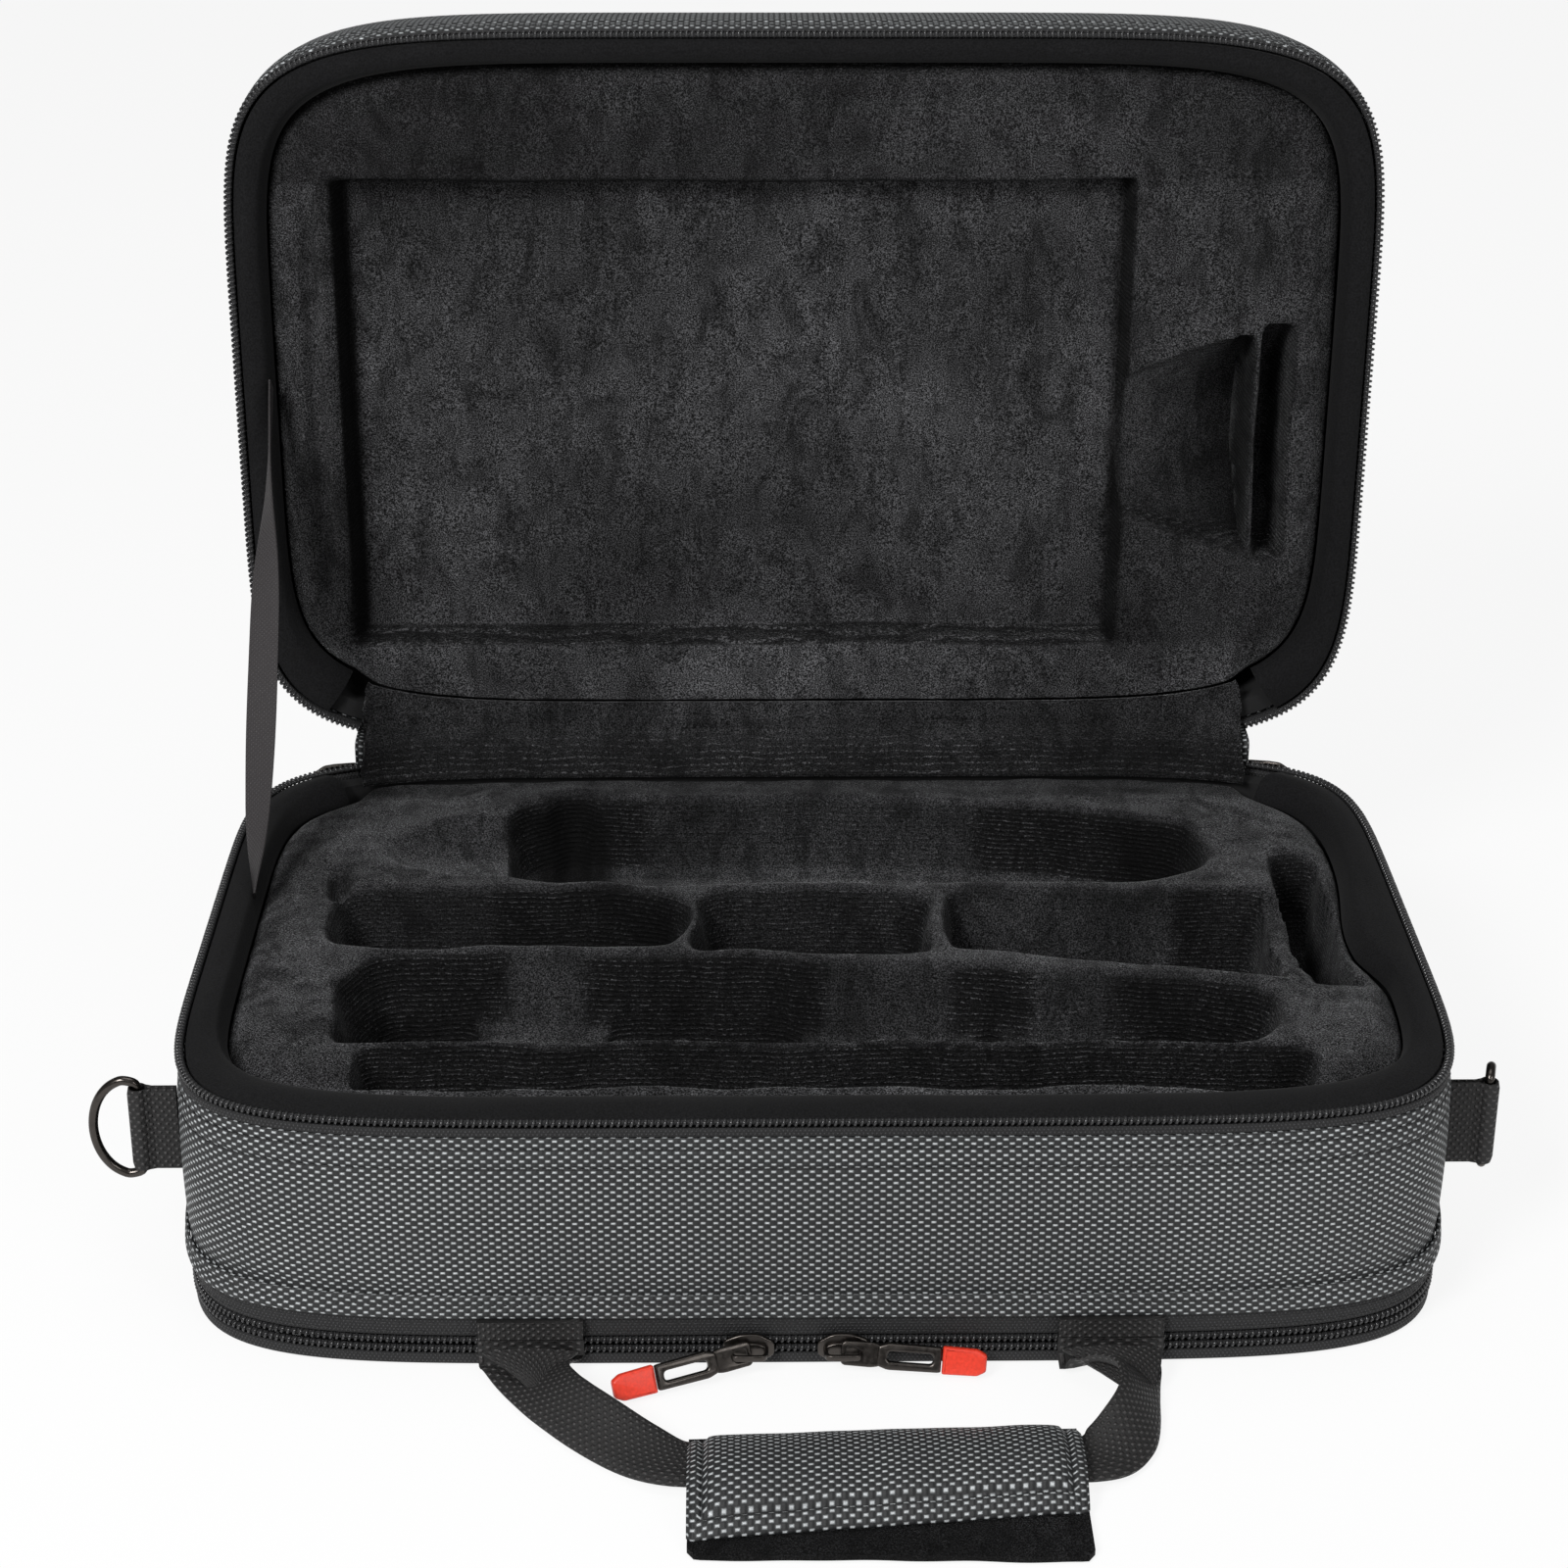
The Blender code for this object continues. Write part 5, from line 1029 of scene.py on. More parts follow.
def dense_lines(low, high, step, places, fine, spread):
    """Grid lines that crowd together near given places."""
    samples = np.linspace(low, high, 4001)
    density = np.full(samples.shape, 1 / step)
    for place in places:
        density += (1 / fine - 1 / step) * np.exp(-((samples - place) / spread) ** 2)
    density = np.minimum(density, 1 / fine)
    total = np.concatenate([[0], np.cumsum((density[1:] + density[:-1]) / 2 * np.diff(samples))])
    return np.interp(np.linspace(0, total[-1], round(total[-1]) + 1), total, samples)


def field_grid(half_width, half_depth, offset, across_x, across_y, bulge=None):
    """A grid over a rounded plan whose outermost lines follow its outline."""
    a = across_x[None, :] / half_width
    b = across_y[:, None] / half_depth
    size = np.maximum(np.abs(a), np.abs(b))
    with np.errstate(divide="ignore", invalid="ignore"):
        edge_a = np.where(size > 0, a / size, 0)
        edge_b = np.where(size > 0, b / size, 0)
    norm = np.abs(edge_a) ** PLAN_POWER + np.abs(edge_b) ** PLAN_POWER
    pull = np.where(size > 0, norm, 1) ** (-1 / PLAN_POWER)
    scale = 1 + (pull - 1) * smoothstep((size - 0.55) / 0.45)
    x = a * scale * half_width
    y = b * scale * half_depth
    if bulge is not None:
        x = x * (1 + bulge(y + offset) * smoothstep((a - 0.75) / 0.25))
    return x, y + offset, size


def closed_field(name, top, skirt_z, flip):
    """A closed block under a grid surface: the surface, a skirt down from its edge and a flat back."""
    rows, columns = top.shape[:2]
    index = np.arange(rows * columns).reshape(rows, columns)
    faces = np.stack([index[:-1, :-1], index[:-1, 1:], index[1:, 1:], index[1:, :-1]], axis=-1).reshape(-1, 4)
    rim = np.concatenate([index[0, :-1], index[:-1, -1], index[-1, :0:-1], index[:0:-1, 0]])
    verts = top.reshape(-1, 3)
    skirt = verts[rim].copy()
    skirt[:, 2] = skirt_z
    base = len(verts)
    count = len(rim)
    middle = np.array([[skirt[:, 0].mean(), skirt[:, 1].mean(), skirt_z]])
    ring = np.arange(count)
    after = (ring + 1) % count
    sides = np.stack([rim, rim[after], base + after, base + ring], axis=-1)
    back = [(base + int(k), base + int(m), base + count) for k, m in zip(ring, after)]
    mesh = bpy.data.meshes.new(name)
    points = np.vstack([verts, skirt, middle])
    if flip:
        points = opened(points)
    mesh.from_pydata(points.tolist(), [], faces.tolist() + sides.tolist() + back)
    return tidy(mesh, 60)


def mark_stretch(mesh, up):
    """Store how far the plush is pulled thin, which is where it goes down a wall; the plush's finish paints
    these places darker, partly as thinned pile and partly as painted shade in the wells.
    """
    normals = np.zeros(len(mesh.vertices) * 3, np.float32)
    mesh.vertex_normals.foreach_get("vector", normals)
    facing = np.abs(normals.reshape(-1, 3) @ np.array(up, float))
    layer = mesh.attributes.new("stretch", "FLOAT", "POINT")
    layer.data.foreach_set("value", smoothstep((0.80 - facing) / 0.4).astype(np.float32))


def paint(mesh, name, rule):
    """Store a value for each point of a mesh, worked out from its place."""
    spots = np.zeros(len(mesh.vertices) * 3, np.float32)
    mesh.vertices.foreach_get("co", spots)
    x, y, z = spots.reshape(-1, 3).T
    layer = mesh.attributes.get(name)
    held = np.zeros(len(mesh.vertices), np.float32)
    if layer is None:
        layer = mesh.attributes.new(name, "FLOAT", "POINT")
    else:
        layer.data.foreach_get("value", held)
    layer.data.foreach_set("value", rule(x, y, z, held).astype(np.float32))


# Patches of the base's plush in mm: left, right, front, back, how much of the darkening of steep places it is
# spared, which is painted light on the lit parts of the wells, and how much darker it is painted inside the
# wells as painted shade, lighter as painted light where negative
PATCHES = (
    (-146, -96, 30, 98, 0.95, 0.0), (-56, 62, 28, 106, 0.60, 0.0), (-150, -95, -14, 34, 0.45, 0.0),
    (-36, 38, -16, 34, 0.35, 0.0), (43, 120, -28, 36, 0.78, -0.55), (-96, -64, -72, -8, 0.80, 0.0),
    (0, 46, -72, -10, 0.75, 0.0), (62, 94, -72, -16, 0.65, 0.0), (-70, 20, -98, -70, 0.20, 0.0),
    (120, 170, -40, 60, 0.25, 0.3), (-94, -60, 28, 106, 0.20, 0.88), (-57, -37, -14, 32, 0.0, 0.75),
    (24, 40, -16, 32, 0.0, 0.5), (100, 136, 28, 96, 0.0, 0.6), (94, 138, -72, -26, 0.0, 0.4),
    (128, 147, -98, -70, 0.0, 0.6), (-142, -98, -72, -10, 0.0, 0.35), (146, 166, -36, 56, 0.0, 0.6),
)


def patched(x, y, place):
    """The strongest patch at each point, faded in over its border."""
    total = 0 * x
    for patch in PATCHES:
        left, right, front, back = [edge / 1000 for edge in patch[:4]]
        inside = np.minimum(np.minimum(x - left, right - x), np.minimum(y - front, back - y))
        share = patch[place] * smoothstep(inside / 0.008)
        total = np.where(np.abs(share) > np.abs(total), share, total)
    return total


def painted_light_in_wells(x, y, z, held):
    """The stretch value that is left where a patch spares the plush the darkening of steep places: painted
    light on the lit parts of the wells.
    """
    return held * (1 - patched(x, y, 4))


def base_pile_and_painted_light(x, y, z, held):
    """Painted light and shade on the base's plush, partly how its pile lies: a little darker on top, lighter
    on the front border as painted light, darker on the back edge as painted shadow of the hinge flap, and in
    the wells darker or lighter patch by patch as painted shade and light, darkest in the ends of the wells.
    """
    down = smoothstep((0.0765 - z) / 0.004)
    level = -0.14 + 0.45 * smoothstep((-0.094 - y) / 0.004) - 0.40 * smoothstep((y - 0.090) / 0.008)
    return level * (1 - down) - patched(x, y, 5) * down


def flap_stretch_and_painted_shade(x, y, z, held):
    """The flap is left light at the lid and painted darker where it folds onto the base: partly pile pulled
    thin, partly painted shade at its low edge.
    """
    return 0.15 + 0.65 * smoothstep((0.094 - z) / 0.013)


def lid_pile_and_painted_light(x, y, z, held):
    """Painted light and shade on the lid's plush, partly how its pile lies: lighter towards the right,
    lighter in the recess and lighter still on the border below it, which faces up to the light, darker on the
    border above it, and dark on the recess walls and in the bell's dish as painted shade.
    """
    v = HINGE.z + HINGE.y - z
    fade = 0.004
    above = smoothstep((-0.070 - v) / 0.005)
    below = smoothstep((v - 0.083) / 0.005)
    inside = (1 - above) * (1 - below) * smoothstep((0.104 - x) / fade) * smoothstep((x + 0.149) / fade)
    upright = smoothstep((0.088 - v) / fade) * smoothstep((v + 0.076) / fade)
    level = smoothstep((0.107 - x) / fade) * smoothstep((x + 0.153) / fade)
    walls = (np.exp(-((x - 0.1035) / 0.0026) ** 4) + np.exp(-((x + 0.1488) / 0.0024) ** 4)) * upright
    walls += np.exp(-((v + 0.0718) / 0.0020) ** 4) * level
    dish = smoothstep((x - 0.112) / 0.034) * smoothstep((0.1475 - x) / 0.001)
    dish = dish * smoothstep((0.036 - np.abs(v - BELL_MIDDLE_LID)) / fade)
    # Painted light and shade: lighter to the right and below the recess, darker above it, and darker on the
    # walls and in the dish.
    lie = 0.28 * np.clip(x / 0.17, -1, 1) - 0.34 * above + 0.75 * below + 0.34 * inside
    return np.maximum(lie - 0.85 * np.minimum(walls, 1) - 0.75 * dish, -0.9)


def lining_painted_shade(x, y, z, held):
    """The lining under the wrap is painted much darker: painted shade under the grip."""
    return held - 0.82


def right_bulge(y):
    """The S-shaped step of the plush's right edge, as a share of its width."""
    step = smoothstep((-0.012 - y) / 0.026)
    return 0.007 * step - 0.028 * (1 - step) * np.exp(-((y + 0.001) / 0.03) ** 2) - 0.009 * (1 - step)


# Smaller wells of the base, as above: rib beside the bell, tail of its slot and the notch on the left
SMALL_WELLS = (
    (((136, -26), (151, -26), (151, 22), (136, 22)), 7, 6, 3.0),
    (((150, -36), (166, -35), (166, -30), (150, -29)), 9, 5, 2.0),
    (((-150, 20), (-145, 20), (-145, 39), (-150, 39)), 10, 5, 2.0),
)
BELL_SLOT = ((149, -31), (162, -31), (162, 51), (149, 51))


def well_drops(u, v, wells):
    """Depth of each well of a table."""
    return [well_drop(inside_distance(u, v, outline, soften), depth * 0.001, reach * 0.001)
            for outline, depth, reach, soften in wells]


def make_base_insert():
    """Plush over moulded foam with the wells for the joints, mouthpiece, barrel, bell and small things."""
    wave = case_sizes().tuft_wave
    half_w, half_d = INSERT_WIDTH / 2, INSERT_DEPTH / 2
    lines_x = np.linspace(-half_w, half_w, 344)
    lines_y = np.linspace(-half_d, half_d, 258)
    x, y, size = field_grid(half_w, half_d, INSERT_OFFSET, lines_x, lines_y, right_bulge)
    u = x + 0.0012 * ripple(x, y, 0.03, 43)
    v = y + 0.0010 * ripple(x, y, 0.045, 44)
    drops = [0 * x] + well_drops(u, v, BASE_WELLS)
    drops.append(bell_drop(u, v, 0.043, 0.1432, 0.023, 0.0430, BELL_MIDDLE, 0.0, 0.0235))
    bell_rim = np.sqrt(np.clip(0.0445 ** 2 - (v - BELL_MIDDLE) ** 2, 0, None))
    slot = well_drop(inside_distance(u, v, BELL_SLOT, 2.5), 0.043, 0.0045)
    drops.append(np.minimum(slot, bell_rim))
    drops += well_drops(u, v, SMALL_WELLS)
    meeting, deepest = 0.0007, 0.0335
    highest = np.max(drops, axis=0)
    drop = soft_max(drops, meeting) - meeting * math.log(len(drops)) * np.exp(-highest / 0.0012)
    edge = (1 - size) * half_d
    at_flap = smoothstep((y - 0.080) / 0.014) * smoothstep((0.153 - np.abs(x)) / 0.010)
    roll = 0.0052 * (1 - np.clip(edge / 0.0085, 0, 1)) ** 2.4 * (1 - at_flap)
    crown = wave * ripple(x, y, 0.035, 41) + 0.45 * wave * ripple(x, y, 0.012, 42)
    rise = 0.0015 * smoothstep(edge / 0.016)
    z = INSERT_TOP - np.clip(drop, 0, None) - roll + crown - wave + rise
    mesh = closed_field("base_insert_plush", np.stack([x, y, np.maximum(z, deepest)], axis=-1), 0.0242, False)
    mark_stretch(mesh, (0, 0, 1))
    paint(mesh, "stretch", painted_light_in_wells)
    paint(mesh, "lie", base_pile_and_painted_light)
    piece = add_piece("base_insert_plush", mesh, "plush", "base", ["base_insert"])


# Lid recess: left, right, top and bottom edge; and the profile of its wall by the distance inside it
RECESS = (-0.1505, 0.105, -0.0728, 0.0853)
LID_WALL = np.array((-1.2, -0.4, 0.2, 2.0, 2.7, 3.6)) * 0.001
LID_WALL_DROP = np.array((0.0, 0.35, 1.6, 11.6, 12.8, 13.0)) * 0.001


def hump(distance, width):
    """A rounded rise of 1 with soft feet."""
    return np.exp(-(distance / width) ** 2)


def make_lid_insert():
    """Plush over moulded foam in the lid, with the long recess and the bell's dish and slot."""
    wave = case_sizes().tuft_wave
    half_w, half_d = LID_INSERT_WIDTH / 2, LID_INSERT_DEPTH / 2
    left, right, low, high = RECESS
    wall, fine, spread = 0.001, 0.0005, 0.003
    edges_x = [left + wall, right - wall, 0.148, 0.159]
    edges_y = [low + wall - LID_INSERT_OFFSET, high - wall - LID_INSERT_OFFSET]
    lines_x = dense_lines(-half_w, half_w, 0.0014, edges_x, fine, spread)
    lines_y = dense_lines(-half_d, half_d, 0.0013, edges_y, fine, spread)
    x, y, size = field_grid(half_w, half_d, LID_INSERT_OFFSET, lines_x, lines_y)
    u = x + 0.0006 * ripple(x, y, 0.05, 53)
    v = y + 0.0006 * ripple(x, y, 0.06, 54)
    corners = [(a * 1000, b * 1000) for a, b in ((left, low), (right, low), (right, high), (left, high))]
    recess = inside_distance(u, v, corners, 0.9)
    shifts = np.array((-0.25, 0.0, 0.25)) * 0.001
    floor = sum(np.interp(recess + shift, LID_WALL, LID_WALL_DROP) for shift in shifts) / len(shifts)
    lift = np.interp(u, (0.099, 0.1455), (0.024, 0.010))
    dish = bell_drop(u, v, 0.0975, 0.1470, 0.0312, 0.0385, BELL_MIDDLE_LID, lift, reach=0.007)
    slot = inside_distance(u, v, ((149.5, -25), (159, -25), (159, 55), (149.5, 55)), 2.0)
    bell_rim = np.sqrt(np.clip(0.0425 ** 2 - (v - BELL_MIDDLE_LID) ** 2, 0, None)) * 0.8
    meeting, deepest = 0.0005, 0.0325
    drops = [0 * x, floor, dish, np.minimum(well_drop(slot, 0.031, 0.005), bell_rim)]
    drop = soft_max(drops, meeting)
    drop -= meeting * math.log(len(drops)) * np.exp(-drop / 0.001)
    beside = x - left
    ridge = 0.0015 * hump(beside + 0.0042, 0.0022) - 0.0016 * hump(beside + 0.0082, 0.0020)
    ridge += 0.0020 * hump(beside + 0.0130, 0.0030) * smoothstep((y + 0.060) / 0.03)
    ridge *= smoothstep((0.085 - np.abs(y)) / 0.02)
    folds = 0.0016 * hump(x - 0.166 + 0.25 * (y + 0.02), 0.005) * hump(y + 0.055, 0.03)
    folds += 0.0010 * hump(y + 0.098 + 0.05 * x, 0.003) * hump(x - 0.05, 0.05)
    edge = (1 - size) * half_d
    at_flap = smoothstep((y - 0.080) / 0.012) * smoothstep((0.153 - np.abs(x)) / 0.010)
    roll = 0.0052 * (1 - np.clip(edge / 0.0050, 0, 1)) ** 2.2 * (1 - at_flap)
    crown = wave * ripple(x, y, 0.045, 51) + 0.4 * wave * ripple(x, y, 0.013, 52)
    z = LID_FACE + np.clip(drop, 0, deepest) + roll - crown + wave - ridge + folds
    mesh = closed_field("lid_insert_plush", np.stack([x, y, z], axis=-1), 0.1195, True)
    mark_stretch(mesh, (0, 1, 0))
    paint(mesh, "lie", lid_pile_and_painted_light)
    piece = add_piece("lid_insert_plush", mesh, "plush", "lid", ["lid_insert"])


def back_edge(half_width, half_depth, offset, x):
    """Back edge of a plan at some X."""
    share = np.clip(np.abs(x / half_width), 0, 1)
    return offset + half_depth * (1 - share ** PLAN_POWER) ** (1 / PLAN_POWER)


def sheet_section(grid, thickness):
    """Give a grid sheet two sides: rows along it, and the section goes out on one side and back."""
    along = np.gradient(grid, axis=0)
    across = np.gradient(grid, axis=1)
    half = unit(np.cross(along, across)) * thickness / 2
    return np.concatenate([grid + half, (grid - half)[:, ::-1]], axis=1)


def make_hinge_flap():
    """Plush flap inside the hinge."""
    bends = np.array(((0.0, 0.0), (0.03, 0.25), (0.14, 0.50), (0.45, 0.70), (0.72, 0.87), (1.0, 1.0)))
    path = resample(spline(bends, 8), 30)
    x = np.linspace(-0.1478, 0.1478, 150)
    thickness, gap = 0.0012, 0.0003
    lid_face = HINGE.y + LID_FACE - HINGE.z - gap - thickness
    base_top = INSERT_TOP + gap + thickness
    base_edge = back_edge(INSERT_WIDTH / 2, INSERT_DEPTH / 2, INSERT_OFFSET, x)
    lid_edge = HINGE.z + HINGE.y - back_edge(LID_INSERT_WIDTH / 2, LID_INSERT_DEPTH / 2, LID_INSERT_OFFSET, x)
    share_y = path[:, 0][None, :]
    share_z = path[:, 1][None, :]
    grid = np.zeros((len(x), len(path), 3))
    grid[..., 0] = x[:, None]
    grid[..., 1] = lid_face + (base_edge[:, None] - lid_face) * share_y
    grid[..., 2] = lid_edge[:, None] + (base_top - lid_edge[:, None]) * share_z
    crease = 0.0009 * np.sin(share_z * 3.4 * math.pi + 0.8 * ripple(x[:, None], 0 * share_z, 0.11, 61))
    crease = crease * np.sin(math.pi * share_z) + 0.0005 * ripple(x[:, None], share_z * 0.03, 0.022, 62)
    grid[..., 1] -= (crease + 0.0006) * np.sin(math.pi * share_z)
    fray = 0.0012 * ripple(share_z * 0.02, 0 * share_z, 0.006, 63)
    grid[0, :, 0] += fray[0]
    grid[-1, :, 0] -= fray[0]
    mesh = skin("hinge_flap_plush", sheet_section(grid, thickness), smooth=70)
    paint(mesh, "stretch", flap_stretch_and_painted_shade)
    flap = add_piece("hinge_flap_plush", mesh, "plush", None, ["hinge_plush_flap"],
                     ("base", "lid", (0, 0.112, 0.0785), (0, 0.1245, 0.1010)))


def make_hinge_panel():
    """Panel of shell cloth outside the hinge, sewn to the backs of base and lid."""
    x = np.linspace(-0.1515, 0.1515, 100)
    near = back_edge(CASE_WIDTH / 2, CASE_DEPTH / 2, 0.0, x) + 0.0003
    low, back, corner, half_cloth = 0.0632, 0.1412, 0.0035, 0.0005
    rows = []
    for place, edge in zip(x, near):
        centre = edge + half_cloth
        middle = HINGE.z + HINGE.y - edge - half_cloth
        line = [(centre, low), (centre, low + 0.012), (centre, middle - corner)]
        line += [(centre + corner * (1 - math.cos(a)), middle - corner + corner * math.sin(a))
                 for a in np.linspace(0.25, math.pi / 2 - 0.25, 6)]
        line += [(centre + corner, middle), (back - 0.008, middle), (back, middle)]
        rows.append([(place, a, b) for a, b in resample(np.array(line), 24)])
    mesh = skin("hinge_panel_weave", sheet_section(np.array(rows), 2 * half_cloth), smooth=70)
    panel = add_piece("hinge_panel_weave", mesh, "weave", None, ["hinge_outer_panel"],
                      ("base", "lid", (0, 0.1225, 0.0790), (0, 0.1300, 0.0865)))


def make_stay():
    """Twill ribbon that holds the lid, sewn to both left edges."""
    half_width, half_thickness, sag = 0.005, 0.0004, 0.004
    x = -(INSERT_WIDTH / 2 + 0.0015)
    start = np.array([x, 0.019, RIM_HEIGHT - 0.0018])
    end = np.array([x, HINGE.y + 0.0018, HINGE.z + 0.130])
    along = (end - start) / np.linalg.norm(end - start)
    flat = np.cross(along, [1.0, 0, 0])
    twists = np.array(((0.0, 0), (0.12, 50), (0.35, 78), (0.62, 70), (0.80, 14), (1.0, 0)))
    share = np.linspace(0, 1, 60)
    angle = np.radians(np.interp(share, twists[:, 0], twists[:, 1]))
    angle = np.convolve(np.pad(angle, 4, mode="edge"), np.ones(9) / 9, mode="valid")
    centre = start + (end - start) * share[:, None]
    centre[:, 2] -= sag * 4 * share * (1 - share)
    side = flat[None, :] * np.cos(angle)[:, None] + np.cross(along, flat)[None, :] * np.sin(angle)[:, None]
    section = [(a * half_width, half_thickness * (0.5 if abs(a) > 0.98 else 1))
               for a in np.linspace(1, -1, 9)]
    section += [(-a, -b) for a, b in section]
    grid = np.array([[c + s * a + n * b for a, b in section]
                     for c, s, n in zip(centre, side, np.cross(along, side))])
    mesh = skin("stay_ribbon_twill", grid, along=lengths_along(centre), smooth=70)
    ribbon = add_piece("stay_ribbon_twill", mesh, "ribbon", None, ["stay_ribbon"],
                       ("base", "lid", tuple(start), tuple(end)))


def make_pocket():
    """Stiffened pocket floor in shell cloth and the strip behind the pocket."""
    run = unit_outline(None, None, 0.004)
    inset, top, seam = 0.0026, 0.0030, 0.006
    loops = pole_columns(0.0001, inset + seam, (0.0, 0.5, 0.9, 1.0))
    loops += case_loops(((inset + 0.0013, 0.0), (inset + 0.0006, 0.0003), (inset + 0.0001, 0.0010),
                         (inset, 0.0020), (inset + 0.0002, 0.0027), (inset + 0.0008, top)))
    loops += pole_columns(top, inset + seam, (1.0, 0.9, 0.5, 0.0))
    mesh = skin("pocket_floor_weave", sweep(run, loops), ring=True, tube=False, along=run_lengths(run, True),
                flat=((0, 4), (9, 13)))
    add_piece("pocket_floor_weave", mesh, "weave", "pocket_floor", ["pocket_panel"])

    inset = 0.0016
    x = np.linspace(-0.1508, 0.1508, 80)
    y = back_edge(CASE_WIDTH / 2 - inset, CASE_DEPTH / 2 - inset, 0.0, x)
    z = np.linspace(0.0033, 0.01694, 8)
    grid = np.zeros((len(x), len(z), 3))
    grid[..., 0] = x[:, None]
    grid[..., 1] = y[:, None] + 0.0002 * np.sin(math.pi * (z - z[0]) / (z[-1] - z[0]))[None, :]
    grid[..., 2] = z[None, :]
    mesh = skin("pocket_back_weave", sheet_section(grid, 0.0013), smooth=70)
    add_piece("pocket_back_weave", mesh, "weave", "base", ["pocket_back_wall"])


def rounded(outline, radius, steps=4):
    """Round the corners of a closed outline."""
    points = np.array(outline, float)
    made = []
    for before, corner, after in zip(np.roll(points, 1, axis=0), points, np.roll(points, -1, axis=0)):
        back, ahead = before - corner, after - corner
        reach = min(radius, 0.45 * np.linalg.norm(back), 0.45 * np.linalg.norm(ahead))
        a = corner + back / np.linalg.norm(back) * reach
        b = corner + ahead / np.linalg.norm(ahead) * reach
        for t in np.linspace(0, 1, steps + 1):
            made.append((1 - t) ** 2 * a + 2 * t * (1 - t) * corner + t * t * b)
    return made


def plate(name, outlines, thickness, bevel):
    """A flat plate with bevelled edges, from an outline and its holes, centred on its thickness."""
    curve = bpy.data.curves.new(name, "CURVE")
    curve.dimensions = "2D"
    curve.fill_mode = "BOTH"
    curve.extrude = thickness / 2 - bevel
    curve.bevel_depth = bevel
    curve.bevel_resolution = 2
    curve.offset = -bevel
    for outline in outlines:
        spline_made = curve.splines.new("POLY")
        spline_made.points.add(len(outline) - 1)
        for point, (x, y) in zip(spline_made.points, outline):
            point.co = (x, y, 0, 1)
        spline_made.use_cyclic_u = True
    holder = bpy.data.objects.new(name, curve)
    bpy.context.scene.collection.objects.link(holder)
    mesh = bpy.data.meshes.new_from_object(holder.evaluated_get(bpy.context.evaluated_depsgraph_get()))
    bpy.data.objects.remove(holder, do_unlink=True)
    return tidy(mesh, 40, 0.00002)


def joined(name, meshes, smooth=40):
    """One mesh from several closed ones."""
    bm = bmesh.new()
    for mesh in meshes:
        bm.from_mesh(mesh)
    made = bpy.data.meshes.new(name)
    bm.to_mesh(made)
    bm.free()
    made.shade_smooth()
    made.set_sharp_from_angle(angle=math.radians(smooth))
    return made


def mirrored(half):
    """A closed outline from its upper half."""
    return list(half) + [(x, -y) for x, y in reversed(half)]


def slider_mesh():
    """Slider body with its flared shoulders, side flanges and the bridge that holds the pull."""
    wing = rounded(mirrored([(-0.00725, 0.0021), (-0.0030, 0.0046), (0.0022, 0.0046), (0.0050, 0.0036),
                             (0.00725, 0.0025)]), 0.0012)
    body = plate("slider_wing", [wing], 0.0014, 0.0005)
    body.transform(Matrix.Translation((0, 0, 0.0007)))
    rise = rounded(mirrored([(-0.0050, 0.0012), (-0.0022, 0.0022), (0.0026, 0.0022), (0.0052, 0.0012)]),
                   0.0008)
    block = plate("slider_block", [rise], 0.0012, 0.0004)
    block.transform(Matrix.Translation((0, 0, 0.0017)))
    bar = [(-0.0050, 0.0, 0.0008), (-0.0049, 0.0, 0.0040), (-0.0043, 0.0, 0.0056), (-0.0030, 0.0, 0.0060),
           (0.0030, 0.0, 0.0060), (0.0043, 0.0, 0.0056), (0.0049, 0.0, 0.0040), (0.0050, 0.0, 0.0008)]
    path = resample(spline(np.array(bar), 5), 30)
    side = ring_frame(path, False, up=(0, 1, 0))[1]
    thick, wide = 0.0006, 0.0009
    section = np.array(rounded([(-thick, -wide), (thick, -wide), (thick, wide), (-thick, wide)], 0.0004, 3))
    grid = (path[:, None, :] + section[None, :, 0:1] * side[:, None, :]
            + section[None, :, 1:2] * np.array([0, 1.0, 0])[None, None, :])
    bridge = skin("slider_bridge", grid, smooth=50)
    return joined("slider", [body, block, bridge])


def pull_mesh():
    """Bevelled pull: a thin neck with the eye, then a thick blade with the round-ended window."""
    length = 0.0277
    neck = rounded(mirrored([(-0.0007, 0.0027), (0.0002, 0.0035), (0.0080, 0.0036), (0.0105, 0.0031)]),
                   0.0009)
    eye = rounded([(0.0007, -0.0020), (0.0007, 0.0020), (0.0046, 0.0018), (0.0046, -0.0018)], 0.0014)
    ring = plate("pull_neck", [neck, eye], 0.0015, 0.00045)
    blade = rounded(mirrored([(0.0096, 0.0029), (0.0126, 0.0039), (0.0268, 0.0037), (length, 0.0035)]),
                    0.0008)
    slot = rounded([(0.0124, -0.0015), (0.0124, 0.0015), (0.0254, 0.0015), (0.0254, -0.0015)], 0.0015, 6)
    body = plate("pull_blade", [blade, slot], 0.0024, 0.0007)
    return joined("pull", [ring, body])


def tip_mesh():
    """Soft moulded tip with chamfered edges and corners, its broad sides left bare."""
    start = 0.0280
    outline = rounded(mirrored([(start, 0.0037), (start + 0.0004, 0.0040), (start + 0.0100, 0.0038),
                                (start + 0.0125, 0.0024)]), 0.0007)
    return plate("tip", [outline], 0.0030, 0.0009)


def placement(x_axis, y_axis, point):
    """A matrix from two directions at right angles and a point."""
    matrix = Matrix((x_axis, y_axis, x_axis.cross(y_axis))).transposed().to_4x4()
    matrix.translation = point
    return matrix


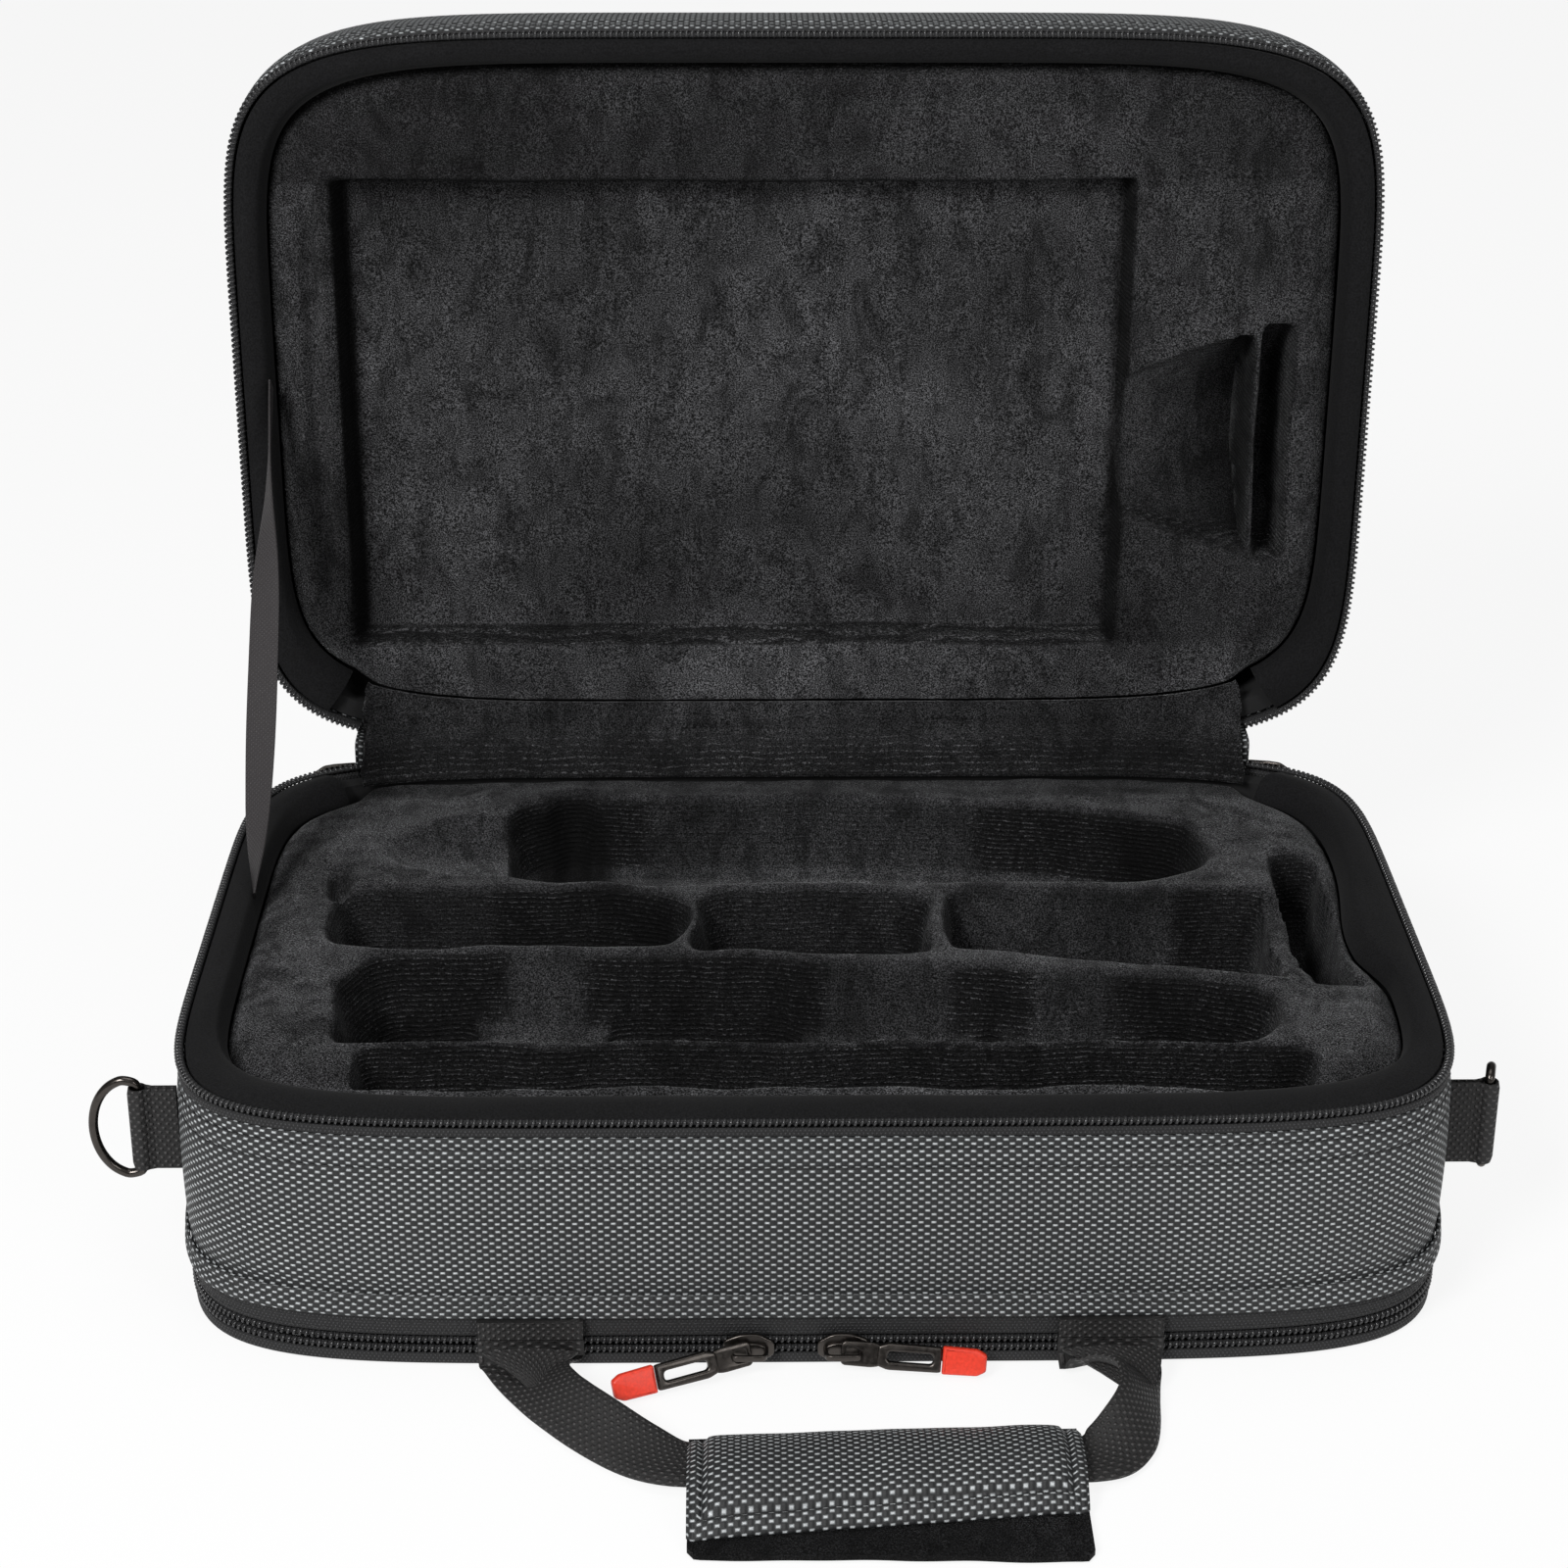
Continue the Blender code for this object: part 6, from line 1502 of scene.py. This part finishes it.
def add_slider(label, body, pull_body, point, along, outward, heading, droop, raised):
    """A slider on a coil, with its pull and tip, placed as the frame places them."""
    up = Vector((0, 0, 1))
    side = outward.cross(along)
    pivot = point + outward * 0.0033
    flat = along * math.cos(math.radians(heading)) + outward * math.sin(math.radians(heading))
    rest = flat * math.cos(math.radians(droop)) - up * math.sin(math.radians(droop))
    out = outward * math.cos(math.radians(raised)) + up * math.sin(math.radians(raised))
    bar = rest.cross(out).normalized()
    seat = placement(along, side, point)
    swing = placement(rest, bar, pivot)
    for prefix, maker, matrix, material, slot, rider in (
            ("slider", slider_mesh, seat, "metal", "dark_metal", body),
            ("pull", pull_mesh, swing, "metal", "dark_metal", pull_body),
            ("pull_tip", tip_mesh, swing, "tip", "red_tip", pull_body)):
        mesh = maker()
        mesh.transform(matrix)
        node = label[0] + "_" + prefix + "_" + label[1]
        add_piece(node + "_finished", mesh, material, rider, [node])


def make_sliders():
    """The pocket zip's two sliders and the main zip's two, with their pulls."""
    front = Vector((0, -1, 0))
    for side, x, direction, heading in (("left", -0.0195, -1, 20), ("right", 0.0072, 1, 3)):
        add_slider(("pocket", side), "pocket_zip_slider_" + side, "pocket_zip_pull_" + side,
                   Vector((x, FRONT_WALL - 0.0002, 0.0073)), Vector((direction, 0, 0)), front, heading,
                   3.5, 20)
    for side, direction in (("left", -1), ("right", 1)):
        seat = Vector((direction * 0.15877, 0.11366, 0.0761))
        tangent = Vector((-0.9368 * direction, 0.3498, 0))
        outward = Vector((0.3498 * direction, 0.9368, 0))
        add_slider(("main", side), "base", "main_zip_pull_" + side, seat, tangent, outward, 6, 8, 0)


def ribbon_grid(centre, side, normal, width, thickness, columns=11):
    """Flat webbing with rounded edges along a path."""
    turn = []
    for a in np.linspace(-1, 1, columns):
        turn.append((a, 1.0 if abs(a) < 0.97 else 0.35))
    section = turn + [(-a, -b) for a, b in turn]
    across = np.array([a for a, _ in section])[None, :, None] * width[:, None, None] / 2
    thick = np.array([b for _, b in section])[None, :, None] * thickness[:, None, None] / 2
    return centre[:, None, :] + across * side[:, None, :] + thick * normal[:, None, :]


# Middle line of each strap: place along the handle's span, place out from the wall, height where it isn't
# laid on the floor, roll in degrees, and how far it is folded in two
STRAP_LEFT = ((-0.5, 0.0, 0.0103, 0, 0.0), (-0.5, 0.0, 0.0063, 0, 0.0), (-0.499, 0.03, 0.0035, 0, 0.05),
              (-0.487, 0.225, None, 18, 0.8), (-0.450, 0.455, None, 32, 1.0), (-0.392, 0.665, None, 32, 1.0),
              (-0.314, 0.860, None, 18, 1.0), (-0.250, 0.975, None, 4, 1.0), (-0.170, 1.000, None, 0, 1.0))
STRAP_RIGHT = ((0.5, 0.0, 0.0103, 0, 0.0), (0.5, 0.0, 0.0063, 0, 0.0), (0.502, 0.03, 0.0035, 0, 0.05),
               (0.522, 0.210, None, 30, 0.6), (0.534, 0.370, None, 48, 0.9), (0.533, 0.560, None, 52, 1.0),
               (0.515, 0.740, None, 42, 1.0), (0.482, 0.880, None, 22, 1.0), (0.440, 0.960, None, 4, 1.0),
               (0.350, 0.985, None, 0, 1.0))

# Reach of the straps along the wall and out from it, and their section flat and folded in two
STRAP_SPAN = 0.164
STRAP_REACH = 0.051
STRAP_WIDTH = 0.030
STRAP_THICKNESS = 0.001
FOLDED_WIDTH = 0.018
FOLDED_THICKNESS = 0.0026
GRIP_LIFT = 0.0022


def strap_mesh(name, table, mirror):
    """Webbing that leaves its root flat, folds in two and curves to the grip."""
    rows = []
    for x_share, y_share, z, roll, fold in table:
        width = STRAP_WIDTH + (FOLDED_WIDTH - STRAP_WIDTH) * fold
        thickness = STRAP_THICKNESS + (FOLDED_THICKNESS - STRAP_THICKNESS) * fold
        tilt = math.radians(roll)
        if z is None:
            z = FLOOR_LIFT + width / 2 * math.sin(tilt) + thickness / 2 * math.cos(tilt)
            z = max(z, FLOOR_LIFT + GRIP_LIFT * (y_share > 0.9) + thickness / 2)
        y = HANDLE_POINT.y if y_share < 0.02 else FRONT_WALL - y_share * STRAP_REACH
        rows.append((HANDLE_POINT.x + x_share * STRAP_SPAN, y, z, tilt, width, thickness))
    rows = resample(spline(np.array(rows), 12), 70)
    centre, tilt, width, thickness = rows[:, :3], rows[:, 3], rows[:, 4], rows[:, 5]
    tangent = unit(np.gradient(centre, axis=0))
    upright = smoothstep((np.arange(len(rows)) - 6) / 10)[:, None]
    flat = tangent[:, :2] * upright + np.array([0.0, -1.0]) * (1 - upright)
    flat = unit(flat)
    inner = np.stack([-flat[:, 1], flat[:, 0], 0 * flat[:, 0]], axis=1) * (-1 if mirror else 1)
    side = inner * np.cos(tilt)[:, None] + np.array([0, 0, 1.0]) * np.sin(tilt)[:, None]
    normal = unit(np.cross(side, tangent))
    grid = ribbon_grid(centre, np.cross(tangent, normal), normal, width, thickness)
    low = grid[..., 2].min(axis=1)
    grid[..., 2] += np.maximum(0, FLOOR_LIFT - low)[:, None]
    return skin(name, grid, along=lengths_along(centre), smooth=60)


# Roots of the handle by the middle of each, and the folds over them by the left and right end of each row
HANDLE_ROOTS = (("left", -0.081), ("right", 0.083))
HANDLE_FOLDS = (("left", ((-0.0945, -0.0675), (-0.0870, -0.0735), (-0.0800, -0.0765))),
                ("right", ((0.0690, 0.0970), (0.0770, 0.0960), (0.0850, 0.0935))))


def make_handle_webbing():
    """Sewn roots, the two straps and the folds where they leave their roots."""
    half_width = 0.0148
    for side, x in HANDLE_ROOTS:
        z = np.linspace(0.0108, 0.0166, 8)
        grid = np.zeros((len(z), 12, 3))
        grid[..., 0] = np.linspace(x - half_width, x + half_width, 12)[None, :]
        grid[..., 1] = -0.1224 - 0.0002 * np.cos(math.pi * (z - z[0]) / (z[-1] - z[0]))[:, None] ** 2
        grid[..., 2] = z[:, None]
        name = "handle_root_" + side
        mesh = skin(name, sheet_section(grid, 0.0020), smooth=60)
        add_piece(name + "_webbing", mesh, "webbing", "base", [name])
    left = strap_mesh("handle_strap_left", STRAP_LEFT, False)
    add_piece("handle_strap_left", left, "webbing", "handle", ["handle_webbing"])
    right = strap_mesh("handle_strap_right", STRAP_RIGHT, True)
    add_piece("handle_strap_right", right, "webbing", "handle")
    columns = 14
    for side, points in HANDLE_FOLDS:
        ends = spline(np.array(points), 8)
        grid = np.zeros((len(ends), columns, 3))
        grid[..., 0] = ends[:, 0:1] + (ends[:, 1:2] - ends[:, 0:1]) * np.linspace(0, 1, columns)[None, :]
        grid[..., 1] = np.linspace(-0.1264, -0.1385, len(ends))[:, None]
        z = np.interp(np.linspace(0, 1, len(ends)), (0, 0.2, 0.6, 1), (0.0083, 0.0076, 0.0061, 0.0040))
        grid[..., 2] = z[:, None] + 0.0012 * np.sin(np.linspace(0, math.pi, columns))[None, :]
        mesh = skin("handle_fold_" + side, sheet_section(grid, 0.0011), smooth=60)
        add_piece("handle_fold_" + side, mesh, "webbing", "handle")


GRIP_MIDDLE = 0.0172
GRIP_LENGTH = 0.107
GRIP_HEIGHT = 0.0138
# How far the grip's back edge lies from the case and how deep the grip is, at its left end, and their change
GRIP_BACK, GRIP_BACK_CHANGE = 0.037, 0.004
GRIP_DEPTH, GRIP_DEPTH_CHANGE = 0.0425, 0.007

# Section of the wrap in shares of its depth and height, round the outside and back inside
GRIP_OUTSIDE = ((0.10, 0.10), (0.03, 0.16), (0.015, 0.34), (0.06, 0.52), (0.16, 0.70), (0.30, 0.84),
                (0.48, 0.92), (0.66, 0.88), (0.82, 0.72), (0.93, 0.50), (0.985, 0.34), (1.00, 0.24),
                (0.98, 0.16))
GRIP_INSIDE = ((0.90, 0.15), (0.80, 0.28), (0.66, 0.44), (0.40, 0.48), (0.16, 0.36), (0.10, 0.24))


def make_grip():
    """Padded wrap of the handle with its seam set in from three of its edges."""
    outer = spline(np.array(GRIP_OUTSIDE), 8)
    section = np.vstack([outer, np.array(GRIP_INSIDE)])
    corner_radius, seam_inset, seam_width, seam_depth = 0.0035, 0.0042, 0.0009, 0.0017
    share = np.linspace(0, 1, 110)
    ends = np.minimum(share, 1 - share) * GRIP_LENGTH
    corner = 1 - np.sqrt(np.clip(1 - (1 - np.clip(ends / corner_radius, 0, 1)) ** 2, 0, 1))
    x = GRIP_MIDDLE + (share - 0.5) * GRIP_LENGTH
    back = FRONT_WALL - (GRIP_BACK - GRIP_BACK_CHANGE * share) - 0.0025
    depth = GRIP_DEPTH - GRIP_DEPTH_CHANGE * share
    across = 0.5 + (section[:, 0][None, :] - 0.5) * (1 - 0.09 * corner[:, None])
    from_front = (1 - across) * depth[:, None]
    seam = np.exp(-((ends[:, None] - seam_inset) / seam_width) ** 2) * (from_front > 0.004)
    front_seam = np.exp(-((from_front - 0.0048) / seam_width) ** 2) * (ends[:, None] > 0.0040)
    seam = np.maximum(seam, front_seam)
    puff = 1.0 - 0.22 * np.exp(-((ends[:, None] - 0.001) / 0.0045) ** 2) - 0.10 * corner[:, None]
    puff = puff + 0.03 * ripple(x[:, None], across * 0.04, 0.025, 73)
    up = section[:, 1][None, :] * puff * GRIP_HEIGHT
    on_top = (np.arange(len(section)) < len(outer)) * smoothstep((section[:, 1] - 0.2) / 0.2)
    up = up - seam_depth * seam * on_top[None, :]
    grid = np.stack([x[:, None] + 0 * across, back[:, None] - across * depth[:, None],
                     np.maximum(up, 0.0005)], axis=-1)
    mesh = skin("handle_grip_weave", grid, smooth=60)
    wrap = add_piece("handle_grip_weave", mesh, "weave", "handle", ["handle_grip_wrap"])


def make_lining():
    """Plush under the wrap, which shows past its front edge."""
    rows, columns = 60, 16
    share = np.linspace(0, 1, rows)
    x = GRIP_MIDDLE + (share - 0.5) * (GRIP_LENGTH - 0.0005)
    back = FRONT_WALL - GRIP_BACK + GRIP_BACK_CHANGE * share
    front = back - (0.045 - GRIP_DEPTH_CHANGE * share) - (0.005 + 0.013 * share)
    round_off = 0.003 * (1 - np.sqrt(1 - (1 - np.clip(np.minimum(share, 1 - share) / 0.028, 0, 1)) ** 2))
    grid = np.zeros((rows, columns, 3))
    t = np.linspace(0, 1, columns)[None, :]
    grid[..., 0] = x[:, None]
    grid[..., 1] = back[:, None] + (front + round_off - back)[:, None] * t
    grid[..., 2] = 0.0015 + 0.00015 * ripple(grid[..., 0], grid[..., 1], 0.03, 71)
    grid[..., 1] += 0.0003 * ripple(x[:, None], 0 * t, 0.02, 72) * t ** 4
    mesh = skin("handle_lining_plush", sheet_section(grid, 0.0018), smooth=60)
    paint(mesh, "lie", lining_painted_shade)
    lining = add_piece("handle_lining_plush", mesh, "plush", "handle", ["handle_grip_lining"])


RING_WIRE = 0.0014
TAB_WIDTH = 0.0265
TAB_THICKNESS = 0.0012


def make_rings():
    """Webbing tabs on the ends of the case and the wire rings that swing in them."""
    wall, leg, hem = 0.18407, 0.00085, 0.004
    eye = RING_WIRE + 0.0004 + 0.00065
    neck = RING_BAR_X - 1.6 * eye
    half, corner, reach = 0.0156, 0.0028, 0.0136
    for label, direction, degrees in (("left", -1, 0), ("right", 1, 75)):
        path = [(wall, leg), (wall + hem, leg), (neck, leg)]
        path += [(RING_BAR_X + eye * math.cos(a), eye * math.sin(a))
                 for a in np.radians(np.linspace(140, -140, 25))]
        path += [(neck, -leg), (wall + hem, -leg), (wall, -leg)]
        path = resample(np.array([(direction * a, RING_Y + b) for a, b in path]), 90)
        centre = np.column_stack([path, np.full(len(path), RING_Z)])
        tangent = unit(np.gradient(centre, axis=0))
        side = np.tile([0.0, 0, 1.0], (len(path), 1))
        grid = ribbon_grid(centre, side, np.cross(side, tangent), np.full(len(path), TAB_WIDTH),
                           np.full(len(path), TAB_THICKNESS), 15)
        name = "ring_tab_" + label
        mesh = skin(name, grid, along=lengths_along(centre), smooth=60)
        add_piece(name + "_webbing", mesh, "webbing", "base", [name])

        points = [(0, -half + 2 * corner), (0, -half + corner), (corner / 3, -half + corner / 3)]
        points += [(corner + (reach - corner) * math.sin(a), -half * math.cos(a))
                   for a in np.linspace(0.12, math.pi - 0.12, 15)]
        points += [(corner / 3, half - corner / 3), (0, half - corner), (0, half - 2 * corner), (0, 0)]
        loop = resample(spline(np.array(points), 6, closed=True), 97)[:-1]
        swing = math.radians(degrees)
        flat = direction * loop[:, 0]
        ring = np.column_stack([direction * RING_BAR_X + flat * math.cos(swing),
                                RING_Y + flat * math.sin(swing), RING_Z + loop[:, 1]])
        plane = (-math.sin(swing), math.cos(swing), 0)
        name = "d_ring_" + label
        mesh = skin(name, tube_grid(ring, RING_WIRE, 16, True, plane), ring=True, smooth=180)
        add_piece(name + "_wire", mesh, "wire", "ring_" + label, [name])


def stitch_shape(length, radius):
    """One stitch lying along X, pulled in at its ends."""
    share = np.linspace(-1, 1, 6)
    path = np.stack([share * length / 2, 0 * share, 0 * share], axis=1)
    return bead("stitch", path, radius, 5)


def make_stitches():
    """Thread of the seams: round the shells, the flap and the pocket's tape."""
    pitch = case_sizes().stitch_pitch
    fine = front_run(0.002)
    for label, places, seed in (("base", BASE_STITCHES, 81), ("lid", LID_STITCHES, 82)):
        paths = [sweep(fine, [case_loop(inset, z)])[:, 0] for inset, z in places]
        shape = stitch_shape(pitch * 0.72, 0.00026)
        mesh = row_mesh(label + "_stitches", paths, shape, pitch, 0.05, seed, "thread")
        if label == "lid":
            turn_open(mesh)
        add_piece(label + "_stitches", mesh, "thread", label)


def keep_foam():
    """The foam boards keep their own solids and take a foam finish."""
    for name in ("base_foam_tray", "lid_foam_shell"):
        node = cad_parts[name]
        node.data.materials.clear()
        node.data.materials.append(look("foam"))


CAMERA_PLACE = Vector((-0.0217, -0.9028, 0.5449))
CAMERA_TILT = 24.89
CAMERA_YAW = -0.86
CAMERA_ROLL = 0.167
CAMERA_FOCAL = 3369.0
FRAME_PIXELS = 1600.0


def make_camera():
    """Camera at the photograph's place, turn and focal length."""
    tilt, yaw, roll = (math.radians(angle) for angle in (CAMERA_TILT, CAMERA_YAW, CAMERA_ROLL))
    ahead = Vector((-math.sin(yaw) * math.cos(tilt), math.cos(yaw) * math.cos(tilt), -math.sin(tilt)))
    right = ahead.cross(Vector((0, 0, 1))).normalized()
    up = right.cross(ahead)
    right, up = (right * math.cos(roll) + up * math.sin(roll), up * math.cos(roll) - right * math.sin(roll))
    data = bpy.data.cameras.new("camera")
    data.sensor_width = 36.0
    data.lens = data.sensor_width * CAMERA_FOCAL / FRAME_PIXELS
    data.clip_start = 0.05
    data.clip_end = 20.0
    camera = bpy.data.objects.new("camera", data)
    matrix = Matrix((right, up, -ahead)).transposed().to_4x4()
    matrix.translation = CAMERA_PLACE
    camera.matrix_world = matrix
    bpy.context.scene.collection.objects.link(camera)
    bpy.context.scene.camera = camera


def white_surface(tree, shader, share):
    """Show white to the camera, to mirrors and through glass, and keep part of the light and shadow."""
    path = add_node(tree, "ShaderNodeLightPath")
    seen = add_node(tree, MATH, {0: path.outputs["Is Camera Ray"], 1: path.outputs["Is Glossy Ray"]},
                    operation="MAXIMUM")
    seen = add_node(tree, MATH, {0: seen, 1: path.outputs["Is Transmission Ray"]}, operation="MAXIMUM")
    amount = add_node(tree, MATH, {0: seen, 1: share}, **TIMES)
    glow = add_node(tree, "ShaderNodeEmission", {"Color": (1, 1, 1, 1), "Strength": 1.0})
    return add_node(tree, "ShaderNodeMixShader", {0: amount, 1: shader, 2: glow})


def make_stage():
    """Plain white floor, soft studio lamps and a white surround."""
    mesh = bpy.data.meshes.new("floor")
    size = 6.0
    corners = [(-size, -size, 0), (size, -size, 0), (size, size, 0), (-size, size, 0)]
    mesh.from_pydata(corners, [], [(0, 1, 2, 3)])
    floor = bpy.data.objects.new("floor", mesh)
    bpy.context.scene.collection.objects.link(floor)
    material, tree, shader = start_material("floor_paper_matt_white", 0.9)
    shader.inputs["Base Color"].default_value = rgba(linear("#f4f4f4"))
    mixed = white_surface(tree, shader.outputs[0], 0.88)
    tree.links.new(mixed.outputs[0], tree.nodes["Material Output"].inputs["Surface"])
    mesh.materials.append(material)

    world = bpy.data.worlds.new("surround")
    world.use_nodes = True
    tree = world.node_tree
    soft = tree.nodes["Background"]
    soft.inputs["Color"].default_value = (1, 1, 1, 1)
    soft.inputs["Strength"].default_value = 0.2
    path = add_node(tree, "ShaderNodeLightPath")
    seen = add_node(tree, MATH, {0: path.outputs["Is Camera Ray"], 1: path.outputs["Is Transmission Ray"]},
                    operation="MAXIMUM")
    white = add_node(tree, "ShaderNodeBackground", {"Color": (1, 1, 1, 1), "Strength": 1.0})
    mixed = add_node(tree, "ShaderNodeMixShader", {0: seen, 1: soft, 2: white})
    tree.links.new(mixed.outputs[0], tree.nodes["World Output"].inputs["Surface"])
    bpy.context.scene.world = world

    for name, place, aim, width, power in (
            ("key", (-0.9, -1.4, 1.35), (0, 0, 0.12), 0.7, 35.0),
            ("fill", (1.1, -1.5, 0.9), (0, 0, 0.12), 0.8, 8.0),
            ("top", (0.1, 0.0, 1.8), (0, 0.05, 0.1), 1.1, 6.5)):
        data = bpy.data.lights.new(name, "AREA")
        data.shape = "DISK"
        data.size = width
        data.energy = power
        lamp = bpy.data.objects.new(name, data)
        lamp.location = place
        lamp.rotation_euler = (Vector(aim) - Vector(place)).to_track_quat("-Z", "Y").to_euler()
        bpy.context.scene.collection.objects.link(lamp)
    bpy.context.scene.view_settings.view_transform = "Standard"


class CLARINETCASE_OT_stage(bpy.types.Operator):
    """Add the camera, the lamps and the floor"""

    bl_idname = "clarinet_case.stage"
    bl_label = "Stage"

    def execute(self, context):
        make_camera()
        make_stage()
        return {"FINISHED"}


class CLARINETCASE_OT_shells(bpy.types.Operator):
    """Make the covers of base and lid"""

    bl_idname = "clarinet_case.shells"
    bl_label = "Woven shells"

    def execute(self, context):
        make_base_shell()
        make_lid_shell()
        return {"FINISHED"}


class CLARINETCASE_OT_flap(bpy.types.Operator):
    """Make the folded hem over the pocket seam"""

    bl_idname = "clarinet_case.flap"
    bl_label = "Seam flap"

    def execute(self, context):
        make_seam_flap()
        return {"FINISHED"}


class CLARINETCASE_OT_zips(bpy.types.Operator):
    """Make the tapes and coils"""

    bl_idname = "clarinet_case.zips"
    bl_label = "Zips"

    def execute(self, context):
        make_zips()
        return {"FINISHED"}


class CLARINETCASE_OT_bands(bpy.types.Operator):
    """Make the bands between zip and plush"""

    bl_idname = "clarinet_case.bands"
    bl_label = "Liner bands"

    def execute(self, context):
        make_liner_bands()
        return {"FINISHED"}


class CLARINETCASE_OT_inserts(bpy.types.Operator):
    """Make the moulded inserts"""

    bl_idname = "clarinet_case.inserts"
    bl_label = "Plush inserts"

    def execute(self, context):
        make_base_insert()
        make_lid_insert()
        return {"FINISHED"}


class CLARINETCASE_OT_hinge(bpy.types.Operator):
    """Make the plush flap and the outer panel"""

    bl_idname = "clarinet_case.hinge"
    bl_label = "Hinge"

    def execute(self, context):
        make_hinge_flap()
        make_hinge_panel()
        return {"FINISHED"}


class CLARINETCASE_OT_stay(bpy.types.Operator):
    """Make the ribbon that holds the lid"""

    bl_idname = "clarinet_case.stay"
    bl_label = "Stay"

    def execute(self, context):
        make_stay()
        return {"FINISHED"}


class CLARINETCASE_OT_pocket(bpy.types.Operator):
    """Make the pocket's floor and back"""

    bl_idname = "clarinet_case.pocket"
    bl_label = "Pocket"

    def execute(self, context):
        make_pocket()
        return {"FINISHED"}


class CLARINETCASE_OT_sliders(bpy.types.Operator):
    """Make the sliders, pulls and tips"""

    bl_idname = "clarinet_case.sliders"
    bl_label = "Sliders"

    def execute(self, context):
        make_sliders()
        return {"FINISHED"}


class CLARINETCASE_OT_handle(bpy.types.Operator):
    """Make the straps, wrap and lining"""

    bl_idname = "clarinet_case.handle"
    bl_label = "Handle"

    def execute(self, context):
        make_handle_webbing()
        make_grip()
        make_lining()
        return {"FINISHED"}


class CLARINETCASE_OT_rings(bpy.types.Operator):
    """Make the end tabs and rings"""

    bl_idname = "clarinet_case.rings"
    bl_label = "Rings"

    def execute(self, context):
        make_rings()
        return {"FINISHED"}


class CLARINETCASE_OT_stitches(bpy.types.Operator):
    """Sew the seams"""

    bl_idname = "clarinet_case.stitches"
    bl_label = "Stitches"

    def execute(self, context):
        make_stitches()
        return {"FINISHED"}


class CLARINETCASE_OT_foam(bpy.types.Operator):
    """Finish the foam boards"""

    bl_idname = "clarinet_case.foam"
    bl_label = "Foam"

    def execute(self, context):
        keep_foam()
        return {"FINISHED"}


STEPS = (
    CLARINETCASE_OT_stage, CLARINETCASE_OT_shells, CLARINETCASE_OT_flap, CLARINETCASE_OT_zips,
    CLARINETCASE_OT_bands, CLARINETCASE_OT_inserts, CLARINETCASE_OT_hinge, CLARINETCASE_OT_stay,
    CLARINETCASE_OT_pocket, CLARINETCASE_OT_sliders, CLARINETCASE_OT_handle, CLARINETCASE_OT_rings,
    CLARINETCASE_OT_stitches, CLARINETCASE_OT_foam,
)


class CLARINETCASE_PT_panel(bpy.types.Panel):
    """Lists the steps that build the case."""

    bl_label = "Clarinet case"
    bl_idname = "CLARINETCASE_PT_panel"
    bl_space_type = "VIEW_3D"
    bl_region_type = "UI"
    bl_category = "Clarinet case"

    def draw(self, context):
        """Draw the sizes, the colours and a button for each step."""
        for group in (context.scene.clarinet_case_sizes, context.scene.clarinet_case_colours):
            for key in group.bl_rna.properties.keys():
                if key not in ("rna_type", "name"):
                    self.layout.prop(group, key)
        for step in STEPS:
            self.layout.operator(step.bl_idname)


CLASSES = (CaseSizes, CaseColours) + STEPS + (CLARINETCASE_PT_panel,)


def register():
    """Register the classes and hang the two groups on the scene."""
    for item in CLASSES:
        bpy.utils.register_class(item)
    bpy.types.Scene.clarinet_case_sizes = bpy.props.PointerProperty(type=CaseSizes)
    bpy.types.Scene.clarinet_case_colours = bpy.props.PointerProperty(type=CaseColours)


def unregister():
    """Take the groups and classes away again."""
    del bpy.types.Scene.clarinet_case_colours
    del bpy.types.Scene.clarinet_case_sizes
    for item in reversed(CLASSES):
        bpy.utils.unregister_class(item)


def main():
    """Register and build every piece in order."""
    register()
    bpy.ops.clarinet_case.stage()
    bpy.ops.clarinet_case.shells()
    bpy.ops.clarinet_case.flap()
    bpy.ops.clarinet_case.zips()
    bpy.ops.clarinet_case.bands()
    bpy.ops.clarinet_case.inserts()
    bpy.ops.clarinet_case.hinge()
    bpy.ops.clarinet_case.stay()
    bpy.ops.clarinet_case.pocket()
    bpy.ops.clarinet_case.sliders()
    bpy.ops.clarinet_case.handle()
    bpy.ops.clarinet_case.rings()
    bpy.ops.clarinet_case.stitches()
    bpy.ops.clarinet_case.foam()


if __name__ == "__main__":
    main()
